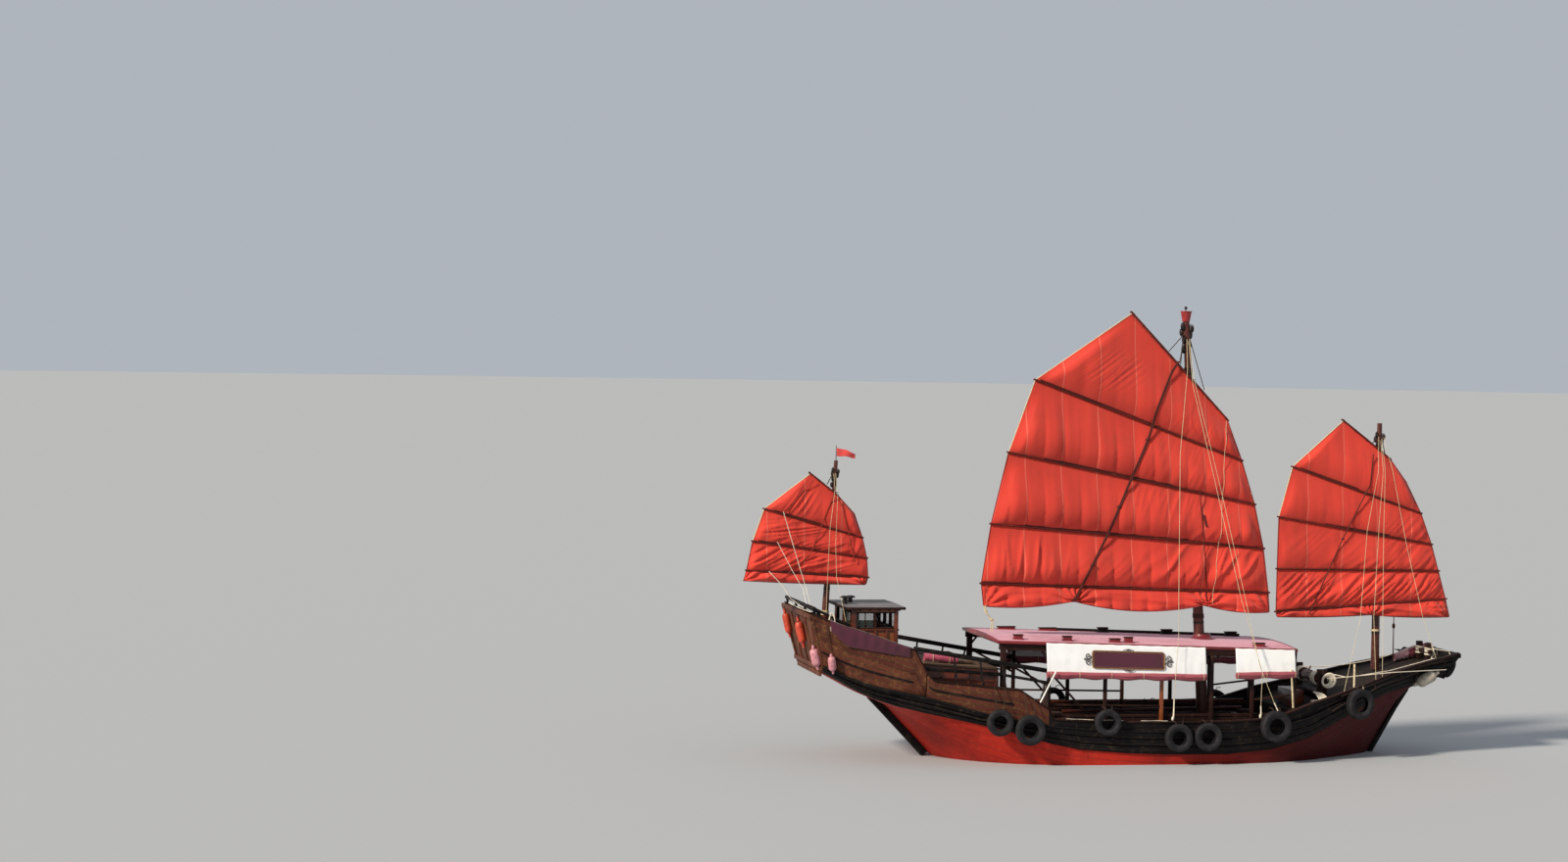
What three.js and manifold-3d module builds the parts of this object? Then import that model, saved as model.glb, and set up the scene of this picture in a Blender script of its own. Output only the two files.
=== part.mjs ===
// A three-masted Chinese junk of the Hong Kong fishing type, afloat with her sails set.
// Millimetres. +X is forward, +Y is to port, +Z is up.
// The origin lies on the centreline at the waterline, amidships.

import * as THREE from "three";
import { mergeVertices } from "three/addons/utils/BufferGeometryUtils.js";
import Module from "manifold-3d";

const wasm = await Module();
wasm.setup();

// Running gap left between two pieces that rest on each other.
const GAP = 0.4;

// Driving sizes of the hull.
const TRANSOM_FOOT_X = -8520;
const TRANSOM_FOOT_Z = 2360;
const TRANSOM_RAKE = 0.236;
const BOW_FOOT_X = 8720;
const BOW_FOOT_Z = 2030;
const BOW_RAKE = 0.45;
const RAKE_RUN = 720;
const KEEL_BOTTOM_Z = -1600;
const KEEL_HALF_WIDTH = 110;
const PLANK = 90;
const WALE_PROUD = 70;
const DECK_THICKNESS = 40;

// Deck levels and the ends of the raised and sunk parts.
const POOP_FRONT_X = -5960;
const QUARTER_AFT_X = -5940;
const WAIST_AFT_X = -2600;
const WAIST_FRONT_X = 4380;
const WELL_DECK_Z = 450;
const WELL_MARGIN = 280;
const WELL_CUT_TOP_Z = 2000;

// One row for each station of the hull: place along the ship, depth of the shell at the
// centreline, fullness of the section (1 is a straight V, 2 an ellipse), half breadth and
// height at the top of the red bottom, at the top of the wale and at the rail, and deck height.
const STATION_COLUMNS = [
  "x", "bottomZ", "fullness", "bootY", "bootZ", "waleY", "waleZ", "railY", "railZ", "deckZ",
];
const STATIONS = [
  [-8520, 2300, 3.0, 1500, 2360, 1760, 2520, 1980, 3860, 2600],
  [-8000, 2020, 3.0, 1600, 2060, 1840, 2250, 2030, 3540, 2500],
  [-7500, 1760, 2.6, 1680, 1820, 1920, 2070, 2080, 3370, 2400],
  [-7200, 1640, 2.2, 1720, 1680, 1970, 1990, 2120, 3270, 2340],
  [-6600, 1370, 1.30, 1860, 1500, 2080, 1870, 2200, 3070, 2220],
  [-6260, 1020, 1.18, 1950, 1420, 2130, 1800, 2240, 2970, 2160],
  [-5960, 705, 1.15, 2010, 1350, 2180, 1740, 2270, 2390, 2100],
  [-5940, 685, 1.15, 2014, 1345, 2182, 1736, 2272, 2340, 1800],
  [-5750, 485, 1.16, 2050, 1310, 2205, 1690, 2290, 2180, 1750],
  [-5400, 110, 1.20, 2110, 1240, 2250, 1600, 2320, 2140, 1660],
  [-4700, -420, 1.36, 2210, 1100, 2330, 1410, 2380, 2070, 1470],
  [-4000, -750, 1.55, 2290, 950, 2400, 1240, 2430, 2000, 1300],
  [-3550, -910, 1.68, 2320, 820, 2430, 1140, 2450, 1960, 1200],
  [-2760, -1110, 1.90, 2365, 600, 2465, 1030, 2480, 1450, 1090],
  [-2620, -1140, 1.95, 2370, 565, 2470, 1012, 2485, 1190, 1075],
  [-1900, -1250, 2.15, 2390, 420, 2485, 950, 2500, 1150, 1010],
  [-600, -1300, 2.40, 2400, 310, 2490, 880, 2505, 1110, 940],
  [700, -1300, 2.40, 2400, 270, 2490, 860, 2505, 1095, 920],
  [2100, -1300, 2.30, 2375, 265, 2470, 865, 2490, 1110, 925],
  [3300, -1270, 2.05, 2270, 360, 2400, 930, 2425, 1160, 985],
  [4400, -1200, 1.70, 2030, 620, 2200, 1150, 2260, 1520, 1210],
  [5200, -1080, 1.45, 1750, 950, 1960, 1460, 2050, 1730, 1540],
  [5900, -950, 1.28, 1460, 1250, 1720, 1730, 1840, 1920, 1800],
  [6500, -540, 1.15, 1160, 1500, 1470, 1940, 1620, 2090, 2005],
  [7000, 330, 1.06, 900, 1660, 1270, 2090, 1450, 2240, 2155],
  [7500, 1190, 1.06, 670, 1760, 1080, 2210, 1270, 2360, 2275],
  [7850, 1730, 1.60, 530, 1809, 954, 2280, 1151, 2444, 2345],
  [8000, 1770, 1.60, 470, 1830, 900, 2310, 1100, 2480, 2375],
  [8350, 1875, 1.60, 440, 1930, 800, 2380, 990, 2560, 2440],
  [8720, 2010, 1.60, 450, 2100, 700, 2440, 880, 2700, 2505],
].map((row) => Object.fromEntries(STATION_COLUMNS.map((name, i) => [name, row[i]])));

// Points of one half section below the red bottom's top edge.
const BILGE_STEPS = 6;

// The station values at any place along the ship.
function stationAt(x) {
  const last = STATIONS.length - 1;
  let i = STATIONS.findIndex((station) => station.x >= x);
  if (i <= 0) i = x <= STATIONS[0].x ? 1 : last;
  const low = STATIONS[i - 1];
  const high = STATIONS[i];
  const share = (x - low.x) / (high.x - low.x);
  const mixed = {};
  for (const name of STATION_COLUMNS) mixed[name] = low[name] + (high[name] - low[name]) * share;
  return mixed;
}

// The transom and the bow lean out, so points near the ends move with their height.
function leaned(x, z) {
  const aft = THREE.MathUtils.clamp((TRANSOM_FOOT_X + RAKE_RUN - x) / RAKE_RUN, 0, 1);
  const fore = THREE.MathUtils.clamp((x - BOW_FOOT_X + RAKE_RUN) / RAKE_RUN, 0, 1);
  return x - aft * TRANSOM_RAKE * (z - TRANSOM_FOOT_Z) + fore * BOW_RAKE * (z - BOW_FOOT_Z);
}

function shipPoint(x, y, z) {
  return new THREE.Vector3(leaned(x, z), y, z);
}

// Places of the stations from one end of a piece to the other, both ends included.
function placesBetween(fromX, toX) {
  const inside = STATIONS.map((station) => station.x).filter((x) => x > fromX + 1 && x < toX - 1);
  return [fromX, ...inside, toX];
}

function signedVolume(points, faces) {
  const cross = new THREE.Vector3();
  let sum = 0;
  for (const [a, b, c] of faces) sum += points[a].dot(cross.crossVectors(points[b], points[c]));
  return sum / 6;
}

// A closed body from points and triangles, turned so that its faces look out.
function bodyOf(points, faces) {
  const outward = signedVolume(points, faces) > 0;
  const geometry = new THREE.BufferGeometry();
  const flat = points.flatMap((point) => [point.x, point.y, point.z]);
  geometry.setAttribute("position", new THREE.Float32BufferAttribute(flat, 3));
  geometry.setIndex(faces.flatMap(([a, b, c]) => (outward ? [a, b, c] : [a, c, b])));
  return geometry;
}

// A skin drawn through rings of points that all have the same count, closed at both ends.
// Each twisted face is folded from its lower corner up, so that pieces that share an edge of
// the ship on either side fit each other.
function loft(rings) {
  const count = rings[0].length;
  const points = rings.flat();
  const faces = [];
  for (let r = 0; r + 1 < rings.length; r += 1) {
    for (let k = 0; k < count; k += 1) {
      const a = r * count + k;
      const b = r * count + ((k + 1) % count);
      const [c, d] = [a + count, b + count];
      if (points[a].z < points[b].z) faces.push([a, c, d], [a, d, b]);
      else faces.push([a, c, b], [b, c, d]);
    }
  }
  for (const [start, reversed] of [[0, false], [points.length - count, true]]) {
    const outline = points.slice(start, start + count).map((p) => new THREE.Vector2(p.y, p.z));
    const ringTurn = Math.sign(THREE.ShapeUtils.area(outline));
    for (const [a, b, c] of THREE.ShapeUtils.triangulateShape(outline, [])) {
      const turn = Math.sign(THREE.ShapeUtils.area([outline[a], outline[b], outline[c]]));
      const asRing = turn === ringTurn ? [a, b, c] : [a, c, b];
      if (reversed) asRing.reverse();
      faces.push(asRing.map((k) => start + k));
    }
  }
  return bodyOf(points, faces);
}

// A flat outline, without the points that lie on a straight line between their neighbours.
function shapeOf(corners) {
  const points = corners.map(([u, v]) => new THREE.Vector2(u, v));
  const bends = points.filter((point, i) => {
    const before = points[(i + points.length - 1) % points.length];
    const after = points[(i + 1) % points.length];
    return Math.abs(THREE.ShapeUtils.area([before, point, after])) > 1;
  });
  return new THREE.Shape(bends);
}

// A plate with its outline in the plane of X and Z, between two places across the ship.
function plateXZ(corners, lowY, highY) {
  const depth = highY - lowY;
  const geometry = new THREE.ExtrudeGeometry(shapeOf(corners), { depth, bevelEnabled: false });
  geometry.rotateX(Math.PI / 2);
  geometry.translate(0, highY, 0);
  return geometry;
}

function box(lowX, highX, lowY, highY, lowZ, highZ) {
  const geometry = new THREE.BoxGeometry(highX - lowX, highY - lowY, highZ - lowZ);
  geometry.translate((lowX + highX) / 2, (lowY + highY) / 2, (lowZ + highZ) / 2);
  return geometry;
}

// A round pole between two points, with its own radius at each.
function pole(from, to, fromRadius, toRadius, sides = 12) {
  const start = new THREE.Vector3(...from);
  const along = new THREE.Vector3(...to).sub(start);
  const geometry = new THREE.CylinderGeometry(toRadius, fromRadius, along.length(), sides);
  geometry.translate(0, along.length() / 2, 0);
  const turn = new THREE.Quaternion();
  turn.setFromUnitVectors(new THREE.Vector3(0, 1, 0), along.clone().normalize());
  geometry.applyQuaternion(turn);
  geometry.translate(start.x, start.y, start.z);
  return geometry;
}

// A straight bar of rectangular section whose ends lie at two points, its depth upright.
function bar(from, to, width, depth) {
  const start = new THREE.Vector3(...from);
  const along = new THREE.Vector3(...to).sub(start);
  const geometry = new THREE.BoxGeometry(along.length(), width, depth);
  const forward = along.clone().normalize();
  const side = new THREE.Vector3(0, 0, 1).cross(forward).normalize();
  const up = forward.clone().cross(side);
  geometry.applyMatrix4(new THREE.Matrix4().makeBasis(forward, side, up));
  const middle = start.add(along.multiplyScalar(0.5));
  geometry.translate(middle.x, middle.y, middle.z);
  return geometry;
}

// Points that should meet are set on one fine grid, which 32-bit numbers hold exactly.
const GRID = 1 / 64;
function snapped(geometry) {
  const position = geometry.getAttribute("position");
  for (let i = 0; i < position.count; i += 1) {
    const [x, y, z] = [position.getX(i), position.getY(i), position.getZ(i)];
    position.setXYZ(i, ...[x, y, z].map((value) => Math.round(value / GRID) * GRID));
  }
  return geometry;
}

// Joining and cutting of closed bodies.
function solidOf(geometry) {
  const bare = snapped(geometry.clone());
  bare.deleteAttribute("normal");
  bare.deleteAttribute("uv");
  const merged = mergeVertices(bare, 1e-3);
  return new wasm.Manifold(
    new wasm.Mesh({
      numProp: 3,
      vertProperties: merged.attributes.position.array,
      triVerts: new Uint32Array(merged.index.array),
    }),
  );
}

function geometryOf(solid) {
  const mesh = solid.getMesh();
  const geometry = new THREE.BufferGeometry();
  geometry.setAttribute("position", new THREE.BufferAttribute(mesh.vertProperties, 3));
  geometry.setIndex(new THREE.BufferAttribute(mesh.triVerts, 1));
  return geometry;
}

function joined(geometries) {
  return geometryOf(geometries.map(solidOf).reduce((whole, piece) => whole.add(piece)));
}

function cut(geometry, cutters) {
  return geometryOf(
    cutters.map(solidOf).reduce((whole, piece) => whole.subtract(piece), solidOf(geometry)),
  );
}

// Paints: colour, roughness, metalness.
const PAINTS = {
  bottomRed: [0xa32a20, 0.6, 0],
  tarBlack: [0x1c1718, 0.7, 0],
  darkPlank: [0x4a2a1a, 0.7, 0],
  deckPlank: [0x6b4a34, 0.8, 0],
  varnish: [0x7a3d1c, 0.45, 0],
  roofMauve: [0xb97c86, 0.7, 0],
  maroon: [0x6a2030, 0.6, 0],
  mastBrown: [0x5a2a20, 0.6, 0],
  battenBrown: [0x4a1a12, 0.6, 0],
  sailRed: [0xcf4a32, 0.85, 0],
  canvasWhite: [0xf0ebe0, 0.9, 0],
  bronze: [0x9a7440, 0.4, 0.9],
};

const ship = new THREE.Group();

function add(name, geometry, paint) {
  const [color, roughness, metalness] = PAINTS[paint];
  const material = new THREE.MeshStandardMaterial({ color, roughness, metalness });
  const mesh = new THREE.Mesh(snapped(geometry), material);
  mesh.name = name;
  ship.add(mesh);
}

const SIDES = [["starboard", -1], ["port", 1]];

// The hull: a decked body from the keel to the deck, with a sunk well amidships.
function halfSection(station) {
  const points = [];
  for (let k = 0; k <= BILGE_STEPS; k += 1) {
    const angle = (k / BILGE_STEPS) * (Math.PI / 2);
    const power = 2 / station.fullness;
    const out = station.bootY * Math.sin(angle) ** power;
    const drop = (station.bootZ - station.bottomZ) * Math.max(0, Math.cos(angle)) ** power;
    points.push([out, station.bootZ - drop]);
  }
  points.push([station.waleY, station.waleZ]);
  points.push([station.waleY - PLANK, station.waleZ]);
  points.push([station.waleY - PLANK, station.deckZ]);
  return points;
}

function hullRing(station) {
  const half = halfSection(station);
  const starboard = half.map(([y, z]) => shipPoint(station.x, -y, z));
  const port = half.slice(1).map(([y, z]) => shipPoint(station.x, y, z));
  return [...starboard, ...port.reverse()];
}

function wellRing(x, floorZ, topZ) {
  const halfBreadth = stationAt(x).waleY - WELL_MARGIN;
  return [[-1, floorZ], [1, floorZ], [1, topZ], [-1, topZ]].map(
    ([side, z]) => new THREE.Vector3(x, side * halfBreadth, z),
  );
}

const WELL_AFT_X = WAIST_AFT_X + 100;
const WELL_FRONT_X = WAIST_FRONT_X - 100;
const WELL_PLACES = placesBetween(WELL_AFT_X, WELL_FRONT_X);

const well = loft(WELL_PLACES.map((x) => wellRing(x, WELL_DECK_Z, WELL_CUT_TOP_Z)));
add("hull", cut(loft(STATIONS.map(hullRing)), [well]), "bottomRed");

// Decks: thin planked slabs laid on the hull.
function deckSlab(fromX, toX, inset) {
  return loft(
    placesBetween(fromX, toX).map((x) => {
      const station = stationAt(x);
      const halfBreadth = station.waleY - PLANK - inset;
      const low = station.deckZ + GAP;
      const high = low + DECK_THICKNESS;
      return [[-1, low], [1, low], [1, high], [-1, high]].map(
        ([side, z]) => shipPoint(x, side * halfBreadth, z),
      );
    }),
  );
}

const DECK_INSET = 2;
const WAIST_DECK_SIDE_INSET = 6;
add("poop_deck", deckSlab(TRANSOM_FOOT_X, POOP_FRONT_X - DECK_INSET, DECK_INSET), "deckPlank");
add("quarter_deck", deckSlab(QUARTER_AFT_X + DECK_INSET, WELL_AFT_X, DECK_INSET), "deckPlank");
add("fore_deck", deckSlab(WELL_FRONT_X, BOW_FOOT_X, DECK_INSET), "deckPlank");
const waistDeck = loft(
  WELL_PLACES.map((x, i) => {
    const endInset = i === 0 ? DECK_INSET : i === WELL_PLACES.length - 1 ? -DECK_INSET : 0;
    const ring = wellRing(x, WELL_DECK_Z + GAP, WELL_DECK_Z + GAP + DECK_THICKNESS);
    return ring.map((p) => {
      const y = p.y - Math.sign(p.y) * WAIST_DECK_SIDE_INSET;
      return new THREE.Vector3(p.x + endInset, y, p.z);
    });
  }),
);
add("waist_deck", waistDeck, "deckPlank");
const WAIST_DECK_TOP = WELL_DECK_Z + GAP + DECK_THICKNESS;

// A deck's upper face at any place along the ship.
function deckTopAt(x) {
  return stationAt(x).deckZ + GAP + DECK_THICKNESS;
}

// The same at a place on the ship itself, where the ends lean away from their stations.
function deckTopUnder(x) {
  let station = x;
  for (let k = 0; k < 20; k += 1) station += x - leaned(station, deckTopAt(station));
  return deckTopAt(station);
}

// Bulwarks: the planked sides above the wale, high round the poop and stepped down to the waist.
function bulwarkPiece(side, fromX, toX) {
  return loft(
    placesBetween(fromX, toX).map((x) => {
      const { waleY, waleZ, railY, railZ } = stationAt(x);
      return [
        [waleY, waleZ + GAP],
        [railY, railZ],
        [railY - PLANK + GAP, railZ],
        [waleY - PLANK + GAP, waleZ + GAP],
      ].map(([y, z]) => shipPoint(x, side * y, z));
    }),
  );
}

// Wales: the heavy black belts between the red bottom and the side planking.
function walePiece(side) {
  const skin = 1;
  return loft(
    STATIONS.map(({ x, bootY, bootZ, waleY, waleZ }) =>
      [
        [bootY + skin, bootZ],
        [waleY + skin, waleZ - skin],
        [waleY + WALE_PROUD, waleZ - skin],
        [bootY + WALE_PROUD, bootZ],
      ].map(([y, z]) => shipPoint(x, side * y, z)),
    ),
  );
}

// Old tyres hang flat against the wales as fenders; each bites a little into its wale.
const TYRE_TUBE = 0.3;
const TYRE_BITE = 6;
const TYRE_FACETS = 8;
const TYRE_STEPS = 14;
const TYRES = [
  // x, z, outer radius
  [-4080, 1150, 370], [-3300, 960, 420], [-1240, 1140, 370], [670, 730, 390], [1460, 750, 390],
  [3320, 1000, 440], [5840, 1500, 430],
];
function tyre(outerRadius) {
  const tube = outerRadius * TYRE_TUBE;
  const ring = new THREE.TorusGeometry(outerRadius - tube, tube, TYRE_FACETS, TYRE_STEPS);
  ring.rotateX(Math.PI / 2);
  return ring;
}
function sideTyre(side, x, z, outerRadius) {
  const faces = [-1, 0, 1].map((u) => stationAt(x + (u * outerRadius) / 2).waleY + WALE_PROUD);
  const ring = tyre(outerRadius);
  ring.translate(x, side * (Math.max(...faces) + outerRadius * TYRE_TUBE - TYRE_BITE), z);
  return ring;
}

// Canvas dodgers laced along the outside of the poop's bulwarks.
const DODGER = {
  aftX: -8300,
  frontX: -6180,
  topAbove: 20,
  aftDrop: 600,
  frontDrop: 330,
  thickness: 8,
};
function dodgerPiece(side) {
  return loft(
    placesBetween(DODGER.aftX, DODGER.frontX).map((x) => {
      const { waleY, waleZ, railY, railZ } = stationAt(x);
      const share = (x - DODGER.aftX) / (DODGER.frontX - DODGER.aftX);
      const lowZ = railZ - THREE.MathUtils.lerp(DODGER.aftDrop, DODGER.frontDrop, share);
      const highZ = railZ + DODGER.topAbove;
      const [low, high] = [lowZ, highZ].map((z) => {
        const skinY = THREE.MathUtils.lerp(waleY, railY, (z - waleZ) / (railZ - waleZ));
        return [skinY - DODGER.thickness, z];
      });
      return [
        low,
        high,
        [high[0] + 2 * DODGER.thickness, high[1]],
        [low[0] + 2 * DODGER.thickness, low[1]],
      ].map(([y, z]) => shipPoint(x, side * y, z));
    }),
  );
}
for (const [sideName, side] of SIDES) {
  const poop = bulwarkPiece(side, TRANSOM_FOOT_X, POOP_FRONT_X - 2);
  const long = bulwarkPiece(side, QUARTER_AFT_X, BOW_FOOT_X);
  add(`poop_bulwark_${sideName}`, poop, "darkPlank");
  add(`main_bulwark_${sideName}`, long, "darkPlank");
  const tyres = TYRES.map(([x, z, outerRadius]) => sideTyre(side, x, z, outerRadius));
  const keepOff = [poop, long].map((piece) => piece.clone().translate(0, side, 0));
  add(`wale_${sideName}`, cut(joined([walePiece(side), ...tyres]), keepOff), "tarBlack");
  const poopSkin = poop.clone().translate(0, side * GAP, GAP);
  add(`poop_dodger_${sideName}`, cut(dodgerPiece(side), [poopSkin]), "maroon");
}

// The transom and the blunt bow board close the ends, leaning with them.
function endBoard(x, thickness, outward, rows) {
  const near = [];
  const far = [];
  const outline = [...rows.map(([y, z]) => [-y, z]), ...rows.map(([y, z]) => [y, z]).reverse()];
  for (const [y, z] of outline) {
    const point = shipPoint(x, y, z);
    near.push(point.clone().add(new THREE.Vector3(outward * 1, 0, 0)));
    far.push(point.add(new THREE.Vector3(outward * (thickness + 1), 0, 0)));
  }
  return loft([near, far]);
}

const sternmost = STATIONS[0];
const foremost = STATIONS[STATIONS.length - 1];
const END_BOARD = 80;
const endRows = (station) => [
  [station.bootY, station.bootZ],
  [station.waleY, station.waleZ],
  [station.railY, station.railZ],
];

// Long foam fenders hang on the transom, leaning with it.
const FENDERS = [
  // y, z, radius, length
  [1450, 3370, 95, 760],
  [-380, 3290, 110, 800],
  [-1660, 2760, 90, 630],
];
const FENDER_BITE = 6;
const sternFenders = FENDERS.map(([y, z, radius, length]) => {
  const shape = new THREE.CapsuleGeometry(radius, length - 2 * radius, 3, 8);
  shape.rotateX(Math.PI / 2);
  shape.rotateY(-Math.atan(TRANSOM_RAKE));
  const faceX = leaned(TRANSOM_FOOT_X, z) - END_BOARD - 1;
  shape.translate(faceX - radius + FENDER_BITE, y, z);
  return shape;
});
const transomBoard = endBoard(TRANSOM_FOOT_X, END_BOARD, -1, endRows(sternmost));
add("transom", joined([transomBoard, ...sternFenders]), "darkPlank");

// Two tyres hang on the bow board.
const BOW_TYRE = { radius: 270, y: 330, z: 2380 };
const bowTyres = [-1, 1].map((place) => {
  const ring = tyre(BOW_TYRE.radius);
  ring.rotateZ(Math.PI / 2);
  ring.rotateY(Math.atan(BOW_RAKE));
  const faceX = leaned(BOW_FOOT_X, BOW_TYRE.z) + END_BOARD + 1;
  ring.translate(faceX + BOW_TYRE.radius * TYRE_TUBE - TYRE_BITE, place * BOW_TYRE.y, BOW_TYRE.z);
  return ring;
});
const bowBoard = endBoard(BOW_FOOT_X, END_BOARD, 1, endRows(foremost));
add("bow_board", joined([bowBoard, ...bowTyres]), "tarBlack");

// Backbone: keel, stem and sternpost follow the shell's centreline profile. A band has one
// thickness for each of its places.
function profileBand(places, thicknesses, halfWidth) {
  const line = places.map((x) => {
    const z = stationAt(x).bottomZ;
    return new THREE.Vector2(leaned(x, z), z);
  });
  const inner = [];
  const outer = [];
  line.forEach((point, i) => {
    const before = line[Math.max(0, i - 1)];
    const after = line[Math.min(line.length - 1, i + 1)];
    const along = after.clone().sub(before).normalize();
    const down = new THREE.Vector2(along.y, -along.x);
    inner.push(point.clone().addScaledVector(down, 1));
    outer.push(point.clone().addScaledVector(down, thicknesses[i]));
  });
  const corners = [...inner, ...outer.reverse()].map((p) => [p.x, p.y]);
  return plateXZ(corners, -halfWidth, halfWidth);
}

const KEEL_AFT_X = -4300;
const KEEL_FRONT_X = 5900;
const KEEL_HEAD_X = 6440;
const FOREFOOT_X = 5300;
const STEM_HEAD_X = 7850;
const POST_HEAD_X = -7000;
const POST_FOOT_X = -5400;
const STEM_THICKNESS = 100;
const POST_THICKNESS = 190;
const POST_HEAD_THICKNESS = 30;
const stemPlaces = placesBetween(KEEL_FRONT_X, STEM_HEAD_X).slice(1);
const stemThicknesses = stemPlaces.map(() => STEM_THICKNESS);
add("stem", profileBand(stemPlaces, stemThicknesses, KEEL_HALF_WIDTH), "tarBlack");
const postPlaces = placesBetween(POST_HEAD_X, POST_FOOT_X);
const postThicknesses = postPlaces.map((x) =>
  x === POST_HEAD_X ? POST_HEAD_THICKNESS : POST_THICKNESS,
);
add("sternpost", profileBand(postPlaces, postThicknesses, KEEL_HALF_WIDTH), "tarBlack");

const keelTop = placesBetween(KEEL_AFT_X, KEEL_HEAD_X).map((x) => [x, stationAt(x).bottomZ - 1]);
const SHOE_AFT_X = -5450;
const SHOE_TOP_Z = KEEL_BOTTOM_Z + 110;
const keelCorners = [
  ...keelTop,
  [KEEL_HEAD_X, stationAt(KEEL_HEAD_X).bottomZ - POST_THICKNESS],
  [KEEL_FRONT_X, KEEL_BOTTOM_Z + 160],
  [FOREFOOT_X, KEEL_BOTTOM_Z],
  [SHOE_AFT_X, KEEL_BOTTOM_Z],
  [SHOE_AFT_X, SHOE_TOP_Z],
  [KEEL_AFT_X, SHOE_TOP_Z],
];
add("keel", plateXZ(keelCorners, -KEEL_HALF_WIDTH, KEEL_HALF_WIDTH), "tarBlack");

// Rudder: a hung blade that turns on the shoe behind the propeller.
const RUDDER_X = -5250;
const RUDDER_STOCK_RADIUS = 60;
const RUDDER_HALF_THICKNESS = 35;
const RUDDER_FOOT_Z = SHOE_TOP_Z + 40;
// Corners of the blade: distance ahead of the stock, height.
const RUDDER_CORNERS = [
  [210, RUDDER_FOOT_Z], [210, -480], [-200, -420], [-760, -120], [-820, -700], [-800, RUDDER_FOOT_Z],
];
const rudderBlade = plateXZ(
  RUDDER_CORNERS.map(([ahead, z]) => [RUDDER_X + ahead, z]),
  -RUDDER_HALF_THICKNESS,
  RUDDER_HALF_THICKNESS,
);
const rudderStock = pole(
  [RUDDER_X, 0, SHOE_TOP_Z + GAP],
  [RUDDER_X, 0, stationAt(RUDDER_X + RUDDER_STOCK_RADIUS).bottomZ - GAP],
  RUDDER_STOCK_RADIUS,
  RUDDER_STOCK_RADIUS,
);
add("rudder", joined([rudderBlade, rudderStock]), "tarBlack");

// Propeller: hub, shaft end and four blades, ahead of the rudder.
const PROPELLER_X = -4640;
const PROPELLER_Z = -1010;
const PROPELLER_RADIUS = 400;
const BLADES = 4;
const BLADE = { halfWidth: 150, thickness: 24, lengthening: 1.25, twist: 35 };
const HUB_RADIUS = 75;
const propellerHub = pole(
  [KEEL_AFT_X - GAP, 0, PROPELLER_Z],
  [PROPELLER_X - 2 * HUB_RADIUS, 0, PROPELLER_Z],
  HUB_RADIUS,
  HUB_RADIUS,
  16,
);
const propellerBlades = [];
for (let k = 0; k < BLADES; k += 1) {
  const blade = new THREE.CylinderGeometry(BLADE.halfWidth, BLADE.halfWidth, BLADE.thickness, 10);
  blade.scale(1, 1, BLADE.lengthening);
  blade.rotateZ(Math.PI / 2);
  blade.translate(0, 0, PROPELLER_RADIUS - BLADE.halfWidth * BLADE.lengthening);
  blade.rotateZ(THREE.MathUtils.degToRad(BLADE.twist));
  blade.rotateX((k * 2 * Math.PI) / BLADES);
  blade.translate(PROPELLER_X, 0, PROPELLER_Z);
  propellerBlades.push(blade);
}
add("propeller", joined([propellerHub, ...propellerBlades]), "bronze");

// Cabin trunk behind the canopy, between the side decks.
const TRUNK_HALF_WIDTH = 1880;
function trunkRing(x, topZ) {
  const low = deckTopAt(x) + GAP;
  return [[-1, low], [1, low], [1, topZ], [-1, topZ]].map(
    ([side, z]) => new THREE.Vector3(x, side * TRUNK_HALF_WIDTH, z),
  );
}
const TRUNK_AFT_X = -5920;
const TRUNK_FRONT_X = -3980;
const TRUNK_AFT_TOP = 2580;
const TRUNK_FRONT_TOP = 2440;
const trunk = placesBetween(TRUNK_AFT_X, TRUNK_FRONT_X).map((x) => {
  const share = (x - TRUNK_AFT_X) / (TRUNK_FRONT_X - TRUNK_AFT_X);
  return trunkRing(x, THREE.MathUtils.lerp(TRUNK_AFT_TOP, TRUNK_FRONT_TOP, share));
});
add("cabin_trunk", loft(trunk), "varnish");

// Wheelhouse on the poop: four walls with windows, a roof, its vents and the helm.
const HOUSE_AFT_X = -7680;
const HOUSE_FRONT_X = -6480;
const HOUSE_HALF_WIDTH = 1100;
const HOUSE_TOP_Z = 3940;
const HOUSE_WALL = 50;
const WINDOW_LOW_Z = 3470;
const WINDOW_HIGH_Z = 3840;

// Side walls, each with two windows.
const SIDE_WINDOWS = [
  // after edge, front edge
  [HOUSE_AFT_X + 110, HOUSE_AFT_X + 560],
  [HOUSE_AFT_X + 640, HOUSE_FRONT_X - 90],
];
for (const [sideName, side] of SIDES) {
  const outer = side * HOUSE_HALF_WIDTH;
  const inner = side * (HOUSE_HALF_WIDTH - HOUSE_WALL);
  const [lowY, highY] = [Math.min(outer, inner), Math.max(outer, inner)];
  const panel = plateXZ(
    [
      [HOUSE_AFT_X, deckTopAt(HOUSE_AFT_X) + GAP],
      [HOUSE_FRONT_X, deckTopAt(HOUSE_FRONT_X) + GAP],
      [HOUSE_FRONT_X, HOUSE_TOP_Z],
      [HOUSE_AFT_X, HOUSE_TOP_Z],
    ],
    lowY,
    highY,
  );
  const windows = SIDE_WINDOWS.map(([aftX, frontX]) =>
    box(aftX, frontX, lowY - 10, highY + 10, WINDOW_LOW_Z, WINDOW_HIGH_Z),
  );
  add(`wheelhouse_wall_${sideName}`, cut(panel, windows), "varnish");
}

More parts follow.
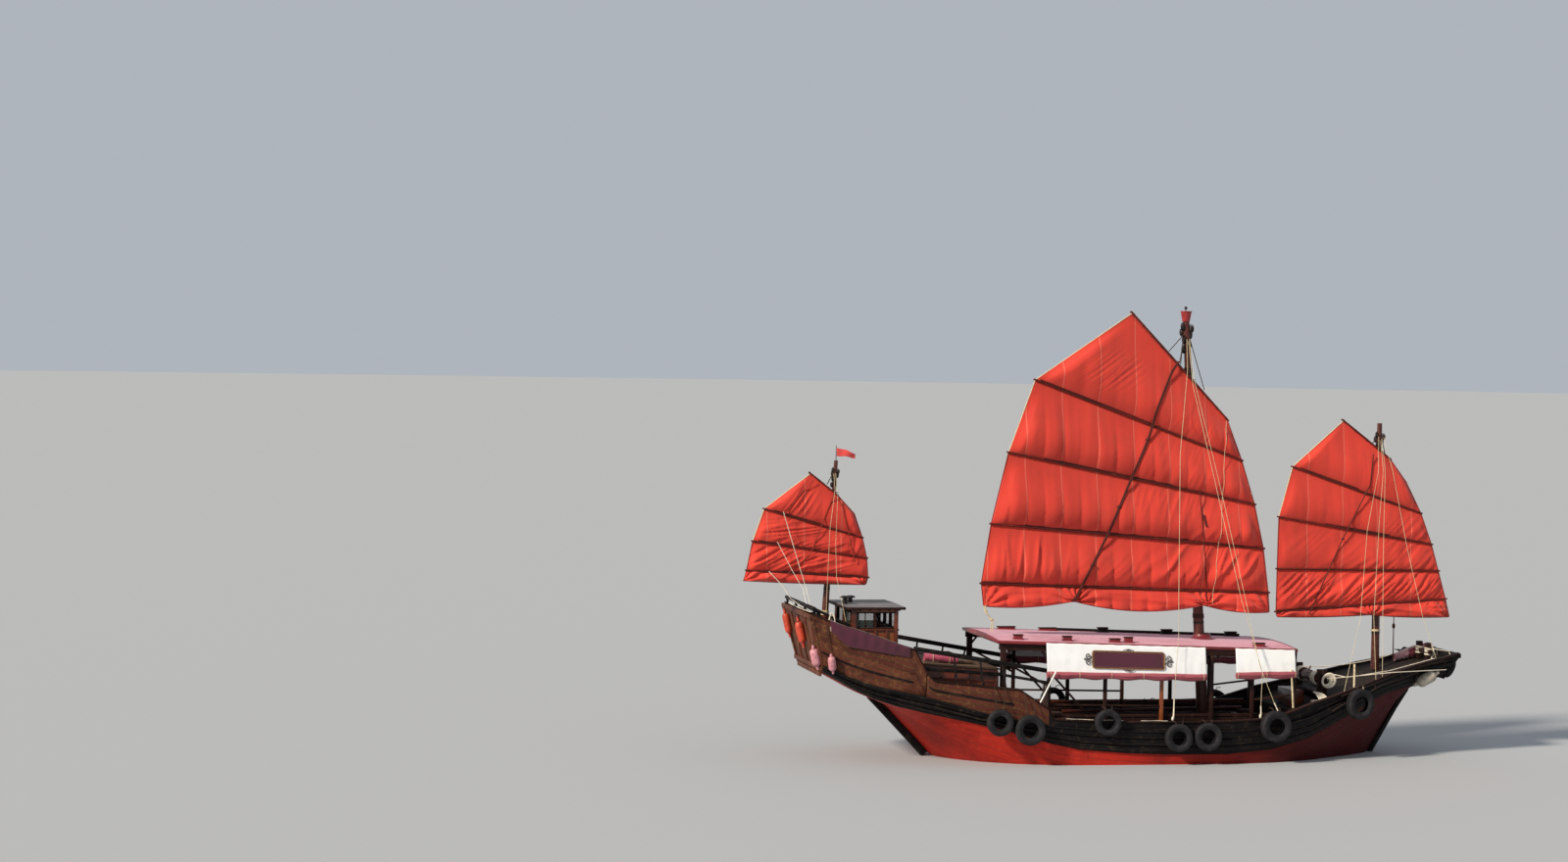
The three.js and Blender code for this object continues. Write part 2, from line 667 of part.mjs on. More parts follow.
// Cross walls: three windows in front, a doorway and one window behind.
const CROSS_WALL_HALF = HOUSE_HALF_WIDTH - HOUSE_WALL - GAP;
function crossWall(aftX, openings) {
  const footZ = deckTopAt(aftX) + GAP;
  const panel = box(
    aftX, aftX + HOUSE_WALL, -CROSS_WALL_HALF, CROSS_WALL_HALF, footZ, HOUSE_TOP_Z,
  );
  const cutters = openings.map(([lowY, highY, lowZ, highZ]) =>
    box(aftX - 10, aftX + HOUSE_WALL + 10, lowY, highY, lowZ, highZ),
  );
  return cut(panel, cutters);
}
const frontWindows = [-1, 0, 1].map((place) => [
  place * 680 - 280, place * 680 + 280, WINDOW_LOW_Z, WINDOW_HIGH_Z,
]);
add("wheelhouse_wall_front", crossWall(HOUSE_FRONT_X - HOUSE_WALL, frontWindows), "varnish");
const DOORWAY_TOP_Z = 3860;
const aftOpenings = [
  [150, 850, 0, DOORWAY_TOP_Z],
  [-850, -150, WINDOW_LOW_Z, WINDOW_HIGH_Z],
];
add("wheelhouse_wall_aft", crossWall(HOUSE_AFT_X, aftOpenings), "varnish");

const HOUSE_ROOF_LOW = HOUSE_TOP_Z + GAP;
const HOUSE_ROOF_TOP = HOUSE_ROOF_LOW + 90;
function crownedSlab(places, crown) {
  return loft(
    places.map(([x, halfWidth, lowZ, highZ]) =>
      [
        [-1, lowZ], [0, lowZ], [1, lowZ],
        [1, highZ], [0.5, highZ + crown * 0.75], [0, highZ + crown], [-0.5, highZ + crown * 0.75],
        [-1, highZ],
      ].map(([side, z]) => new THREE.Vector3(x, side * halfWidth, z)),
    ),
  );
}
const HOUSE_ROOF_HALF = 1240;
const HOUSE_CROWN = 60;
const houseRoof = crownedSlab(
  [
    [-7880, HOUSE_ROOF_HALF, HOUSE_ROOF_LOW, HOUSE_ROOF_TOP],
    [-6300, HOUSE_ROOF_HALF, HOUSE_ROOF_LOW, HOUSE_ROOF_TOP],
  ],
  HOUSE_CROWN,
);
const HOUSE_VENTS = [
  // x, y, stem radius, cap radius, height
  [-7720, -350, 60, 150, 150],
  [-7480, 150, 60, 130, 120],
];
const houseVents = HOUSE_VENTS.flatMap(([x, y, stemRadius, capRadius, height]) => {
  const topZ = HOUSE_ROOF_TOP + HOUSE_CROWN + height;
  return [
    pole([x, y, HOUSE_ROOF_TOP], [x, y, topZ], stemRadius, stemRadius),
    pole([x, y, topZ - height / 2], [x, y, topZ], capRadius, capRadius / 2),
  ];
});
add("wheelhouse_roof", joined([houseRoof, ...houseVents]), "maroon");

// Helm: a stand on the wheelhouse floor and the wheel that turns on it.
const HELM_X = -6760;
const HELM_Z = 3250;
const HELM_RADIUS = 330;
const HELM_TUBE = 26;
add(
  "helm_stand",
  box(HELM_X + 60, HELM_X + 200, -130, 130, deckTopAt(HELM_X + 60) + GAP, HELM_Z + 130),
  "varnish",
);
const helmRim = new THREE.TorusGeometry(HELM_RADIUS, HELM_TUBE, 6, 16);
helmRim.rotateY(Math.PI / 2);
helmRim.translate(HELM_X, 0, HELM_Z);
const helmParts = [helmRim, pole([HELM_X - 50, 0, HELM_Z], [HELM_X + 60 - GAP, 0, HELM_Z], 60, 60)];
const HELM_SPOKES = 8;
for (let k = 0; k < HELM_SPOKES / 2; k += 1) {
  const angle = (k * 2 * Math.PI) / HELM_SPOKES;
  const reach = HELM_RADIUS + 120;
  const across = reach * Math.cos(angle);
  const up = reach * Math.sin(angle);
  helmParts.push(
    pole([HELM_X, -across, HELM_Z - up], [HELM_X, across, HELM_Z + up], 18, 18, 6),
  );
}
add("helm_wheel", joined(helmParts), "varnish");

// Masts: straight tapered poles. Each row gives the foot, the head and both radii.
// The main and mizzen masts lean, so each foot is set just high enough for its low edge to
// rest on the deck.
const MAST_SIDES = 16;
const MAIN_FOOT_LIFT = 10.4;
const MIZZEN_FOOT_SINK = 6.2;
const MASTS = {
  main: { foot: [2190, WAIST_DECK_TOP + MAIN_FOOT_LIFT], head: [1490, 11780], radii: [160, 85] },
  fore: { foot: [6990, deckTopAt(6990 + 115) + GAP], head: [6990, 8860], radii: [115, 65] },
  mizzen: {
    foot: [-8250, deckTopUnder(-8250 - 100) - MIZZEN_FOOT_SINK],
    head: [-7950, 7750],
    radii: [100, 50],
  },
};
for (const mast of Object.values(MASTS)) {
  const [footX, footZ] = mast.foot;
  const [headX, headZ] = mast.head;
  mast.at = (z) => {
    const share = (z - footZ) / (headZ - footZ);
    return {
      x: THREE.MathUtils.lerp(footX, headX, share),
      radius: THREE.MathUtils.lerp(mast.radii[0], mast.radii[1], share),
    };
  };
  mast.along = new THREE.Vector3(headX - footX, 0, headZ - footZ).normalize();
}
function mastPole({ foot, head, radii }) {
  return pole([foot[0], 0, foot[1]], [head[0], 0, head[1]], radii[0], radii[1], MAST_SIDES);
}

// Canopy over the waist: a crowned roof on two rows of posts with edge beams.
const CANOPY_AFT_X = -4000;
const CANOPY_FRONT_X = 4150;
const CANOPY_AFT_Z = 3200;
const CANOPY_FRONT_Z = 2940;
const CANOPY_THICKNESS = 70;
const CANOPY_CROWN = 70;
const CANOPY_HALF_AFT = 1950;
const CANOPY_HALF_FRONT = 1850;
const POST_Y = 1800;
const POST_SIZE = 100;
const BEAM_DEPTH = 170;

function canopyEdgeZ(x) {
  const share = (x - CANOPY_AFT_X) / (CANOPY_FRONT_X - CANOPY_AFT_X);
  return THREE.MathUtils.lerp(CANOPY_AFT_Z, CANOPY_FRONT_Z, share);
}

const canopyEnds = [
  [CANOPY_AFT_X, CANOPY_HALF_AFT, CANOPY_AFT_Z - CANOPY_THICKNESS, CANOPY_AFT_Z],
  [CANOPY_FRONT_X, CANOPY_HALF_FRONT, CANOPY_FRONT_Z - CANOPY_THICKNESS, CANOPY_FRONT_Z],
];
const collarPlace = MASTS.main.at(3000);
const COLLAR_PLAY = 30;
const collarHole = pole(
  [MASTS.main.at(2800).x, 0, 2800],
  [MASTS.main.at(3400).x, 0, 3400],
  collarPlace.radius + COLLAR_PLAY,
  collarPlace.radius + COLLAR_PLAY,
  MAST_SIDES,
);
const CANOPY_POSTS = [-3830, -2600, -1080, 450, 1810, 2920, 4080];
function canopyFrame(side) {
  const low = -CANOPY_THICKNESS - GAP;
  const beam = plateXZ(
    [
      [CANOPY_AFT_X + 60, canopyEdgeZ(CANOPY_AFT_X + 60) + low],
      [CANOPY_AFT_X + 60, canopyEdgeZ(CANOPY_AFT_X + 60) + low - BEAM_DEPTH],
      [CANOPY_FRONT_X - 20, canopyEdgeZ(CANOPY_FRONT_X - 20) + low - BEAM_DEPTH],
      [CANOPY_FRONT_X - 20, canopyEdgeZ(CANOPY_FRONT_X - 20) + low],
    ],
    side * POST_Y - POST_SIZE / 2,
    side * POST_Y + POST_SIZE / 2,
  );
  const posts = CANOPY_POSTS.map((x) => {
    const onQuarter = x < WELL_AFT_X;
    const footZ = (onQuarter ? deckTopAt(x - POST_SIZE / 2) : WAIST_DECK_TOP) + GAP;
    const headZ = canopyEdgeZ(x) + low - BEAM_DEPTH / 2;
    const halfSize = POST_SIZE / 2;
    return box(
      x - halfSize, x + halfSize, side * POST_Y - halfSize, side * POST_Y + halfSize, footZ, headZ,
    );
  });
  return joined([beam, ...posts]);
}
for (const [sideName, side] of SIDES) {
  add(`canopy_frame_${sideName}`, canopyFrame(side), "darkPlank");
}

const CANOPY_VENTS = [
  // x, side, length, height
  [-3360, -1, 260, 110], [-2040, -1, 260, 110], [-750, -1, 300, 110], [-380, -1, 240, 130],
  [3200, -1, 320, 80], [-2900, 1, 500, 70], [-1750, 1, 500, 70], [-210, 1, 300, 120],
  [1590, 1, 320, 120], [3400, 1, 340, 110],
];
const CANOPY_VENT_Y = [1400, 1580];
const canopyVents = CANOPY_VENTS.map(([x, side, length, height]) => {
  const across = CANOPY_VENT_Y.map((y) => side * y).sort((a, b) => a - b);
  const topZ = canopyEdgeZ(x) + CANOPY_CROWN / 2 + height;
  return box(x - length / 2, x + length / 2, ...across, canopyEdgeZ(x) - 40, topZ);
});
const canopyShell = joined([crownedSlab(canopyEnds, CANOPY_CROWN), ...canopyVents]);
add("canopy_roof", cut(canopyShell, [collarHole]), "roofMauve");

// Canvas side cloths under the canopy's edges, the rolled blinds at their feet and the boards.
const CLOTH_SPREAD = 120;
const CLOTH_THICKNESS = 16;
const CLOTH_DROP = 700;
const ROLL_RADIUS = 85;
const CLOTHS = [
  // name, aft end, front end
  ["long", -2700, 1550],
  ["short", 2420, 4060],
];
function canopyHalfAt(x) {
  const share = (x - CANOPY_AFT_X) / (CANOPY_FRONT_X - CANOPY_AFT_X);
  return THREE.MathUtils.lerp(CANOPY_HALF_AFT, CANOPY_HALF_FRONT, share);
}
function clothTop(x) {
  return { y: canopyHalfAt(x) + GAP, z: canopyEdgeZ(x) - 15 };
}
function clothPiece(side, aftX, frontX) {
  const cloth = loft(
    [aftX, frontX].map((x) => {
      const top = clothTop(x);
      return [
        [top.y, top.z],
        [top.y + CLOTH_SPREAD, top.z - CLOTH_DROP],
        [top.y + CLOTH_SPREAD + CLOTH_THICKNESS, top.z - CLOTH_DROP],
        [top.y + CLOTH_THICKNESS, top.z],
      ].map(([y, z]) => new THREE.Vector3(x, side * y, z));
    }),
  );
  const ends = [aftX, frontX].map((x) => {
    const top = clothTop(x);
    return [x, side * (top.y + CLOTH_SPREAD), top.z - CLOTH_DROP - ROLL_RADIUS / 2];
  });
  return joined([cloth, pole(...ends, ROLL_RADIUS, ROLL_RADIUS)]);
}

// Name boards on the long cloths: plain plates.
const SIGN = { aftX: -1750, frontX: 570, below: 130, height: 470, thickness: 30 };
function signPiece(side) {
  const lean = CLOTH_SPREAD / CLOTH_DROP;
  return loft(
    [SIGN.aftX, SIGN.frontX].map((x) => {
      const top = clothTop(x);
      const headZ = top.z - SIGN.below;
      const headY = top.y + CLOTH_THICKNESS + GAP + SIGN.below * lean;
      return [
        [headY, headZ],
        [headY + SIGN.height * lean, headZ - SIGN.height],
        [headY + SIGN.height * lean + SIGN.thickness, headZ - SIGN.height],
        [headY + SIGN.thickness, headZ],
      ].map(([y, z]) => new THREE.Vector3(x, side * y, z));
    }),
  );
}
for (const [sideName, side] of SIDES) {
  for (const [name, aftX, frontX] of CLOTHS) {
    add(`${name}_side_cloth_${sideName}`, clothPiece(side, aftX, frontX), "canvasWhite");
  }
  add(`name_board_${sideName}`, signPiece(side), "maroon");
}

// Handrails from the poop bulwark down to the canopy's second posts.
const RAIL = { width: 70, depth: 90 };
const RAIL_AFT = { x: -6300, y: 2190, z: 3030 };
const RAIL_FRONT = { x: -2600, y: POST_Y + (POST_SIZE + RAIL.width) / 2 + 2, z: 2400 };

// Benches along both sides of the well, with a back rail against the posts.
const BENCH = { aftX: -2400, frontX: 3900, innerY: 1330, seatZ: 920, backZ: 1250, back: 45 };
for (const [sideName, side] of SIDES) {
  const aft = [RAIL_AFT.x, side * RAIL_AFT.y, RAIL_AFT.z];
  const front = [RAIL_FRONT.x, side * RAIL_FRONT.y, RAIL_FRONT.z];
  add(`handrail_${sideName}`, bar(aft, front, RAIL.width, RAIL.depth), "darkPlank");
  const outerY = POST_Y - POST_SIZE / 2 - GAP;
  const seatY = [side * BENCH.innerY, side * outerY].sort((a, b) => a - b);
  const backY = [side * (outerY - BENCH.back), side * outerY].sort((a, b) => a - b);
  const seat = box(BENCH.aftX, BENCH.frontX, ...seatY, WAIST_DECK_TOP + GAP, BENCH.seatZ);
  const back = box(BENCH.aftX, BENCH.frontX, ...backY, BENCH.seatZ - 20, BENCH.backZ);
  add(`bench_${sideName}`, joined([seat, back]), "varnish");
}

// Sheave blocks under each masthead, and the bucket and ball at the main one.
function sheaveBlock(mast, lowZ, highZ, halfLength, halfWidth) {
  const { x } = mast.at((lowZ + highZ) / 2);
  return box(x - halfLength, x + halfLength, -halfWidth, halfWidth, lowZ, highZ);
}
const MAINHEAD_X = MASTS.main.head[0];
const mainHead = [
  sheaveBlock(MASTS.main, 11180, 11440, 150, 100),
  pole([MAINHEAD_X + 10, 0, 11520], [MAINHEAD_X - 5, 0, 11800], 105, 155, MAST_SIDES),
  pole([MAINHEAD_X, 0, 11750], [MAINHEAD_X, 0, 11880], 16, 16, 8),
  new THREE.SphereGeometry(42, 8, 6).rotateX(Math.PI / 2).translate(MAINHEAD_X, 0, 11880),
];
const foreHead = [sheaveBlock(MASTS.fore, 8520, 8720, 110, 80)];
const mizzenHead = [sheaveBlock(MASTS.mizzen, 7520, 7680, 85, 70)];
add("main_mast", joined([mastPole(MASTS.main), ...mainHead]), "mastBrown");
add("fore_mast", joined([mastPole(MASTS.fore), ...foreHead]), "mastBrown");
add("mizzen_mast", joined([mastPole(MASTS.mizzen), ...mizzenHead]), "mastBrown");

// Sails. The leech runs down the after edge from the peak, the luff up the front to the throat.
// The battens are double poles from leech to luff, and the yard carries the head.
const SAILS = {
  main: {
    planeY: -330,
    poleRadius: 42,
    leech: [[-80, 11710], [-2690, 9920], [-3380, 8010], [-3820, 6130], [-4060, 4560], [-3990, 3970]],
    foot: [[-1550, 4100], [1230, 3880], [2040, 3990]],
    luff: [[3850, 3800], [3810, 4320], [3650, 5500], [3380, 6680], [3000, 7850], [2570, 8940]],
    battens: 4,
  },
  fore: {
    planeY: -250,
    poleRadius: 30,
    leech: [[5880, 8920], [4480, 7680], [4120, 6340], [4100, 4950], [4090, 3800], [4120, 3670]],
    foot: [[6710, 3720]],
    luff: [
      [8970, 3660], [8850, 4140], [8630, 4900], [8420, 5620], [8100, 6460], [7660, 7300],
      [7180, 7930],
    ],
    battens: 4,
  },
  mizzen: {
    planeY: -220,
    poleRadius: 26,
    leech: [[-8660, 7410], [-9870, 6490], [-10160, 5650], [-10310, 4890], [-10410, 4630]],
    foot: [],
    luff: [
      [-7160, 4530], [-7110, 4710], [-7150, 5220], [-7280, 5760], [-7500, 6370], [-7980, 6880],
    ],
    battens: 3,
  },
};
const CLOTH_HALF = 10;
const BOLT_ROPE_RADIUS = 20;

const PARREL_PLAY = 0.5;

// A parrel: a stiff loop round the mast, at right angles to it, with a lug to the batten.
function parrel(mast, z, poleY) {
  const here = mast.at(z);
  const inner = (here.radius + PARREL_PLAY) / Math.cos(Math.PI / MAST_SIDES);
  const outer = inner + 26;
  const height = 50;
  const profile = [
    new THREE.Vector2(inner, -height / 2),
    new THREE.Vector2(outer, -height / 2),
    new THREE.Vector2(outer, height / 2),
    new THREE.Vector2(inner, height / 2),
    new THREE.Vector2(inner, -height / 2),
  ];
  const ring = new THREE.LatheGeometry(profile, MAST_SIDES);
  ring.rotateY(Math.PI / MAST_SIDES);
  const turn = new THREE.Quaternion();
  turn.setFromUnitVectors(new THREE.Vector3(0, 1, 0), mast.along);
  ring.applyQuaternion(turn);
  ring.translate(here.x, 0, z);
  const lug = box(here.x - 30, here.x + 30, poleY, -inner - 10, z - 20, z + 20);
  return joined([ring, lug]);
}

function heightOn([from, to], x) {
  return THREE.MathUtils.lerp(from[1], to[1], (x - from[0]) / (to[0] - from[0]));
}

// A rope sewn along an edge of the sail, just outside the cloth.
// Seen with the bow to the right, the edge runs down the leech or up the luff.
function boltRope(edge, planeY) {
  const line = edge.map(([x, z]) => new THREE.Vector2(x, z));
  const inner = [];
  const outer = [];
  line.forEach((point, i) => {
    const before = line[Math.max(0, i - 1)];
    const after = line[Math.min(line.length - 1, i + 1)];
    const along = after.clone().sub(before).normalize();
    const out = new THREE.Vector2(along.y, -along.x);
    inner.push(point.clone().addScaledVector(out, 1).toArray());
    outer.push(point.clone().addScaledVector(out, 1 + 2 * BOLT_ROPE_RADIUS).toArray());
  });
  const corners = [...inner, ...outer.reverse()];
  return plateXZ(corners, planeY - BOLT_ROPE_RADIUS, planeY + BOLT_ROPE_RADIUS);
}

// The leech's battens meet the luff's in order from the top, below the head.
function battenLines({ leech, luff, battens }) {
  const luffDown = [...luff].reverse();
  const skipped = luffDown.length - 1 - battens;
  return leech.slice(1, battens + 1).map((end, i) => [end, luffDown[skipped + i]]);
}

function extended([from, to], extra) {
  const start = new THREE.Vector2(...from);
  const end = new THREE.Vector2(...to);
  const along = end.clone().sub(start).normalize().multiplyScalar(extra);
  return [start.sub(along).toArray(), end.add(along).toArray()];
}

// The point at a given distance from one corner towards the next.
function towards(from, to, distance) {
  const start = new THREE.Vector2(...from);
  const along = new THREE.Vector2(...to).sub(start).normalize();
  return start.addScaledVector(along, distance).toArray();
}

const BATTEN_PAST_EDGE = 50;
const YARD_CLEAR = 180;
const YARD_PAST_CLOTH = 70;
const YARD_PIN_RADIUS = 14;
const YARD_PIN_LIFT = 14;
for (const [name, sail] of Object.entries(SAILS)) {
  const mast = MASTS[name];
  const { planeY, poleRadius, leech, foot, luff } = sail;
  const outline = [...leech, ...foot, ...luff];
  add(`${name}_sail`, plateXZ(outline, planeY - CLOTH_HALF, planeY + CLOTH_HALF), "sailRed");

  const offset = CLOTH_HALF + poleRadius + GAP;
  const [nearY, farY] = [planeY - offset, planeY + offset];
  const polePair = (line) =>
    [nearY, farY].map((y) => {
      const [[fromX, fromZ], [toX, toZ]] = line;
      return pole([fromX, y, fromZ], [toX, y, toZ], poleRadius, poleRadius, 8);
    });

  const battenParts = [];
  for (const line of battenLines(sail)) {
    battenParts.push(...polePair(extended(line, BATTEN_PAST_EDGE)));
    const crossing = mast.at(heightOn(line, mast.foot[0]));
    battenParts.push(parrel(mast, heightOn(line, crossing.x), farY));
  }
  const leechRope = [towards(leech[0], leech[1], YARD_CLEAR), ...leech.slice(1, sail.battens + 1)];
  const throat = luff[luff.length - 1];
  const luffRope = [...luff.slice(0, -1), towards(throat, luff[luff.length - 2], YARD_CLEAR)];
  battenParts.push(boltRope(leechRope, planeY), boltRope(luffRope, planeY));
  add(`${name}_battens`, joined(battenParts), "battenBrown");

  const head = [leech[0], luff[luff.length - 1]];
  const yardLine = extended(head, YARD_PAST_CLOTH);
  const yardParts = polePair(yardLine);
  const headRun = new THREE.Vector2(head[1][0] - head[0][0], head[1][1] - head[0][1]).normalize();
  for (const [endX, endZ] of yardLine) {
    const [x, z] = [endX - headRun.y * YARD_PIN_LIFT, endZ + headRun.x * YARD_PIN_LIFT];
    yardParts.push(pole([x, nearY, z], [x, farY, z], YARD_PIN_RADIUS, YARD_PIN_RADIUS, 8));
  }
  const yardCrossing = mast.at(heightOn(head, mast.head[0]));
  yardParts.push(parrel(mast, heightOn(head, yardCrossing.x), farY));
  add(`${name}_yard`, joined(yardParts), "battenBrown");
}

// Windlass on the fore deck: two cheeks and the log drum between them.
const WINDLASS_X = 5150;
const WINDLASS_Z = 2060;
const WINDLASS_HALF = 900;
const CHEEK = 110;
const cheekFootZ = deckTopAt(WINDLASS_X + 130) + GAP;
const windlassCheeks = SIDES.map(([, side]) => {
  const low = Math.min(side * WINDLASS_HALF, side * (WINDLASS_HALF + CHEEK));
  return box(WINDLASS_X - 130, WINDLASS_X + 130, low, low + CHEEK, cheekFootZ, WINDLASS_Z + 260);
});
const WINDLASS_PIN = 50;
const WINDLASS_PIN_PLAY = 0.6;
const WINDLASS_RADIUS = 160;
const WINDLASS_END_GAP = 5;
const pinBores = SIDES.map(([, side]) =>
  pole(
    [WINDLASS_X, side * (WINDLASS_HALF - 60), WINDLASS_Z],
    [WINDLASS_X, side * (WINDLASS_HALF + CHEEK + 60), WINDLASS_Z],
    WINDLASS_PIN + WINDLASS_PIN_PLAY,
    WINDLASS_PIN + WINDLASS_PIN_PLAY,
    24,
  ),
);
const windlassSill = box(
  WINDLASS_X - 130, WINDLASS_X + 130, -WINDLASS_HALF - 20, WINDLASS_HALF + 20,
  cheekFootZ, cheekFootZ + 120,
);
add("windlass_frame", cut(joined([...windlassCheeks, windlassSill]), pinBores), "darkPlank");
const windlassRound = (half, radius, sides) =>
  pole([WINDLASS_X, -half, WINDLASS_Z], [WINDLASS_X, half, WINDLASS_Z], radius, radius, sides);
const drum = windlassRound(WINDLASS_HALF - WINDLASS_END_GAP, WINDLASS_RADIUS, 12);
const drumPin = windlassRound(WINDLASS_HALF + CHEEK, WINDLASS_PIN, 24);
add("windlass_drum", joined([drum, drumPin]), "mastBrown");

// Mooring bitts: two square timber posts joined by a crosspiece.
const BITTS = { x: 8380, halfSpan: 330, size: 150, headZ: 2950, crossZ: 2720, crossDepth: 110 };
const bittFootZ = deckTopUnder(BITTS.x + BITTS.size / 2) + GAP;
const bittHalf = BITTS.size / 2;
const bittPosts = SIDES.map(([, side]) => {
  const y = side * BITTS.halfSpan;
  const [aftX, frontX] = [BITTS.x - bittHalf, BITTS.x + bittHalf];
  return box(aftX, frontX, y - bittHalf, y + bittHalf, bittFootZ, BITTS.headZ);
});
const bittCross = box(
  BITTS.x - 50, BITTS.x + 50, -BITTS.halfSpan - 190, BITTS.halfSpan + 190,
  BITTS.crossZ - BITTS.crossDepth / 2, BITTS.crossZ + BITTS.crossDepth / 2,
);
add("bow_bitts", joined([...bittPosts, bittCross]), "varnish");

// Flag and its staff at the mizzen masthead.
const FLAG_STAFF_TOP = 8150;
const mizzenHeadZ = MASTS.mizzen.head[1];
const STAFF_GAP = 1.3;
const staffX = MASTS.mizzen.head[0];
const flagStaff = pole([staffX, 0, mizzenHeadZ + STAFF_GAP], [staffX, 0, FLAG_STAFF_TOP], 14, 14, 8);
const flagCloth = box(staffX + 5, staffX + 550, -6, 6, 7800, 8100);
add("flag", joined([flagStaff, flagCloth]), "sailRed");

export default ship;
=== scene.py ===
import math

import bmesh
import bpy
from mathutils import Matrix, Vector, noise
from mathutils.bvhtree import BVHTree


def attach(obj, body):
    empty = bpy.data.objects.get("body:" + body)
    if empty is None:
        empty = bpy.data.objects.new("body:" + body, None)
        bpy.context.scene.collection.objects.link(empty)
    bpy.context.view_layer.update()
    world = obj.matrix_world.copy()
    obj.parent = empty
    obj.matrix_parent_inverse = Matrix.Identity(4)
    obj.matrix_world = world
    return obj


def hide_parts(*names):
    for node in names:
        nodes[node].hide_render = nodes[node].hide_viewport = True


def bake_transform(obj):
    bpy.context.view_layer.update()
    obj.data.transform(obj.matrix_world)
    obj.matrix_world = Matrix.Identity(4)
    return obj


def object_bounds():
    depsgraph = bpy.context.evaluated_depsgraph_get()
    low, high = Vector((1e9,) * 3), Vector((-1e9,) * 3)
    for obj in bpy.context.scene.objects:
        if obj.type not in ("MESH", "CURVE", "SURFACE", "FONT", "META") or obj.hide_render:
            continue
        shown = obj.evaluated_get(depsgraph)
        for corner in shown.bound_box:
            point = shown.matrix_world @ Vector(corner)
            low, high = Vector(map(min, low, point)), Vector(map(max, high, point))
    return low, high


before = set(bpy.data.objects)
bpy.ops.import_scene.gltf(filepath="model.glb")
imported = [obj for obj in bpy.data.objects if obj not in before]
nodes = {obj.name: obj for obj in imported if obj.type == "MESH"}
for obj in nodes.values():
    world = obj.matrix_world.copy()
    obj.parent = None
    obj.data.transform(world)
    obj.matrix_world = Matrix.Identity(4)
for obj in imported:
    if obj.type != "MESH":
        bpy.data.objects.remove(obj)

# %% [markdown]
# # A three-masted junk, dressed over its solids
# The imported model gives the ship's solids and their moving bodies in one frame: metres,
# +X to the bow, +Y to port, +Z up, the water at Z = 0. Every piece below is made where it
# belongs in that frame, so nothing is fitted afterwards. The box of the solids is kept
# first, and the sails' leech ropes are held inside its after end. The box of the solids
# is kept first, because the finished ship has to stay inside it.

cad_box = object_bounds()
print("box of the solids:", [round(v, 2) for corner in cad_box for v in corner])

# %% [markdown]
# ## Camera
# The photograph looks at the starboard side from 92 metres, 17 degrees abaft the beam, with
# a long lens. The ship heels over a little there. Here she stands upright, so the heel goes
# into the camera instead: its axes are worked out in the ship's own frame from the ship's
# yaw and heel and the camera's small upward pitch.

# %% Camera from the ship's yaw and heel
PHOTO_WIDTH = 1600
FOCAL_PIXELS = 3500
YAW = math.radians(11.0)
HEEL = math.radians(4.5)
PITCH = math.atan(161 / FOCAL_PIXELS)
DISTANCE = 91.6
EYE_HEIGHT = 4.38
SHIP_OFFSET = 346 / FOCAL_PIXELS * DISTANCE * math.cos(PITCH)

forward = Vector((math.cos(YAW), math.sin(YAW), 0))
abeam = Vector((-math.sin(YAW), math.cos(YAW), 0))
up = Vector((0, 0, 1))
ship_axes = Matrix(
    (
        forward,
        math.cos(HEEL) * abeam + math.sin(HEEL) * up,
        math.cos(HEEL) * up - math.sin(HEEL) * abeam,
    )
)
eye = ship_axes @ (Vector((0, 0, EYE_HEIGHT)) - Vector((SHIP_OFFSET, DISTANCE, 0)))
right = ship_axes @ Vector((1, 0, 0))
ahead = ship_axes @ Vector((0, math.cos(PITCH), math.sin(PITCH)))
above = ship_axes @ Vector((0, -math.sin(PITCH), math.cos(PITCH)))

lens = bpy.data.cameras.new("camera")
lens.sensor_width = 36
lens.lens = FOCAL_PIXELS / PHOTO_WIDTH * lens.sensor_width
lens.clip_end = 2000
camera = bpy.data.objects.new("camera", lens)
camera.matrix_world = Matrix.Translation(eye) @ Matrix((right, above, -ahead)).transposed().to_4x4()
bpy.context.scene.collection.objects.link(camera)
bpy.context.scene.camera = camera
print("camera at", [round(v, 2) for v in eye], "lens", round(lens.lens, 2), "mm")

# %% [markdown]
# ## Floor and light
# A pale floor lies at the waterline, and the world is a grey as pale as the lit floor, so
# that the floor's far edge hardly shows. In the photograph a hazy sun stands over the stern,
# a little on the camera's side: it rakes along the sails, so that every fold shows, lights
# the quarter and leaves the bow dark. The plain view transform keeps the reds as strong as
# the photograph has them.

# %% Floor, sun and sky
def linear(code):
    """A hex sRGB colour as the linear numbers that shaders use."""
    parts = [int(code[i : i + 2], 16) / 255 for i in (1, 3, 5)]
    return (*[c / 12.92 if c <= 0.04045 else ((c + 0.055) / 1.055) ** 2.4 for c in parts], 1.0)


def add(tree, kind, inputs=None, **settings):
    """Adds a shader node with its settings; an input is a number, a colour or another socket."""
    made = tree.nodes.new("ShaderNode" + kind)
    for name, value in settings.items():
        setattr(made, name, value)
    for name, value in (inputs or {}).items():
        if isinstance(value, bpy.types.NodeSocket):
            tree.links.new(value, made.inputs[name])
        else:
            made.inputs[name].default_value = value
    return made


def new_material(name, **surface):
    """A material with one Principled shader; surface gives the shader's own numbers."""
    made = bpy.data.materials.new(name)
    made.use_nodes = True
    tree = made.node_tree
    tree.nodes.clear()
    shader = add(tree, "BsdfPrincipled", surface)
    add(tree, "OutputMaterial", {"Surface": shader.outputs[0]})
    return made, tree, shader


floor_paint, _, _ = new_material(
    "matt_studio_floor", **{"Base Color": linear("#A9ACAF"), "Roughness": 0.9}
)
bm = bmesh.new()
bmesh.ops.create_circle(bm, cap_ends=True, segments=96, radius=600)
floor_mesh = bpy.data.meshes.new("floor")
bm.to_mesh(floor_mesh)
bm.free()
floor_mesh.materials.append(floor_paint)
floor = bpy.data.objects.new("floor", floor_mesh)
bpy.context.scene.collection.objects.link(floor)

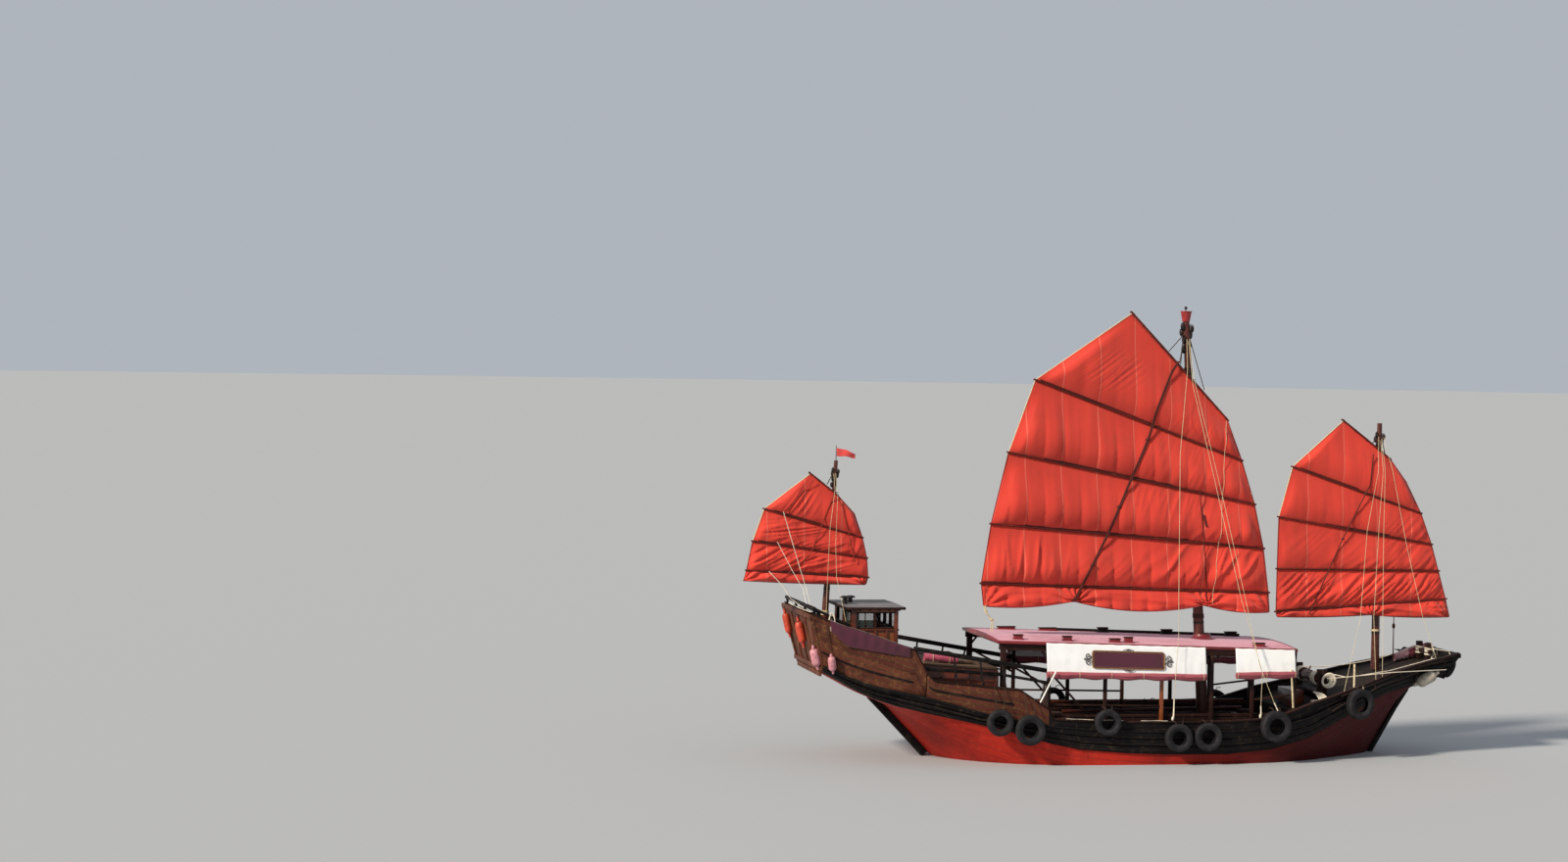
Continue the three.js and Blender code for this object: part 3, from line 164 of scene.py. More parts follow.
world = bpy.data.worlds.new("pale_studio")
world.use_nodes = True
sky = world.node_tree.nodes["Background"]
sky.inputs["Color"].default_value = linear("#DCE3EC")
sky.inputs["Strength"].default_value = 0.60
bpy.context.scene.world = world

SUN_FROM = Vector((-0.82, -0.41, 0.60))
sun_light = bpy.data.lights.new("sun", "SUN")
sun_light.energy = 4.5
sun_light.angle = math.radians(7)
sun_light.color = linear("#FFF3E2")[:3]
sun = bpy.data.objects.new("sun", sun_light)
sun.matrix_world = SUN_FROM.to_track_quat("Z", "Y").to_matrix().to_4x4()
bpy.context.scene.collection.objects.link(sun)
bpy.context.scene.view_settings.view_transform = "Standard"
print("floor, sky and sun are in place")

# %% [markdown]
# ## The hull's lines
# A junk's side runs in long sweeping lines: the edge of the red bottom, the top of the black
# wale and the rail. Planks, rubbing strakes, tyres and ropes all follow them, so the lines
# are kept as one table, a row for each station along the ship, and read between its rows.
# The transom and the bow board lean outwards, and the stations near them lean too.

# %% Station table and readers
STATION_COLUMNS = ("x", "boot_y", "boot_z", "wale_y", "wale_z", "rail_y", "rail_z", "deck_z")
STATIONS = [
    (-8.52, 1.500, 2.360, 1.760, 2.520, 1.980, 3.860, 2.600),
    (-8.00, 1.600, 2.060, 1.840, 2.250, 2.030, 3.540, 2.500),
    (-7.50, 1.680, 1.820, 1.920, 2.070, 2.080, 3.370, 2.400),
    (-7.20, 1.720, 1.680, 1.970, 1.990, 2.120, 3.270, 2.340),
    (-6.60, 1.860, 1.500, 2.080, 1.870, 2.200, 3.070, 2.220),
    (-6.26, 1.950, 1.420, 2.130, 1.800, 2.240, 2.970, 2.160),
    (-5.96, 2.010, 1.350, 2.180, 1.740, 2.270, 2.390, 2.100),
    (-5.94, 2.014, 1.345, 2.182, 1.736, 2.272, 2.340, 1.800),
    (-5.75, 2.050, 1.310, 2.205, 1.690, 2.290, 2.180, 1.750),
    (-5.40, 2.110, 1.240, 2.250, 1.600, 2.320, 2.140, 1.660),
    (-4.70, 2.210, 1.100, 2.330, 1.410, 2.380, 2.070, 1.470),
    (-4.00, 2.290, 0.950, 2.400, 1.240, 2.430, 2.000, 1.300),
    (-3.55, 2.320, 0.820, 2.430, 1.140, 2.450, 1.960, 1.200),
    (-2.76, 2.365, 0.600, 2.465, 1.030, 2.480, 1.450, 1.090),
    (-2.62, 2.370, 0.565, 2.470, 1.012, 2.485, 1.190, 1.075),
    (-1.90, 2.390, 0.420, 2.485, 0.950, 2.500, 1.150, 1.010),
    (-0.60, 2.400, 0.310, 2.490, 0.880, 2.505, 1.110, 0.940),
    (0.70, 2.400, 0.270, 2.490, 0.860, 2.505, 1.095, 0.920),
    (2.10, 2.375, 0.265, 2.470, 0.865, 2.490, 1.110, 0.925),
    (3.30, 2.270, 0.360, 2.400, 0.930, 2.425, 1.160, 0.985),
    (4.40, 2.030, 0.620, 2.200, 1.150, 2.260, 1.520, 1.210),
    (5.20, 1.750, 0.950, 1.960, 1.460, 2.050, 1.730, 1.540),
    (5.90, 1.460, 1.250, 1.720, 1.730, 1.840, 1.920, 1.800),
    (6.50, 1.160, 1.500, 1.470, 1.940, 1.620, 2.090, 2.005),
    (7.00, 0.900, 1.660, 1.270, 2.090, 1.450, 2.240, 2.155),
    (7.50, 0.670, 1.760, 1.080, 2.210, 1.270, 2.360, 2.275),
    (8.00, 0.470, 1.830, 0.900, 2.310, 1.100, 2.480, 2.375),
    (8.35, 0.440, 1.930, 0.800, 2.380, 0.990, 2.560, 2.440),
    (8.72, 0.450, 2.100, 0.700, 2.440, 0.880, 2.700, 2.505),
]
STERN_X, STERN_Z, STERN_RAKE = -8.52, 2.36, 0.236
BOW_X, BOW_Z, BOW_RAKE = 8.72, 2.03, 0.45
RAKE_RUN = 0.72
WALE_PROUD = 0.07
SIDES = {"starboard": -1, "port": 1}


def mix(a, b, share):
    return a + (b - a) * share


def station(x):
    """The hull's lines at any place along the ship."""
    rows = STATIONS
    i = next((k for k, row in enumerate(rows) if row[0] >= x), len(rows) - 1)
    low, high = rows[max(i - 1, 0)], rows[max(i, 1)]
    share = (x - low[0]) / (high[0] - low[0])
    return dict(zip(STATION_COLUMNS, (mix(a, b, share) for a, b in zip(low, high))))


def leaned(x, z):
    """Where a station's point really lies, with the ends leaning out."""
    aft = min(max((STERN_X + RAKE_RUN - x) / RAKE_RUN, 0), 1)
    fore = min(max((x - BOW_X + RAKE_RUN) / RAKE_RUN, 0), 1)
    return x - aft * STERN_RAKE * (z - STERN_Z) + fore * BOW_RAKE * (z - BOW_Z)


def station_under(x, z):
    """The station that a point of the ship belongs to."""
    found = x
    for _ in range(12):
        found += x - leaned(found, z)
    return found


def skin_y(x, z):
    """Half breadth of the planked side at a station and a height above the red bottom."""
    at = station(x)
    if z < at["wale_z"]:
        share = (z - at["boot_z"]) / (at["wale_z"] - at["boot_z"])
        return mix(at["boot_y"], at["wale_y"], share) + WALE_PROUD
    share = (z - at["wale_z"]) / (at["rail_z"] - at["wale_z"])
    return mix(at["wale_y"], at["rail_y"], min(share, 1))


def on_side(side, x, z, proud=0.0):
    return Vector((leaned(x, z), side * (skin_y(x, z) + proud), z))


def places(start, stop):
    """Stations from one end of a piece to the other, both ends included."""
    return [start, *(row[0] for row in STATIONS if start + 0.002 < row[0] < stop - 0.002), stop]


print("rail height amidships:", station(0)["rail_z"], "beam there:", 2 * station(0)["rail_y"])

# %% [markdown]
# ## Tools for shapes
# Timber is made of blocks, beams and poles, and each starts from a cube or a cone that a
# matrix puts in place. A long strake is a small section that is extruded from station to
# station. A rope is a curve with a round section, turned into a mesh. A solid of the frame
# can be copied, its loose triangles merged, and its corners rounded.

# %% Blocks, beams, poles, strakes and ropes
def block(bm, low, high):
    low, high = Vector(low), Vector(high)
    spot = Matrix.Translation((low + high) / 2) @ Matrix.Diagonal((*(high - low), 1))
    return bmesh.ops.create_cube(bm, size=1, matrix=spot)["verts"]


def beam(bm, start, end, width, depth):
    """A bar of rectangular section from point to point, its depth upright."""
    start, end = Vector(start), Vector(end)
    along = (end - start).normalized()
    side = Vector((0, 0, 1)).cross(along)
    side = side.normalized() if side.length > 1e-4 else Vector((0, 1, 0))
    turn = Matrix((along, side, along.cross(side))).transposed().to_4x4()
    size = Matrix.Diagonal(((end - start).length, width, depth, 1))
    spot = Matrix.Translation((start + end) / 2) @ turn @ size
    return bmesh.ops.create_cube(bm, size=1, matrix=spot)["verts"]


def pole(bm, start, end, radius, end_radius=None, sides=14):
    start, end = Vector(start), Vector(end)
    turn = (end - start).to_track_quat("Z", "Y").to_matrix().to_4x4()
    spot = Matrix.Translation((start + end) / 2) @ turn
    tip = radius if end_radius is None else end_radius
    length = (end - start).length
    return bmesh.ops.create_cone(
        bm, cap_ends=True, segments=sides, radius1=radius, radius2=tip, depth=length, matrix=spot
    )["verts"]


def strake(bm, rings):
    """A closed bar: the first ring is a face, extruded through the other rings in turn."""
    face = bm.faces.new([bm.verts.new(point) for point in rings[0]])
    before = rings[0]
    for ring in rings[1:]:
        grown = bmesh.ops.extrude_face_region(bm, geom=[face])["geom"]
        face = next(g for g in grown if isinstance(g, bmesh.types.BMFace))
        for vert in face.verts:
            nearest = min(range(len(ring)), key=lambda k: (vert.co - before[k]).length)
            vert.co = ring[nearest]
        before = ring


def ropes(bm, lines, radius, closed=False, roundness=2):
    """Tubes along lines of points, all of one thickness."""
    curve = bpy.data.curves.new("line", "CURVE")
    curve.dimensions = "3D"
    curve.bevel_depth = radius
    curve.bevel_resolution = roundness
    curve.use_fill_caps = not closed
    for line in lines:
        spline = curve.splines.new("POLY")
        spline.points.add(len(line) - 1)
        spline.use_cyclic_u = closed
        for point, place in zip(spline.points, line):
            point.co = (*place, 1)
    holder = bpy.data.objects.new("line", curve)
    mesh = bpy.data.meshes.new_from_object(holder)
    bm.from_mesh(mesh)
    bpy.data.objects.remove(holder)
    bpy.data.curves.remove(curve)
    bpy.data.meshes.remove(mesh)


def rope(bm, line, radius, closed=False, roundness=2):
    ropes(bm, [line], radius, closed, roundness)


def hang(start, end, sag=0.0, steps=14):
    """Points of a rope between two places that sinks by sag in its middle."""
    start, end = Vector(start), Vector(end)
    return [
        start.lerp(end, k / steps) - Vector((0, 0, 4 * sag * (k / steps) * (1 - k / steps)))
        for k in range(steps + 1)
    ]


def ring_of(centre, across, upward, steps=16):
    """Points of an oval loop about a centre."""
    turns = [2 * math.pi * k / steps for k in range(steps)]
    return [Vector(centre) + math.cos(t) * Vector(across) + math.sin(t) * Vector(upward) for t in turns]


def spun(bm, centre, axis, line, steps, closed=False):
    """A round shape: a line of points turned about an axis; closed joins its two ends."""
    verts = [bm.verts.new(point) for point in line]
    edges = [bm.edges.new(pair) for pair in zip(verts, verts[1:] + verts[: int(closed)])]
    bmesh.ops.spin(
        bm, geom=verts + edges, cent=centre, axis=axis, angle=2 * math.pi, steps=steps, use_merge=True
    )
    bmesh.ops.remove_doubles(bm, verts=bm.verts, dist=1e-5)


def ball(bm, centre, sizes, around=16, rings=10):
    """A round lump with its own half length along each axis."""
    shape = Matrix.Translation(centre) @ Matrix.Diagonal((*sizes, 1))
    bmesh.ops.create_uvsphere(bm, u_segments=around, v_segments=rings, radius=1, matrix=shape)


def oblong(inner, outer, low, high):
    """The four corners of a section, as across and height pairs."""
    return [(inner, low), (outer, low), (outer, high), (inner, high)]


def span(side, near, far):
    """Two distances from the centreline as a low and a high y on a side of the ship."""
    return sorted((side * near, side * far))


def solid_copy(name):
    """A frame solid as a clean bmesh: its triangles are merged and its flat faces joined."""
    bm = bmesh.new()
    bm.from_mesh(nodes[name].data)
    bmesh.ops.remove_doubles(bm, verts=bm.verts, dist=2e-5)
    bmesh.ops.dissolve_limit(
        bm, angle_limit=math.radians(0.5), verts=bm.verts, edges=bm.edges
    )
    return bm


def soften(bm, width, segments, sharper_than):
    """Rounds the sharp edges, as years of hands, ropes and paint do."""
    limit = math.radians(sharper_than)
    sharp = [e for e in bm.edges if len(e.link_faces) == 2 and e.calc_face_angle() > limit]
    bmesh.ops.bevel(
        bm, geom=sharp, offset=width, offset_type="OFFSET", affect="EDGES", segments=segments,
        profile=0.5, material=-1, clamp_overlap=True,
    )


def finish_piece(
    name, bm, material, body="ship", stands_for=(), slot=None, smooth=32, outward=True,
    edge=0, segments=2, sharper_than=30,
):
    """Turns a bmesh into a named piece of the ship, riding on a body; edge rounds its corners."""
    if edge:
        soften(bm, edge, segments, sharper_than)
    if outward:
        bmesh.ops.recalc_face_normals(bm, faces=bm.faces)
    mesh = bpy.data.meshes.new(name)
    bm.to_mesh(mesh)
    bm.free()
    mesh.polygons.foreach_set("use_smooth", [True] * len(mesh.polygons))
    mesh.set_sharp_from_angle(angle=math.radians(smooth))
    mesh.materials.append(material)
    made = bpy.data.objects.new(name, mesh)
    bpy.context.scene.collection.objects.link(made)
    if body:
        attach(made, body)
    if stands_for:
        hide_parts(*stands_for)
    return made


print("tools ready")

# %% [markdown]
# ## Timber finishes
# Everything wooden here is planks: the bottom under red antifouling paint, the wales under
# black paint, oiled brown topsides, worn bare decks and varnished cabin work. A brick
# pattern with long bricks gives boards of real size with their seams and butts, and its two
# colours give each board its own tone. Fine stretched noise is the grain, a wide noise the
# weather stains, and a broken one the places that are worn to a lighter colour. On the
# ship's sides the boards follow the sheer, so there the pattern reads a UV map in metres;
# on flat work it reads two of the object's own axes.

# %% Small steps of a finish
def speckle(tree, vector, scale, detail, roughness):
    inputs = {"Vector": vector, "Scale": scale, "Detail": detail, "Roughness": roughness}
    return add(tree, "TexNoise", inputs).outputs[0]


def ramp(tree, value, low, high, start, stop):
    """Takes a value that runs from low to high to one that runs from start to stop."""
    return add(tree, "MapRange", {0: value, 1: low, 2: high, 3: start, 4: stop}).outputs[0]


def laid_over(tree, share, under, over, how="MIX"):
    inputs = {0: share, 6: under, 7: over}
    return add(tree, "Mix", inputs, data_type="RGBA", blend_type=how).outputs[2]


def reckon(tree, operation, *numbers):
    return add(tree, "Math", dict(enumerate(numbers)), operation=operation).outputs[0]


def join_up(tree, shader, colour, height, strength, distance):
    """Joins a colour and a relief to the shader."""
    tree.links.new(colour, shader.inputs["Base Color"])
    bump = add(tree, "Bump", {"Height": height, "Strength": strength, "Distance": distance})
    tree.links.new(bump.outputs[0], shader.inputs["Normal"])


print("steps: speckle, ramp, laid_over, reckon, join_up")


# %% Timber
def timber(
    name, face, other, seam, worn, plank,
    spread="strakes", wear=0.3, rough=0.6, relief=0.006, coat=0.0, shine=0.35, painted_shade=None,
):
    made, tree, shader = new_material(
        name, **{"Coat Weight": coat, "Coat Roughness": 0.25, "IOR": 1.5, "Specular IOR Level": shine}
    )
    place = add(tree, "TexCoord").outputs
    spot = place["Object"]
    axes = add(tree, "SeparateXYZ", {0: spot}).outputs
    flat = place["UV"]
    if spread != "strakes":
        first, second = (axes["xyz".index(letter)] for letter in spread)
        flat = add(tree, "CombineXYZ", {0: first, 1: second}).outputs[0]
    length, width, gap = plank

    def bricks(mortar, smooth, **colours):
        pattern = {
            "Vector": flat, "Scale": 1, "Mortar Size": mortar, "Mortar Smooth": smooth,
            "Brick Width": length, "Row Height": width, **colours,
        }
        return add(tree, "TexBrick", pattern, offset=0.37).outputs

    boards = bricks(gap, 0.3, Color1=linear(face), Color2=linear(other), Mortar=linear(seam))
    near_seam = bricks(gap * 3.5, 1)[1]
    stretched = add(tree, "Mapping", {"Vector": flat, "Scale": (2.2, 34, 1)}).outputs[0]
    fibres = speckle(tree, stretched, 1, 6, 0.6)
    grained = laid_over(tree, 1, boards[0], ramp(tree, fibres, 0.3, 0.7, 0.7, 1.12), "MULTIPLY")
    damp = ramp(tree, speckle(tree, spot, 0.8, 5, 0.6), 0.46, 0.72, 0, 0.55)
    stained = laid_over(tree, damp, grained, linear(seam))
    broken = speckle(tree, spot, 7, 9, 0.72)
    edge_wear = ramp(tree, reckon(tree, "MULTIPLY", near_seam, broken), 0.35, 0.6, 0, wear * 1.4)
    all_wear = reckon(tree, "MAXIMUM", ramp(tree, broken, 0.54, 0.68, 0, wear), edge_wear)
    colour = laid_over(tree, all_wear, stained, linear(worn))
    # A ramp along the ship darkens the colour towards one end: painted shade.
    if painted_shade:
        start, stop, shade_colour = painted_shade
        colour = laid_over(tree, ramp(tree, axes[0], start, stop, 0, 0.92), colour, linear(shade_colour))
    dull = ramp(tree, broken, 0.3, 0.75, rough - 0.12, rough + 0.2)
    tree.links.new(dull, shader.inputs["Roughness"])
    height = reckon(tree, "SUBTRACT", reckon(tree, "MULTIPLY", fibres, 0.25), boards[1])
    join_up(tree, shader, colour, height, 1, relief)
    return made


# A pattern's seam is twice its gap. Seams on the ship's sides are drawn 12 to 24 mm wide,
# because caulked seams of 5 mm would not show at this distance.
# The bottom's red darkens from midships to the bow: painted shade, for the shade on the bow's flare.
bottom_paint = timber(
    "antifouling_red_on_planks", "#C82F21", "#B3281C", "#56150F", "#D65A42", (4.5, 0.22, 0.006), wear=0.3,
    shine=0.2, painted_shade=(-1.0, 4.0, "#2E0B0D"),
)
wale_paint = timber(
    "black_paint_on_wale_planks", "#110E10", "#181415", "#050404", "#75644F", (5.5, 0.16, 0.009),
    wear=0.2, rough=0.6, relief=0.012, shine=0.15,
)
topside_timber = timber(
    "oiled_brown_topside_planks", "#53281F", "#6A3A29", "#130A08", "#96703F", (5.0, 0.155, 0.012),
    wear=0.42, rough=0.55, relief=0.012, shine=0.2,
)
black_paint = timber(
    "black_paint_on_rails", "#110E10", "#181415", "#050404", "#75644F", (5.5, 0.16, 0.004),
    spread="xz", wear=0.2, rough=0.6, relief=0.003, shine=0.15,
)
dark_deck = timber(
    "near_black_deck_planks", "#1C1412", "#251A16", "#0B0706", "#66523F", (5.5, 0.14, 0.007),
    spread="xy", rough=0.75, relief=0.004, shine=0.15,
)
deck_timber = timber(
    "worn_deck_planks", "#5C4535", "#6C523E", "#150F0C", "#8F7860", (5.5, 0.14, 0.007),
    spread="xy", rough=0.75, relief=0.004,
)
beam_timber = timber(
    "dark_weathered_beams", "#24100C", "#301610", "#0F0806", "#6A4433", (9.0, 0.6, 0.002),
    spread="xz", wear=0.3, rough=0.6, relief=0.003, shine=0.2,
)
cabin_varnish = timber(
    "varnished_hardwood_panels", "#55200F", "#6B2C16", "#1A0A06", "#A8612F", (1.1, 0.19, 0.006),
    spread="xz", wear=0.25, rough=0.36, relief=0.004, coat=0.35,
)
cross_varnish = timber(
    "varnished_hardwood_cross_panels", "#5B2415", "#6F2F1A", "#1F0E09", "#A26A3F",
    (1.1, 0.19, 0.006), spread="yz", wear=0.18, rough=0.36, relief=0.004, coat=0.35,
)
house_varnish = timber(
    "honey_varnished_house_boards", "#7C3E18", "#8F4C20", "#2A1208", "#C07A3C", (1.2, 0.12, 0.005),
    spread="xz", wear=0.3, rough=0.34, relief=0.003, coat=0.4,
)
post_varnish = timber(
    "orange_varnished_posts", "#A4552A", "#8A4220", "#3B1C0E", "#C98A55", (3.0, 0.3, 0.002),
    spread="zx", wear=0.2, rough=0.35, relief=0.002, coat=0.4,
)
mast_timber = timber(
    "oiled_mast_pole", "#5A261A", "#481C14", "#1D0C08", "#8E5A3E", (7.0, 0.5, 0.002),
    spread="zx", wear=0.25, rough=0.45, relief=0.004, coat=0.2,
)
batten_timber = timber(
    "dark_red_batten_poles", "#66190F", "#4E120B", "#1E0806", "#A3452C", (8.0, 0.4, 0.002),
    spread="xz", wear=0.25, rough=0.5, relief=0.002,
)
roof_paint = timber(
    "faded_mauve_paint_on_roof_boards", "#E0ACBB", "#D59DAD", "#B0757F", "#EBCBCD",
    (2.4, 0.62, 0.006), spread="xy", wear=0.4, rough=0.7, relief=0.003,
)
maroon_paint = timber(
    "maroon_gloss_paint", "#84262A", "#722026", "#2E0D10", "#B8625A", (3.5, 0.5, 0.003),
    spread="xz", wear=0.25, rough=0.4, relief=0.002, coat=0.2,
)
grey_roof = timber(
    "grey_brown_paint_on_wheelhouse_roof", "#7C797C", "#6C686B", "#3C3531", "#ABA197", (1.6, 0.4, 0.005),
    spread="xy", wear=0.3, rough=0.6, relief=0.003,
)
print("timber finishes:", len(bpy.data.materials))

# %% [markdown]
# ## Cloth, rope, rubber and metal
# The sails are sewn from upright cloths about a metre wide: each cloth takes the dye a
# little differently, and the double seam between two cloths is painted a lighter colour, a
# painted highlight where it catches the light. The weave itself is finer than a pixel, so it
# is drawn a few times too coarse. Rope, rubber, foam and metal are plain materials whose
# grime comes from noise.

# %% Cloth
def cloth(name, bright, deep, seam_every=None, rough=0.85, sheen=0.25, weave=0.012, soil=0.3):
    made, tree, shader = new_material(
        name, **{"Roughness": rough, "Sheen Weight": sheen, "Sheen Roughness": 0.5, "IOR": 1.46}
    )
    place = add(tree, "TexCoord").outputs["Object"]
    tone = ramp(tree, speckle(tree, place, 0.45, 4, 0.55), 0.3, 0.7, 0, 1)
    colour = laid_over(tree, tone, linear(bright), linear(deep))
    waves = {"Vector": place, "Scale": 0.314 / weave, "Distortion": 0.4, "Detail": 1}
    threads = [add(tree, "TexWave", waves, bands_direction=way).outputs[1] for way in "XZ"]
    height = reckon(tree, "MULTIPLY", reckon(tree, "ADD", *threads), 0.0006)
    if seam_every:
        across = add(tree, "SeparateXYZ", {0: place}).outputs[0]
        cloths = reckon(tree, "DIVIDE", across, seam_every)
        number = reckon(tree, "FLOOR", cloths)
        dye = add(tree, "TexWhiteNoise", {"W": number}, noise_dimensions="1D").outputs[0]
        colour = laid_over(tree, 1, colour, ramp(tree, dye, 0, 1, 0.9, 1.08), "MULTIPLY")
        off = reckon(tree, "SUBTRACT", reckon(tree, "FRACT", cloths), 0.5)
        seam = ramp(tree, reckon(tree, "ABSOLUTE", off), 0.478, 0.494, 0, 1)
        # The lighter colour along each seam is a painted highlight.
        colour = laid_over(tree, reckon(tree, "MULTIPLY", seam, 0.28), colour, linear("#E9967F"))
        height = reckon(tree, "ADD", height, reckon(tree, "MULTIPLY", seam, 0.004))
    spots = ramp(tree, speckle(tree, place, 2.6, 8, 0.68), 0.52, 0.78, 0, soil)
    colour = laid_over(tree, spots, colour, linear("#5B3A2C"))
    join_up(tree, shader, colour, height, 0.6, 1)
    return made


sail_cloth = cloth("dyed_red_sailcloth", "#D93C2A", "#C43020", seam_every=0.98, soil=0.2)
flag_cloth = cloth("red_bunting", "#E2504B", "#CF3F3C", soil=0.05)
white_canvas = cloth("white_painted_canvas", "#F4F6F8", "#E9E9E6", soil=0.14, weave=0.01)
maroon_canvas = cloth("maroon_waterproof_canvas", "#511730", "#3B1022", soil=0.15, weave=0.01)
blind_canvas = cloth("faded_maroon_blind_canvas", "#A6505A", "#8A3C48", soil=0.15, weave=0.01)
print("cloths:", sail_cloth.name, flag_cloth.name, white_canvas.name, maroon_canvas.name)


# %% Rope, rubber, foam, metal and glass
def grimy(name, clean, dirty, scale=14, dirt=(0.45, 0.7), relief=0.002, **surface):
    """One colour with a second one where dirt, dust or wear gathers."""
    made, tree, shader = new_material(name, **surface)
    speck = speckle(tree, add(tree, "TexCoord").outputs["Object"], scale, 8, 0.65)
    colour = laid_over(tree, ramp(tree, speck, *dirt, 0, 1), linear(clean), linear(dirty))
    join_up(tree, shader, colour, speck, 1, relief)
    return made


white_rope = grimy("laid_cotton_rope", "#D6C6A2", "#9C8963", scale=40, Roughness=0.9)
pale_rope = grimy("bleached_mooring_rope", "#E9E1CF", "#B9A98A", scale=40, Roughness=0.9)
tarred_rope = grimy("tarred_hemp_rope", "#3A241C", "#1C1210", scale=40, Roughness=0.85)
strap_rope = grimy("dark_red_strap_rope", "#571711", "#280B08", scale=30, Roughness=0.85)
red_rope = grimy("red_bolt_rope", "#8A2A1E", "#5B1A14", scale=30, Roughness=0.85)
tyre_rubber = grimy(
    "old_tyre_rubber", "#18171A", "#363436", scale=5, dirt=(0.48, 0.8),
    **{"Roughness": 0.75, "Specular IOR Level": 0.3},
)
orange_foam = grimy("orange_vinyl_fender", "#CC4A30", "#8A3023", scale=6, Roughness=0.45)
pink_foam = grimy("faded_pink_fender", "#C98A92", "#8E5560", scale=8, Roughness=0.6)
grey_foam = grimy("grey_inflated_fender", "#B5AC9C", "#6F675B", scale=5, Roughness=0.5)
dark_iron = grimy("painted_black_iron", "#1E1C1C", "#4A3A30", scale=12, Metallic=0.5, Roughness=0.5)
red_plastic = grimy("red_moulded_plastic", "#9E2A2C", "#6E1C1E", scale=9, Roughness=0.4)
white_box = grimy("white_gelcoat", "#E8E6E0", "#A39F96", scale=4, Roughness=0.35)
cream_paint = grimy("cream_painted_poles", "#D9C8A6", "#9C8A68", scale=9, Roughness=0.6)
gold_paint = grimy("dull_gold_paint", "#C9A05C", "#8A6A38", scale=25, Metallic=0.6, Roughness=0.45)
bronze = grimy("cast_bronze", "#9A7440", "#4F5A45", scale=9, Metallic=1.0, Roughness=0.42)
window_glass, _, _ = new_material(
    "tinted_window_glass",
    **{
        "Base Color": linear("#3A4642"), "Roughness": 0.06, "IOR": 1.5, "Alpha": 0.35,
        "Specular IOR Level": 0.6,
    },
)
print("materials:", len(bpy.data.materials))

# %% [markdown]
# ## The planked hull
# The frame's hull solid has the right lines already, so it is copied and dressed: the
# outside gets its plank map and red antifouling paint, and the faces that look into the
# open well keep dark timber. The bulwarks are planked in the same way from the rail down.
# The wale is what a Hong Kong junk wears as a belt: three heavy half-rounded timbers laid
# over the seams, each extruded from station to station, with a worn capping strake on top.

# %% Bottom, bulwarks and well
def map_planks(made, where):
    """Gives a piece its plank map in metres; where turns a point into a place on the map."""
    layer = made.data.uv_layers.new(name="planks")
    for loop in made.data.loops:
        layer.data[loop.index].uv = where(made.data.vertices[loop.vertex_index].co)


def lay_planks(made, line):
    """The map of a side: along the ship, and down the side from one of its lines."""
    def where(spot):
        place = station_under(spot.x, spot.z)
        at = station(place)
        return place, math.hypot(abs(spot.y) - at[line + "_y"], spot.z - at[line + "_z"])

    map_planks(made, where)


def over_boot_line(spot):
    return spot.z > station(station_under(spot.x, spot.z))["boot_z"] - 0.03


hull = finish_piece(
    "hull_planking", solid_copy("hull"), bottom_paint, stands_for=("hull",), slot="bottom_paint",
    smooth=28,
)
hull.data.materials.append(beam_timber)
hull.data.materials.append(wale_paint)
for face in hull.data.polygons:
    inside_well = face.normal.y * face.center.y < -0.1 or abs(face.normal.x) > 0.95
    if face.normal.z > 0.7 or (inside_well and face.center.z > 0.2 and abs(face.center.x) < 5):
        face.material_index = 1
    elif all(over_boot_line(hull.data.vertices[corner].co) for corner in face.vertices):
        face.material_index = 2
lay_planks(hull, "boot")

# From the quarter forward the topsides are as black as the wales.
BLACK_AHEAD_OF = -2.9
for side_name in SIDES:
    for part in ("poop", "main"):
        solid = f"{part}_bulwark_{side_name}"
        made = finish_piece(
            f"{part}_topside_planking_{side_name}", solid_copy(solid), topside_timber, stands_for=(solid,),
            slot="dark_planking", edge=0.008, segments=1,
        )
        lay_planks(made, "rail")
        made.data.materials.append(wale_paint)
        for face in made.data.polygons:
            face.material_index = int(face.center.x > BLACK_AHEAD_OF)
print("planked:", hull.name, "with", len(hull.data.polygons), "faces")


# %% Wales, rub strakes and cap rails
def run(bm, side, start, stop, section):
    """A strake along the ship; section gives its outline at a station, as y and z pairs."""
    rings = []
    for x in places(start, stop):
        rings.append([Vector((leaned(x, z), side * y, z)) for y, z in section(x, station(x))])
    strake(bm, rings)


WALE_TIMBERS = [(0.0, 0.352, 0.052), (0.350, 0.672, WALE_PROUD), (0.670, 1.0, 0.056)]


def wale_section(low, high, proud):
    def section(_, at):
        rows = [
            (mix(at["boot_y"], at["wale_y"], share), mix(at["boot_z"], at["wale_z"], share))
            for share in (low, high)
        ]
        (low_y, low_z), (high_y, high_z) = rows
        return [
            (low_y + 0.002, low_z), (low_y + proud, low_z + 0.01),
            (high_y + proud, high_z - 0.01), (high_y + 0.002, high_z),
        ]

    return section


def cap_section(at_rail, inward, outward, low, high):
    """A flat timber lying along the rail or the wale's top."""
    def section(_, at):
        y, z = at[at_rail + "_y"], at[at_rail + "_z"]
        return oblong(y - inward, y + outward, z + low, z + high)

    return section


def side_section(share, proud, height):
    """A rub strake part of the way up from the wale's top to the rail."""
    def section(_, at):
        y = mix(at["wale_y"], at["rail_y"], share)
        z = mix(at["wale_z"], at["rail_z"], share)
        return oblong(y - 0.01, y + proud, z - height / 2, z + height / 2)

    return section


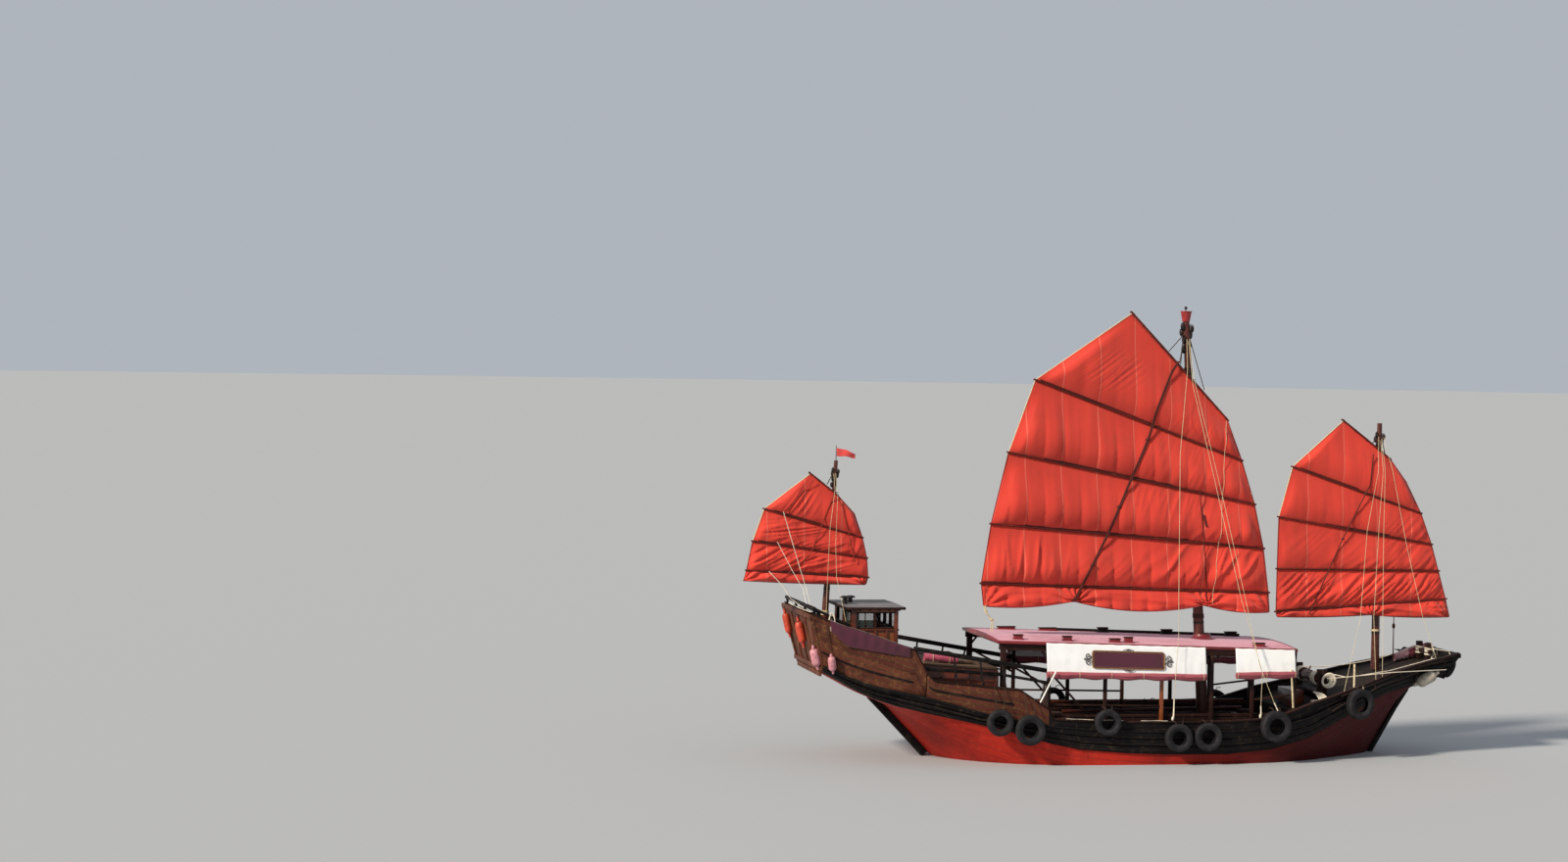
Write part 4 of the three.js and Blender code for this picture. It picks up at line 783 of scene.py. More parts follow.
STERN_END, BOW_END = STATIONS[0][0], STATIONS[-1][0]
POOP_BREAK_X, QUARTER_X = -5.962, -5.94
WALE_RUNS = [(STERN_END, BOW_END, wale_section(*sizes)) for sizes in WALE_TIMBERS]
RUB_RUNS = [
    # start, end, section
    (STERN_END, QUARTER_X, cap_section("wale", -0.012, 0.088, -0.015, 0.055)),
    (QUARTER_X, BOW_END, cap_section("wale", -0.012, 0.080, -0.012, 0.045)),
    (-8.5, -6.3, side_section(0.30, 0.028, 0.05)),
    (4.6, 8.68, side_section(0.5, 0.03, 0.055)),
    (-5.9, -3.7, side_section(0.55, 0.026, 0.05)),
]
CAP_RUNS = [
    (STERN_END, POOP_BREAK_X, cap_section("rail", 0.105, 0.03, 0.001, 0.052)),
    (QUARTER_X, BOW_END, cap_section("rail", 0.105, 0.03, 0.001, 0.047)),
]


def strakes(name, side_name, runs, material, line, **finish):
    """One piece of several strakes, with its planks mapped from one of the hull's lines."""
    bm = bmesh.new()
    for start, stop, section in runs:
        run(bm, SIDES[side_name], start, stop, section)
    lay_planks(finish_piece(f"{name}_{side_name}", bm, material, **finish), line)


for side_name in SIDES:
    strakes(
        "wale_timbers", side_name, WALE_RUNS, wale_paint, "wale", stands_for=(f"wale_{side_name}",),
        slot="tar_paint", edge=0.02, segments=3, sharper_than=40,
    )
    strakes("rub_strakes", side_name, RUB_RUNS, wale_paint, "wale", slot="dark_planking", edge=0.009)
    strakes("cap_rails", side_name, CAP_RUNS, beam_timber, "rail", slot="dark_planking", edge=0.01)
print("wales, rub strakes and cap rails on both sides")

# %% [markdown]
# ## Ends, backbone and rudder
# The transom and the bow board are upright planks with a heavy frame. The keel, stem,
# sternpost and rudder are big baulks whose edges are worn round, copied from the solids.

# %% End boards and backbone
def end_board(name, x, outward, thickness, material, solid):
    """A closing board that leans with its end of the ship, with a frame timber round it."""
    bm = bmesh.new()
    at = station(x)
    half = [(at["boot_y"], at["boot_z"]), (at["wale_y"], at["wale_z"]), (at["rail_y"], at["rail_z"])]
    outline = [(-y, z) for y, z in half] + [(y, z) for y, z in reversed(half)]
    rings = [
        [Vector((leaned(x, z) + outward * step, y, z)) for y, z in outline]
        for step in (0.001, thickness)
    ]
    strake(bm, rings)
    face = outward * (thickness + 0.01)
    for y, z in half:
        ends = [Vector((leaned(x, z) + face, s * (y - 0.04), z - 0.05)) for s in (-1, 1)]
        beam(bm, *ends, 0.06, 0.12)
    posts = 5
    for k in range(posts):
        share = -1 + 2 * k / (posts - 1)
        foot = Vector((leaned(x, half[0][1]) + face, share * (half[0][0] - 0.06), half[0][1]))
        head = Vector((leaned(x, half[2][1]) + face, share * (half[2][0] - 0.06), half[2][1] - 0.02))
        beam(bm, foot, head, 0.09, 0.05)
    made = finish_piece(name, bm, material, stands_for=(solid,), slot="dark_planking", edge=0.01)
    map_planks(made, lambda spot: (spot.z, spot.y))
    return made


END_BOARD = 0.081
end_board("transom_planking", STERN_END, -1, 0.05, topside_timber, "transom")
end_board("bow_planking", BOW_END, 1, 0.05, wale_paint, "bow_board")
BACKBONE = [
    # solid, finish, body
    ("keel", wale_paint, "ship"), ("stem", wale_paint, "ship"),
    ("sternpost", wale_paint, "ship"), ("rudder", bottom_paint, "rudder_blade"),
]
for name, material, body in BACKBONE:
    made = finish_piece(
        f"{name}_timber", solid_copy(name), material, body=body, stands_for=(name,), slot="tar_paint",
        edge=0.012,
    )
    map_planks(made, lambda spot: (spot.x, spot.z + 0.4 * spot.y))
print("end boards and backbone done")


# %% Propeller
# A four-bladed bronze casting: each blade is a flattened ball, thicker at its root and turned
# to its pitch, on a hub that tapers to a cap.
bm = bmesh.new()
HUB_X, HUB_Z = -4.64, -1.01
pole(bm, (-4.302, 0, HUB_Z), (-4.70, 0, HUB_Z), 0.075, 0.068, sides=32)
pole(bm, (-4.70, 0, HUB_Z), (-4.785, 0, HUB_Z), 0.068, 0.022, sides=32)
for k in range(4):
    blade = bmesh.ops.create_uvsphere(
        bm, u_segments=28, v_segments=14, radius=1,
        matrix=Matrix.Translation((HUB_X, 0, HUB_Z))
        @ Matrix.Rotation(k * math.pi / 2, 4, "X")
        @ Matrix.Translation((0, 0, 0.225))
        @ Matrix.Rotation(math.radians(35), 4, "Z")
        @ Matrix.Diagonal((0.016, 0.135, 0.17, 1)),
    )["verts"]
    for vert in blade:
        reach = math.hypot(vert.co.y, vert.co.z - HUB_Z)
        vert.co.x = HUB_X + (vert.co.x - HUB_X) * (1.25 - 1.1 * reach)
finish_piece(
    "bronze_propeller", bm, bronze, body="screw", stands_for=("propeller",), slot="bronze", smooth=50,
)
print("propeller has four blades")

# %% [markdown]
# ## Tyres and fenders
# Old car tyres hang along the wales on short ropes. A tyre is a turned shape: a hollow
# section with beads, bulging sidewalls, shoulders and a grooved tread, spun round its axle.
# The foam fenders are turned too: a fat tube with a narrow collar at each end.

# %% Tyres
TYRE_PROFILE = [
    # radius and half width as shares of the tyre's radius, from the bead round to the tread
    (0.46, 0.150), (0.43, 0.190), (0.50, 0.225), (0.56, 0.232), (0.60, 0.262), (0.66, 0.270),
    (0.72, 0.292), (0.80, 0.290), (0.86, 0.272), (0.885, 0.277), (0.92, 0.258), (0.955, 0.232),
    (0.985, 0.205), (0.992, 0.160), (0.960, 0.150), (0.960, 0.130), (0.998, 0.120),
    (1.000, 0.060), (0.965, 0.050), (0.965, 0.030), (1.000, 0.020),
]
TYRE_HOLLOW = [(0.930, 0.000), (0.900, 0.170), (0.760, 0.235), (0.600, 0.205), (0.500, 0.150)]
TYRE_SPIN = 40
TYRE_WALL = 0.84
WORN = 0.94


def tyre(bm, centre, axle, radius):
    """One tyre, turned about its axle."""
    axle = Vector(axle).normalized()
    turn = axle.to_track_quat("Y", "Z").to_matrix()
    outer = [(r, w) for r, w in TYRE_PROFILE] + [(r, -w) for r, w in reversed(TYRE_PROFILE)]
    inner = [(r, -w) for r, w in reversed(TYRE_HOLLOW)] + [(r, w) for r, w in TYRE_HOLLOW[1:]]
    line = [
        Vector(centre) + turn @ Vector(((1 - (1 - r) * TYRE_WALL) * radius, w * radius, 0))
        for r, w in outer + inner
    ]
    spun(bm, centre, axle, line, TYRE_SPIN, closed=True)


TYRES = [
    # station, height, radius
    (-4.08, 1.15, 0.37), (-3.30, 0.96, 0.42), (-1.24, 1.14, 0.37), (0.67, 0.73, 0.39),
    (1.46, 0.75, 0.39), (3.32, 1.00, 0.44), (5.84, 1.50, 0.43),
]


def tyre_y(x, radius):
    """How far out a tyre's middle hangs, so that it leans on the widest part of the wale."""
    widest = max(station(x + u * radius / 2)["wale_y"] for u in (-1, 0, 1)) + WALE_PROUD
    return widest + radius * 0.3 - 0.006


for side_name, side in SIDES.items():
    bm = bmesh.new()
    for x, z, radius in TYRES:
        y = tyre_y(x, radius)
        ahead_y, astern_y = station(x + radius)["wale_y"], station(x - radius)["wale_y"]
        axle = Vector((0.4 * (astern_y - ahead_y) / radius, side, 0.0))
        tyre(bm, (x, side * y, z), axle, WORN * radius)
    finish_piece(f"tyres_{side_name}", bm, tyre_rubber, slot="tar_paint", smooth=40)

bm = bmesh.new()
BOW_LEAN = math.atan(BOW_RAKE)
for side in (-1, 1):
    face_x = leaned(BOW_END, 2.28) + END_BOARD
    axle = Vector((math.cos(BOW_LEAN), 0, -math.sin(BOW_LEAN)))
    tyre(bm, (face_x + 0.27 * 0.3 - 0.026, side * 0.33, 2.28), axle, 0.27)
finish_piece("bow_tyres", bm, tyre_rubber, slot="tar_paint", smooth=40)
print("tyres:", 2 * len(TYRES) + 2)


# %% Foam fenders
def fender(bm, low, high, radius):
    """A fat fender between its two ends, turned from its outline."""
    low, high = Vector(low), Vector(high)
    along, length = (high - low).normalized(), (high - low).length
    side = along.orthogonal().normalized()
    neck = 0.28 * radius
    collar = neck * 1.2
    outline = [
        (0.0, 0.0), (0.0, neck), (0.07, neck), (0.09, neck * 1.35), (0.12, neck * 1.35), (0.15, collar),
    ]
    bulge = 8
    for k in range(bulge + 1):
        turn = k / bulge * math.pi / 2
        outline.append((0.15 + 0.16 * (1 - math.cos(turn)), collar + (radius - collar) * math.sin(turn)))
    outline += [(1 - share, r) for share, r in reversed(outline)]
    spun(bm, low, along, [low + along * share * length + side * r for share, r in outline], 28)


def on_transom(y, z, off):
    return Vector((leaned(STERN_END, z) - 0.05 - off, y, z))


fender_lines = []
bm = bmesh.new()
for y, z, radius, length in ((1.45, 3.37, 0.095, 0.76), (-0.38, 3.29, 0.11, 0.80)):
    low, high = on_transom(y, z - length / 2, radius), on_transom(y, z + length / 2, radius)
    fender(bm, low, high, radius)
    fender_lines.append([high, on_transom(y, z + length / 2 + 0.12, 0.02), on_transom(y, 3.84, 0.0)])
finish_piece("orange_stern_fenders", bm, orange_foam, smooth=50)

bm = bmesh.new()
low, high = on_transom(-1.66, 2.445, 0.095), on_transom(-1.66, 3.075, 0.095)
fender(bm, low, high, 0.12)
fender_lines.append([high, on_transom(-1.68, 3.3, 0.02), on_transom(-1.72, 3.84, 0.0)])
low, high = on_side(-1, -8.33, 2.36, 0.12), on_side(-1, -8.33, 2.88, 0.11)
fender(bm, low, high, 0.10)
fender_lines.append([high, on_side(-1, -8.33, 3.0, 0.03), on_side(-1, -8.33, 3.6, 0.03)])
finish_piece("pink_stern_fenders", bm, pink_foam, smooth=50)

bm = bmesh.new()
low, high = on_side(-1, 7.80, 1.86, 0.14), on_side(-1, 8.42, 2.22, 0.16)
fender(bm, low, high, 0.16)
fender_lines.append([high, on_side(-1, 8.50, 2.45, 0.05), on_side(-1, 8.52, 2.62, 0.0)])
fender_lines.append([low, on_side(-1, 7.78, 2.2, 0.09), on_side(-1, 7.80, 2.44, 0.03)])
finish_piece("grey_bow_fender", bm, grey_foam, smooth=50)

bm = bmesh.new()
ropes(bm, fender_lines, 0.009)
for side in SIDES.values():
    for x, z, radius in TYRES:
        y = tyre_y(x, radius)
        for step in (-0.14, 0.14):
            top_z = station(x + step)["rail_z"] + 0.05
            low = Vector((x + step * 0.5, side * (y + 0.1 * radius), z + radius * 0.78))
            middle = Vector((x + step * 0.7, side * (y + 0.02), z + radius + 0.02))
            top = Vector(
                (x + step, side * (station(x + step)["rail_y"] + 0.035), max(top_z, z + radius + 0.04))
            )
            rope(bm, [low, middle, top], 0.011)
finish_piece("fender_lanyards", bm, tarred_rope, smooth=60)
print("fenders hang on", len(fender_lines), "lanyards")

# %% [markdown]
# ## Decks and the cabin trunk
# The decks are laid planks: the poop's are worn pale, the others are near black. The cabin
# trunk between the poop and the canopy is varnished joinery: panels framed by rails and
# stiles, under a lid that overhangs. The planks are the finish's pattern and the frame is
# laid on as thin mouldings.

# %% Decks
for name, material in (
    ("poop_deck", deck_timber), ("quarter_deck", dark_deck), ("fore_deck", dark_deck),
    ("waist_deck", dark_deck),
):
    finish_piece(f"{name}_planks", solid_copy(name), material, stands_for=(name,), slot="deck_planking")
print("decks laid")

# %% Cabin trunk
TRUNK_AFT_X, TRUNK_FRONT_X, TRUNK_HALF = -5.92, -3.98, 1.88
TRUNK_AFT_TOP, TRUNK_FRONT_TOP = 2.58, 2.44


def trunk_top(x):
    return mix(TRUNK_AFT_TOP, TRUNK_FRONT_TOP, (x - TRUNK_AFT_X) / (TRUNK_FRONT_X - TRUNK_AFT_X))


finish_piece(
    "cabin_trunk_panels", solid_copy("cabin_trunk"), cabin_varnish, stands_for=("cabin_trunk",),
    slot="varnished_wood", edge=0.012,
)

bm = bmesh.new()
for side in SIDES.values():
    face = side * (TRUNK_HALF + 0.012)
    for drop in (0.075, 0.30):
        ends = [(x, face, trunk_top(x) - drop) for x in (TRUNK_AFT_X + 0.01, TRUNK_FRONT_X - 0.01)]
        beam(bm, *ends, 0.024, 0.07)
    stiles = 6
    for k in range(stiles):
        x = mix(TRUNK_AFT_X + 0.05, TRUNK_FRONT_X - 0.05, k / (stiles - 1))
        foot_z = station(x)["deck_z"] + 0.06
        block(
            bm, (x - 0.035, min(face - 0.012, face + 0.012), foot_z),
            (x + 0.035, max(face - 0.012, face + 0.012), trunk_top(x) - 0.04),
        )
FRONT_STILES = 7
for k in range(FRONT_STILES):
    y = mix(-TRUNK_HALF + 0.05, TRUNK_HALF - 0.05, k / (FRONT_STILES - 1))
    block(bm, (TRUNK_FRONT_X, y - 0.035, 1.37), (TRUNK_FRONT_X + 0.022, y + 0.035, TRUNK_FRONT_TOP - 0.04))
for z in (1.42, 1.9, TRUNK_FRONT_TOP - 0.08):
    block(bm, (TRUNK_FRONT_X, -TRUNK_HALF, z - 0.035), (TRUNK_FRONT_X + 0.02, TRUNK_HALF, z + 0.035))
finish_piece("cabin_trunk_mouldings", bm, cabin_varnish, slot="varnished_wood", edge=0.006)

bm = bmesh.new()
LID = 0.04
ends = [
    (TRUNK_AFT_X + 0.002, 0, TRUNK_AFT_TOP + LID / 2 + 0.001),
    (TRUNK_FRONT_X + 0.05, 0, TRUNK_FRONT_TOP + LID / 2 - 0.003),
]
beam(bm, *ends, 2 * (TRUNK_HALF + 0.05), LID)
HATCH_X = -4.95
for side in SIDES.values():
    near_y, far_y = span(side, 0.45, 1.35)
    lid_z = trunk_top(HATCH_X) + LID
    low, high = (HATCH_X - 0.45, near_y, lid_z), (HATCH_X + 0.45, far_y, lid_z + 0.07)
    block(bm, low, high)
finish_piece("cabin_trunk_lid", bm, deck_timber, slot="varnished_wood", edge=0.012)
print("cabin trunk with its lid at z", TRUNK_FRONT_TOP, "to", TRUNK_AFT_TOP)

# %% [markdown]
# ## Wheelhouse
# A small square house on the poop: plank walls to waist height, then posts with open or
# glazed lights between them, under a thin light roof with a dark edge and two mushroom
# vents. The walls keep the solids' openings, and each light gets a frame round it. The side
# lights are slid open in the photograph, so only the after pane of each side is glazed.

# %% Wheelhouse walls, frames and glass
HOUSE_AFT_X, HOUSE_FRONT_X, HOUSE_HALF, HOUSE_TOP = -7.68, -6.48, 1.10, 3.94
HOUSE_WALL = 0.05
LIGHT_LOW, LIGHT_HIGH = 3.47, 3.84
for wall, material in (
    ("starboard", house_varnish), ("port", house_varnish), ("front", cross_varnish), ("aft", cross_varnish),
):
    solid = f"wheelhouse_wall_{wall}"
    finish_piece(
        f"wheelhouse_{wall}_boards", solid_copy(solid), material, stands_for=(solid,),
        slot="varnished_wood", edge=0.006, segments=1,
    )

SIDE_LIGHTS = [(-7.57, -7.12), (-7.04, -6.57)]
FRONT_LIGHTS = [(-0.96, -0.40), (-0.28, 0.28), (0.40, 0.96)]
AFT_LIGHT = (-0.85, -0.15)
DOORWAY, DOOR_SILL, DOOR_HEAD = (0.132, 0.868), 2.51, 3.878
LINTEL_LOW, LINTEL_HIGH = 3.862, 3.897
FRAME = 0.035
LINING, JAMB, SASH, PANE = 0.034, 0.018, 0.012, 0.003
CLEARANCE = 0.002


def in_wall(bm, axis, middle, half_depth, low, low_z, high, high_z):
    """A block in a wall; axis 1 means the wall faces sideways, 0 means fore and aft."""
    a, b = [0, 0, low_z], [0, 0, high_z]
    a[1 - axis], b[1 - axis] = low, high
    a[axis], b[axis] = middle - half_depth, middle + half_depth
    block(bm, a, b)


def light_frame(bm, low, high, axis, middle):
    """Four bars round a light."""
    for a0, z0, a1, z1 in (
        (low - FRAME, LIGHT_LOW - FRAME, high + FRAME, LIGHT_LOW),
        (low - FRAME, LIGHT_HIGH, high + FRAME, LIGHT_HIGH + FRAME),
        (low - FRAME, LIGHT_LOW, low, LIGHT_HIGH), (high, LIGHT_LOW, high + FRAME, LIGHT_HIGH),
    ):
        in_wall(bm, axis, middle, LINING, a0, z0, a1, z1)


def glaze(bm, low, high, axis, middle):
    """A pane that stands just clear of its frame."""
    in_wall(
        bm, axis, middle, PANE, low + CLEARANCE, LIGHT_LOW + CLEARANCE,
        high - CLEARANCE, LIGHT_HIGH - CLEARANCE,
    )


bm = bmesh.new()
glass = bmesh.new()
for side in SIDES.values():
    middle = side * (HOUSE_HALF - HOUSE_WALL / 2)
    for low, high in SIDE_LIGHTS:
        light_frame(bm, low, high, 1, middle)
    low, high = SIDE_LIGHTS[0]
    glaze(glass, low, high, 1, middle)
    in_wall(bm, 1, middle, SASH, low + 0.22, LIGHT_LOW, low + 0.245, LIGHT_HIGH)
middle = HOUSE_FRONT_X - HOUSE_WALL / 2
for low, high in FRONT_LIGHTS:
    light_frame(bm, low, high, 0, middle)
    glaze(glass, low, high, 0, middle)
middle = HOUSE_AFT_X + HOUSE_WALL / 2
light_frame(bm, *AFT_LIGHT, 0, middle)
glaze(glass, *AFT_LIGHT, 0, middle)
for y in DOORWAY:
    in_wall(bm, 0, middle, LINING, y - JAMB, DOOR_SILL, y + JAMB, DOOR_HEAD)
in_wall(bm, 0, middle, LINING, DOORWAY[0] - JAMB, LINTEL_LOW, DOORWAY[1] + JAMB, LINTEL_HIGH)
finish_piece("wheelhouse_frames", bm, beam_timber, slot="varnished_wood", edge=0.005)
finish_piece("wheelhouse_glass", glass, window_glass)

bm = bmesh.new()
for side in SIDES.values():
    for x in (HOUSE_AFT_X + 0.045, HOUSE_FRONT_X - 0.045):
        block(
            bm, (x - 0.05, side * HOUSE_HALF - 0.05, station(x)["deck_z"] + 0.05),
            (x + 0.05, side * HOUSE_HALF + 0.05, HOUSE_TOP - 0.001),
        )
    low, high = span(side, HOUSE_HALF + 0.002, HOUSE_HALF + 0.04)
    block(bm, (HOUSE_AFT_X, low, 3.385), (HOUSE_FRONT_X, high, 3.435))
    block(bm, (HOUSE_AFT_X, low, 2.9), (HOUSE_FRONT_X, high, 2.96))
    for k in range(1, 4):
        x = mix(HOUSE_AFT_X, HOUSE_FRONT_X, k / 4)
        block(bm, (x - 0.03, low, 2.42), (x + 0.03, high, 3.4))
block(bm, (HOUSE_FRONT_X + 0.002, -HOUSE_HALF, 3.385), (HOUSE_FRONT_X + 0.04, HOUSE_HALF, 3.435))
finish_piece("wheelhouse_corner_posts", bm, cabin_varnish, slot="varnished_wood", edge=0.008)
print("wheelhouse walls, frames, panes and corner posts")


# %% Roof with its vents
# Thin ply on beams under grey paint. The roof solid carries the vents too, so both are made
# again: the roof as a crowned panel with an edge band, the vents as turned mushrooms.
def crowned(bm, ends, crown, lift=0.0, steps=12):
    """A panel with a curved top: each end gives its place, half width, underside and edge height."""
    rings = []
    for x, half, low, high in ends:
        top = [
            (half * (1 - 2 * k / steps), high + lift + crown * (1 - (1 - 2 * k / steps) ** 2))
            for k in range(steps + 1)
        ]
        rings.append([Vector((x, y, z)) for y, z in [(-half, low), (half, low)] + top])
    strake(bm, rings)


def turned(bm, foot, outline, steps=28):
    """A round piece on an upright axis: outline has height and radius pairs."""
    foot = Vector(foot)
    spun(bm, foot, (0, 0, 1), [foot + Vector((r, 0, h)) for h, r in outline], steps)


ROOF_LOW = 3.9404
bm = bmesh.new()
crowned(bm, [(x, 1.22, ROOF_LOW + 0.02, ROOF_LOW + 0.055) for x in (-7.86, -6.32)], 0.03)
finish_piece(
    "wheelhouse_roof_panel", bm, grey_roof, stands_for=("wheelhouse_roof",), slot="maroon_paint",
    edge=0.008,
)
bm = bmesh.new()
for side in SIDES.values():
    low, high = span(side, 1.215, 1.24)
    block(bm, (-7.88, low, ROOF_LOW), (-6.30, high, ROOF_LOW + 0.065))
for x in (-7.88, -6.325):
    block(bm, (x, -1.24, ROOF_LOW), (x + 0.025, 1.24, ROOF_LOW + 0.065))
for k in range(6):
    x = mix(-7.75, -6.45, k / 5)
    block(bm, (x - 0.02, -1.2, ROOF_LOW - 0.03), (x + 0.02, 1.2, ROOF_LOW + 0.021))
finish_piece("wheelhouse_roof_edge", bm, beam_timber, slot="maroon_paint", edge=0.005)
bm = bmesh.new()
for x, y, cap, height in ((-7.72, -0.35, 0.15, 0.15), (-7.48, 0.15, 0.13, 0.12)):
    foot_z = ROOF_LOW + 0.07
    stem = height + 0.08
    outline = [
        (0.0, 0.075), (0.015, 0.075), (0.02, 0.06), (stem - 0.06, 0.06), (stem - 0.06, cap * 0.9),
        (stem - 0.05, cap), (stem - 0.035, cap), (stem - 0.02, cap * 0.85), (stem - 0.004, cap * 0.5),
        (stem, cap * 0.2), (stem, 0.0),
    ]
    turned(bm, (x, y, foot_z), outline)
finish_piece("wheelhouse_vents", bm, dark_iron, smooth=40)
print("wheelhouse roof with two vents")

# %% [markdown]
# ## Helm and poop gear
# The wheel is turned wood: a round rim, a hub with a plain cap, and eight spokes that are
# thick at the hub, waisted at the rim and end in handles. On the poop stand lockers, two
# white boxes and a guard rail across the stern.

# %% Helm
HELM = Vector((-6.76, 0.0, 3.25))
bm = bmesh.new()
RIM_RADIUS, RIM = 0.33, 0.026
rim_section = [
    (RIM_RADIUS + reach, width)
    for reach, width in (
        (-RIM, -0.016), (-RIM, 0.016), (-0.014, RIM), (0.014, RIM),
        (RIM, 0.016), (RIM, -0.016), (0.014, -RIM), (-0.014, -RIM),
    )
]
spun(bm, HELM, (1, 0, 0), [HELM + Vector((w, 0, r)) for r, w in rim_section], 48, closed=True)
SPOKE = [
    # distance from the hub's centre, radius
    (0.05, 0.020), (0.12, 0.024), (0.2, 0.018), (0.29, 0.015), (0.365, 0.018), (0.375, 0.012),
    (0.40, 0.019), (0.43, 0.020), (0.446, 0.012), (0.45, 0.0),
]
for k in range(8):
    along = Matrix.Rotation(k * math.pi / 4, 3, "X") @ Vector((0, 0, 1))
    spun(bm, HELM, along, [HELM + along * reach + Vector((r, 0, 0)) for reach, r in SPOKE], 12)
pole(bm, HELM + Vector((-0.045, 0, 0)), HELM + Vector((0.045, 0, 0)), 0.075, sides=32)
pole(bm, HELM + Vector((-0.05, 0, 0)), HELM + Vector((0.0596, 0, 0)), 0.045, sides=24)
finish_piece(
    "helm_wheel_wood", bm, cabin_varnish, body="steering_wheel", stands_for=("helm_wheel",),
    slot="varnished_wood", smooth=40,
)
finish_piece(
    "helm_stand_wood", solid_copy("helm_stand"), cross_varnish, stands_for=("helm_stand",),
    slot="varnished_wood", edge=0.012,
)
print("helm with 8 spokes")

# %% Poop gear
bm = bmesh.new()
block(bm, (-8.05, -0.95, 2.56), (-7.72, -0.55, 3.30))
block(bm, (-8.52, -1.35, 2.62), (-8.25, -0.85, 3.46))
finish_piece("poop_boxes", bm, white_box, edge=0.02, segments=3)
bm = bmesh.new()
block(bm, (-8.07, -0.97, 3.30), (-7.70, -0.53, 3.34))
block(bm, (-8.10, 1.05, 2.56), (-7.75, 1.75, 3.25))
block(bm, (-6.30, -1.80, 2.24), (-6.05, 1.80, 2.62))
finish_piece("poop_lockers", bm, cabin_varnish, slot="varnished_wood", edge=0.015)
bm = bmesh.new()
RAIL_X, RAIL_TOP = -8.82, 4.03
for y in (-1.78, -0.6, 0.6, 1.78):
    beam(bm, (RAIL_X, y, 3.84), (RAIL_X - 0.03, y, RAIL_TOP), 0.06, 0.06)
beam(bm, (RAIL_X - 0.03, -1.9, RAIL_TOP), (RAIL_X - 0.03, 1.9, RAIL_TOP), 0.07, 0.08)
for side in SIDES.values():
    beam(bm, (RAIL_X - 0.03, side * 1.86, RAIL_TOP), (-7.9, side * 1.93, 3.58), 0.06, 0.07)
finish_piece("stern_guard_rail", bm, black_paint, slot="dark_planking", edge=0.012)
print("boxes and lockers on the poop")

# %% [markdown]
# ## The canopy over the waist
# A long flat awning roof of painted boards shelters the waist. Its edge is a maroon fascia
# with a small lip, its far edge carries a low black coaming, and little hooded vents sit on
# it. Below it are an edge beam on two rows of posts, cross beams, and diagonal braces at
# the after end. One post each side is left in bright orange varnish.

# %% Canopy roof and fascia
CANOPY_AFT, CANOPY_FRONT = -4.0, 4.15


def canopy_share(x):
    return (x - CANOPY_AFT) / (CANOPY_FRONT - CANOPY_AFT)


def canopy_z(x):
    """Height of the roof's edge."""
    return mix(3.20, 2.94, canopy_share(x))


def canopy_half(x):
    return mix(1.95, 1.85, canopy_share(x))


CROWN = 0.07
FASCIA, FASCIA_DEEP = 0.03, 0.07
bm = bmesh.new()
ends = []
for x in (CANOPY_AFT + FASCIA, CANOPY_FRONT - FASCIA):
    ends.append((x, canopy_half(x) - FASCIA, canopy_z(x) - 0.045, canopy_z(x) - 0.006))
crowned(bm, ends, CROWN - 0.01, steps=16)
roof = finish_piece("canopy_boards", bm, roof_paint, stands_for=("canopy_roof",), slot="roof_paint")


def keep_modified(made, modifier):
    """Keeps what a modifier shows as plain geometry and takes the modifier off."""
    shown = made.evaluated_get(bpy.context.evaluated_depsgraph_get())
    kept = bpy.data.meshes.new_from_object(shown)
    made.modifiers.remove(modifier)
    before = made.data
    made.data = kept
    bpy.data.meshes.remove(before)


def carve(made, bm):
    """Cuts the shape in bm out of a finished piece."""
    tool_mesh = bpy.data.meshes.new("tool")
    bm.to_mesh(tool_mesh)
    bm.free()
    tool = bpy.data.objects.new("tool", tool_mesh)
    bpy.context.scene.collection.objects.link(tool)
    cut = made.modifiers.new("cut", "BOOLEAN")
    cut.operation, cut.solver, cut.object = "DIFFERENCE", "EXACT", tool
    keep_modified(made, cut)
    bpy.data.objects.remove(tool)
    bpy.data.meshes.remove(tool_mesh)


# The mast stands in a hole in the boards.
bm = bmesh.new()
pole(bm, (2.135, 0, 2.6), (2.085, 0, 3.5), 0.176, sides=32)
carve(roof, bm)
roof.data.set_sharp_from_angle(angle=math.radians(32))

bm = bmesh.new()
for side in SIDES.values():
    rings = []
    for x in (CANOPY_AFT, CANOPY_FRONT):
        y, z = canopy_half(x), canopy_z(x)
        profile = [
            (y - FASCIA, z - FASCIA_DEEP), (y, z - FASCIA_DEEP), (y, z - 0.012), (y - 0.012, z),
            (y - FASCIA - 0.03, z + 0.006), (y - FASCIA, z - 0.02),
        ]
        rings.append([Vector((x, side * py, pz)) for py, pz in profile])
    strake(bm, rings)
for x, inward in ((CANOPY_AFT, 1), (CANOPY_FRONT, -1)):
    rings = []
    steps = 16
    for k in range(steps + 1):
        y = canopy_half(x) * (1 - 2 * k / steps)
        top = canopy_z(x) + CROWN * (1 - (1 - 2 * k / steps) ** 2)
        low = canopy_z(x) - FASCIA_DEEP
        rings.append([Vector((px, y, pz)) for px, pz in oblong(x, x + inward * FASCIA, low, top)])
    strake(bm, rings)
finish_piece("canopy_fascia", bm, maroon_paint, slot="maroon_paint", edge=0.006)

bm = bmesh.new()
rings = []
for x in (-1.7, CANOPY_FRONT - 0.4):
    y, z = canopy_half(x), canopy_z(x)
    rings.append([Vector((x, *corner)) for corner in oblong(y - 0.09, y - 0.035, z, z + 0.07)])
strake(bm, rings)
finish_piece("canopy_far_coaming", bm, black_paint, slot="tar_paint", edge=0.006)
print("canopy from z", canopy_z(CANOPY_AFT), "to", canopy_z(CANOPY_FRONT))

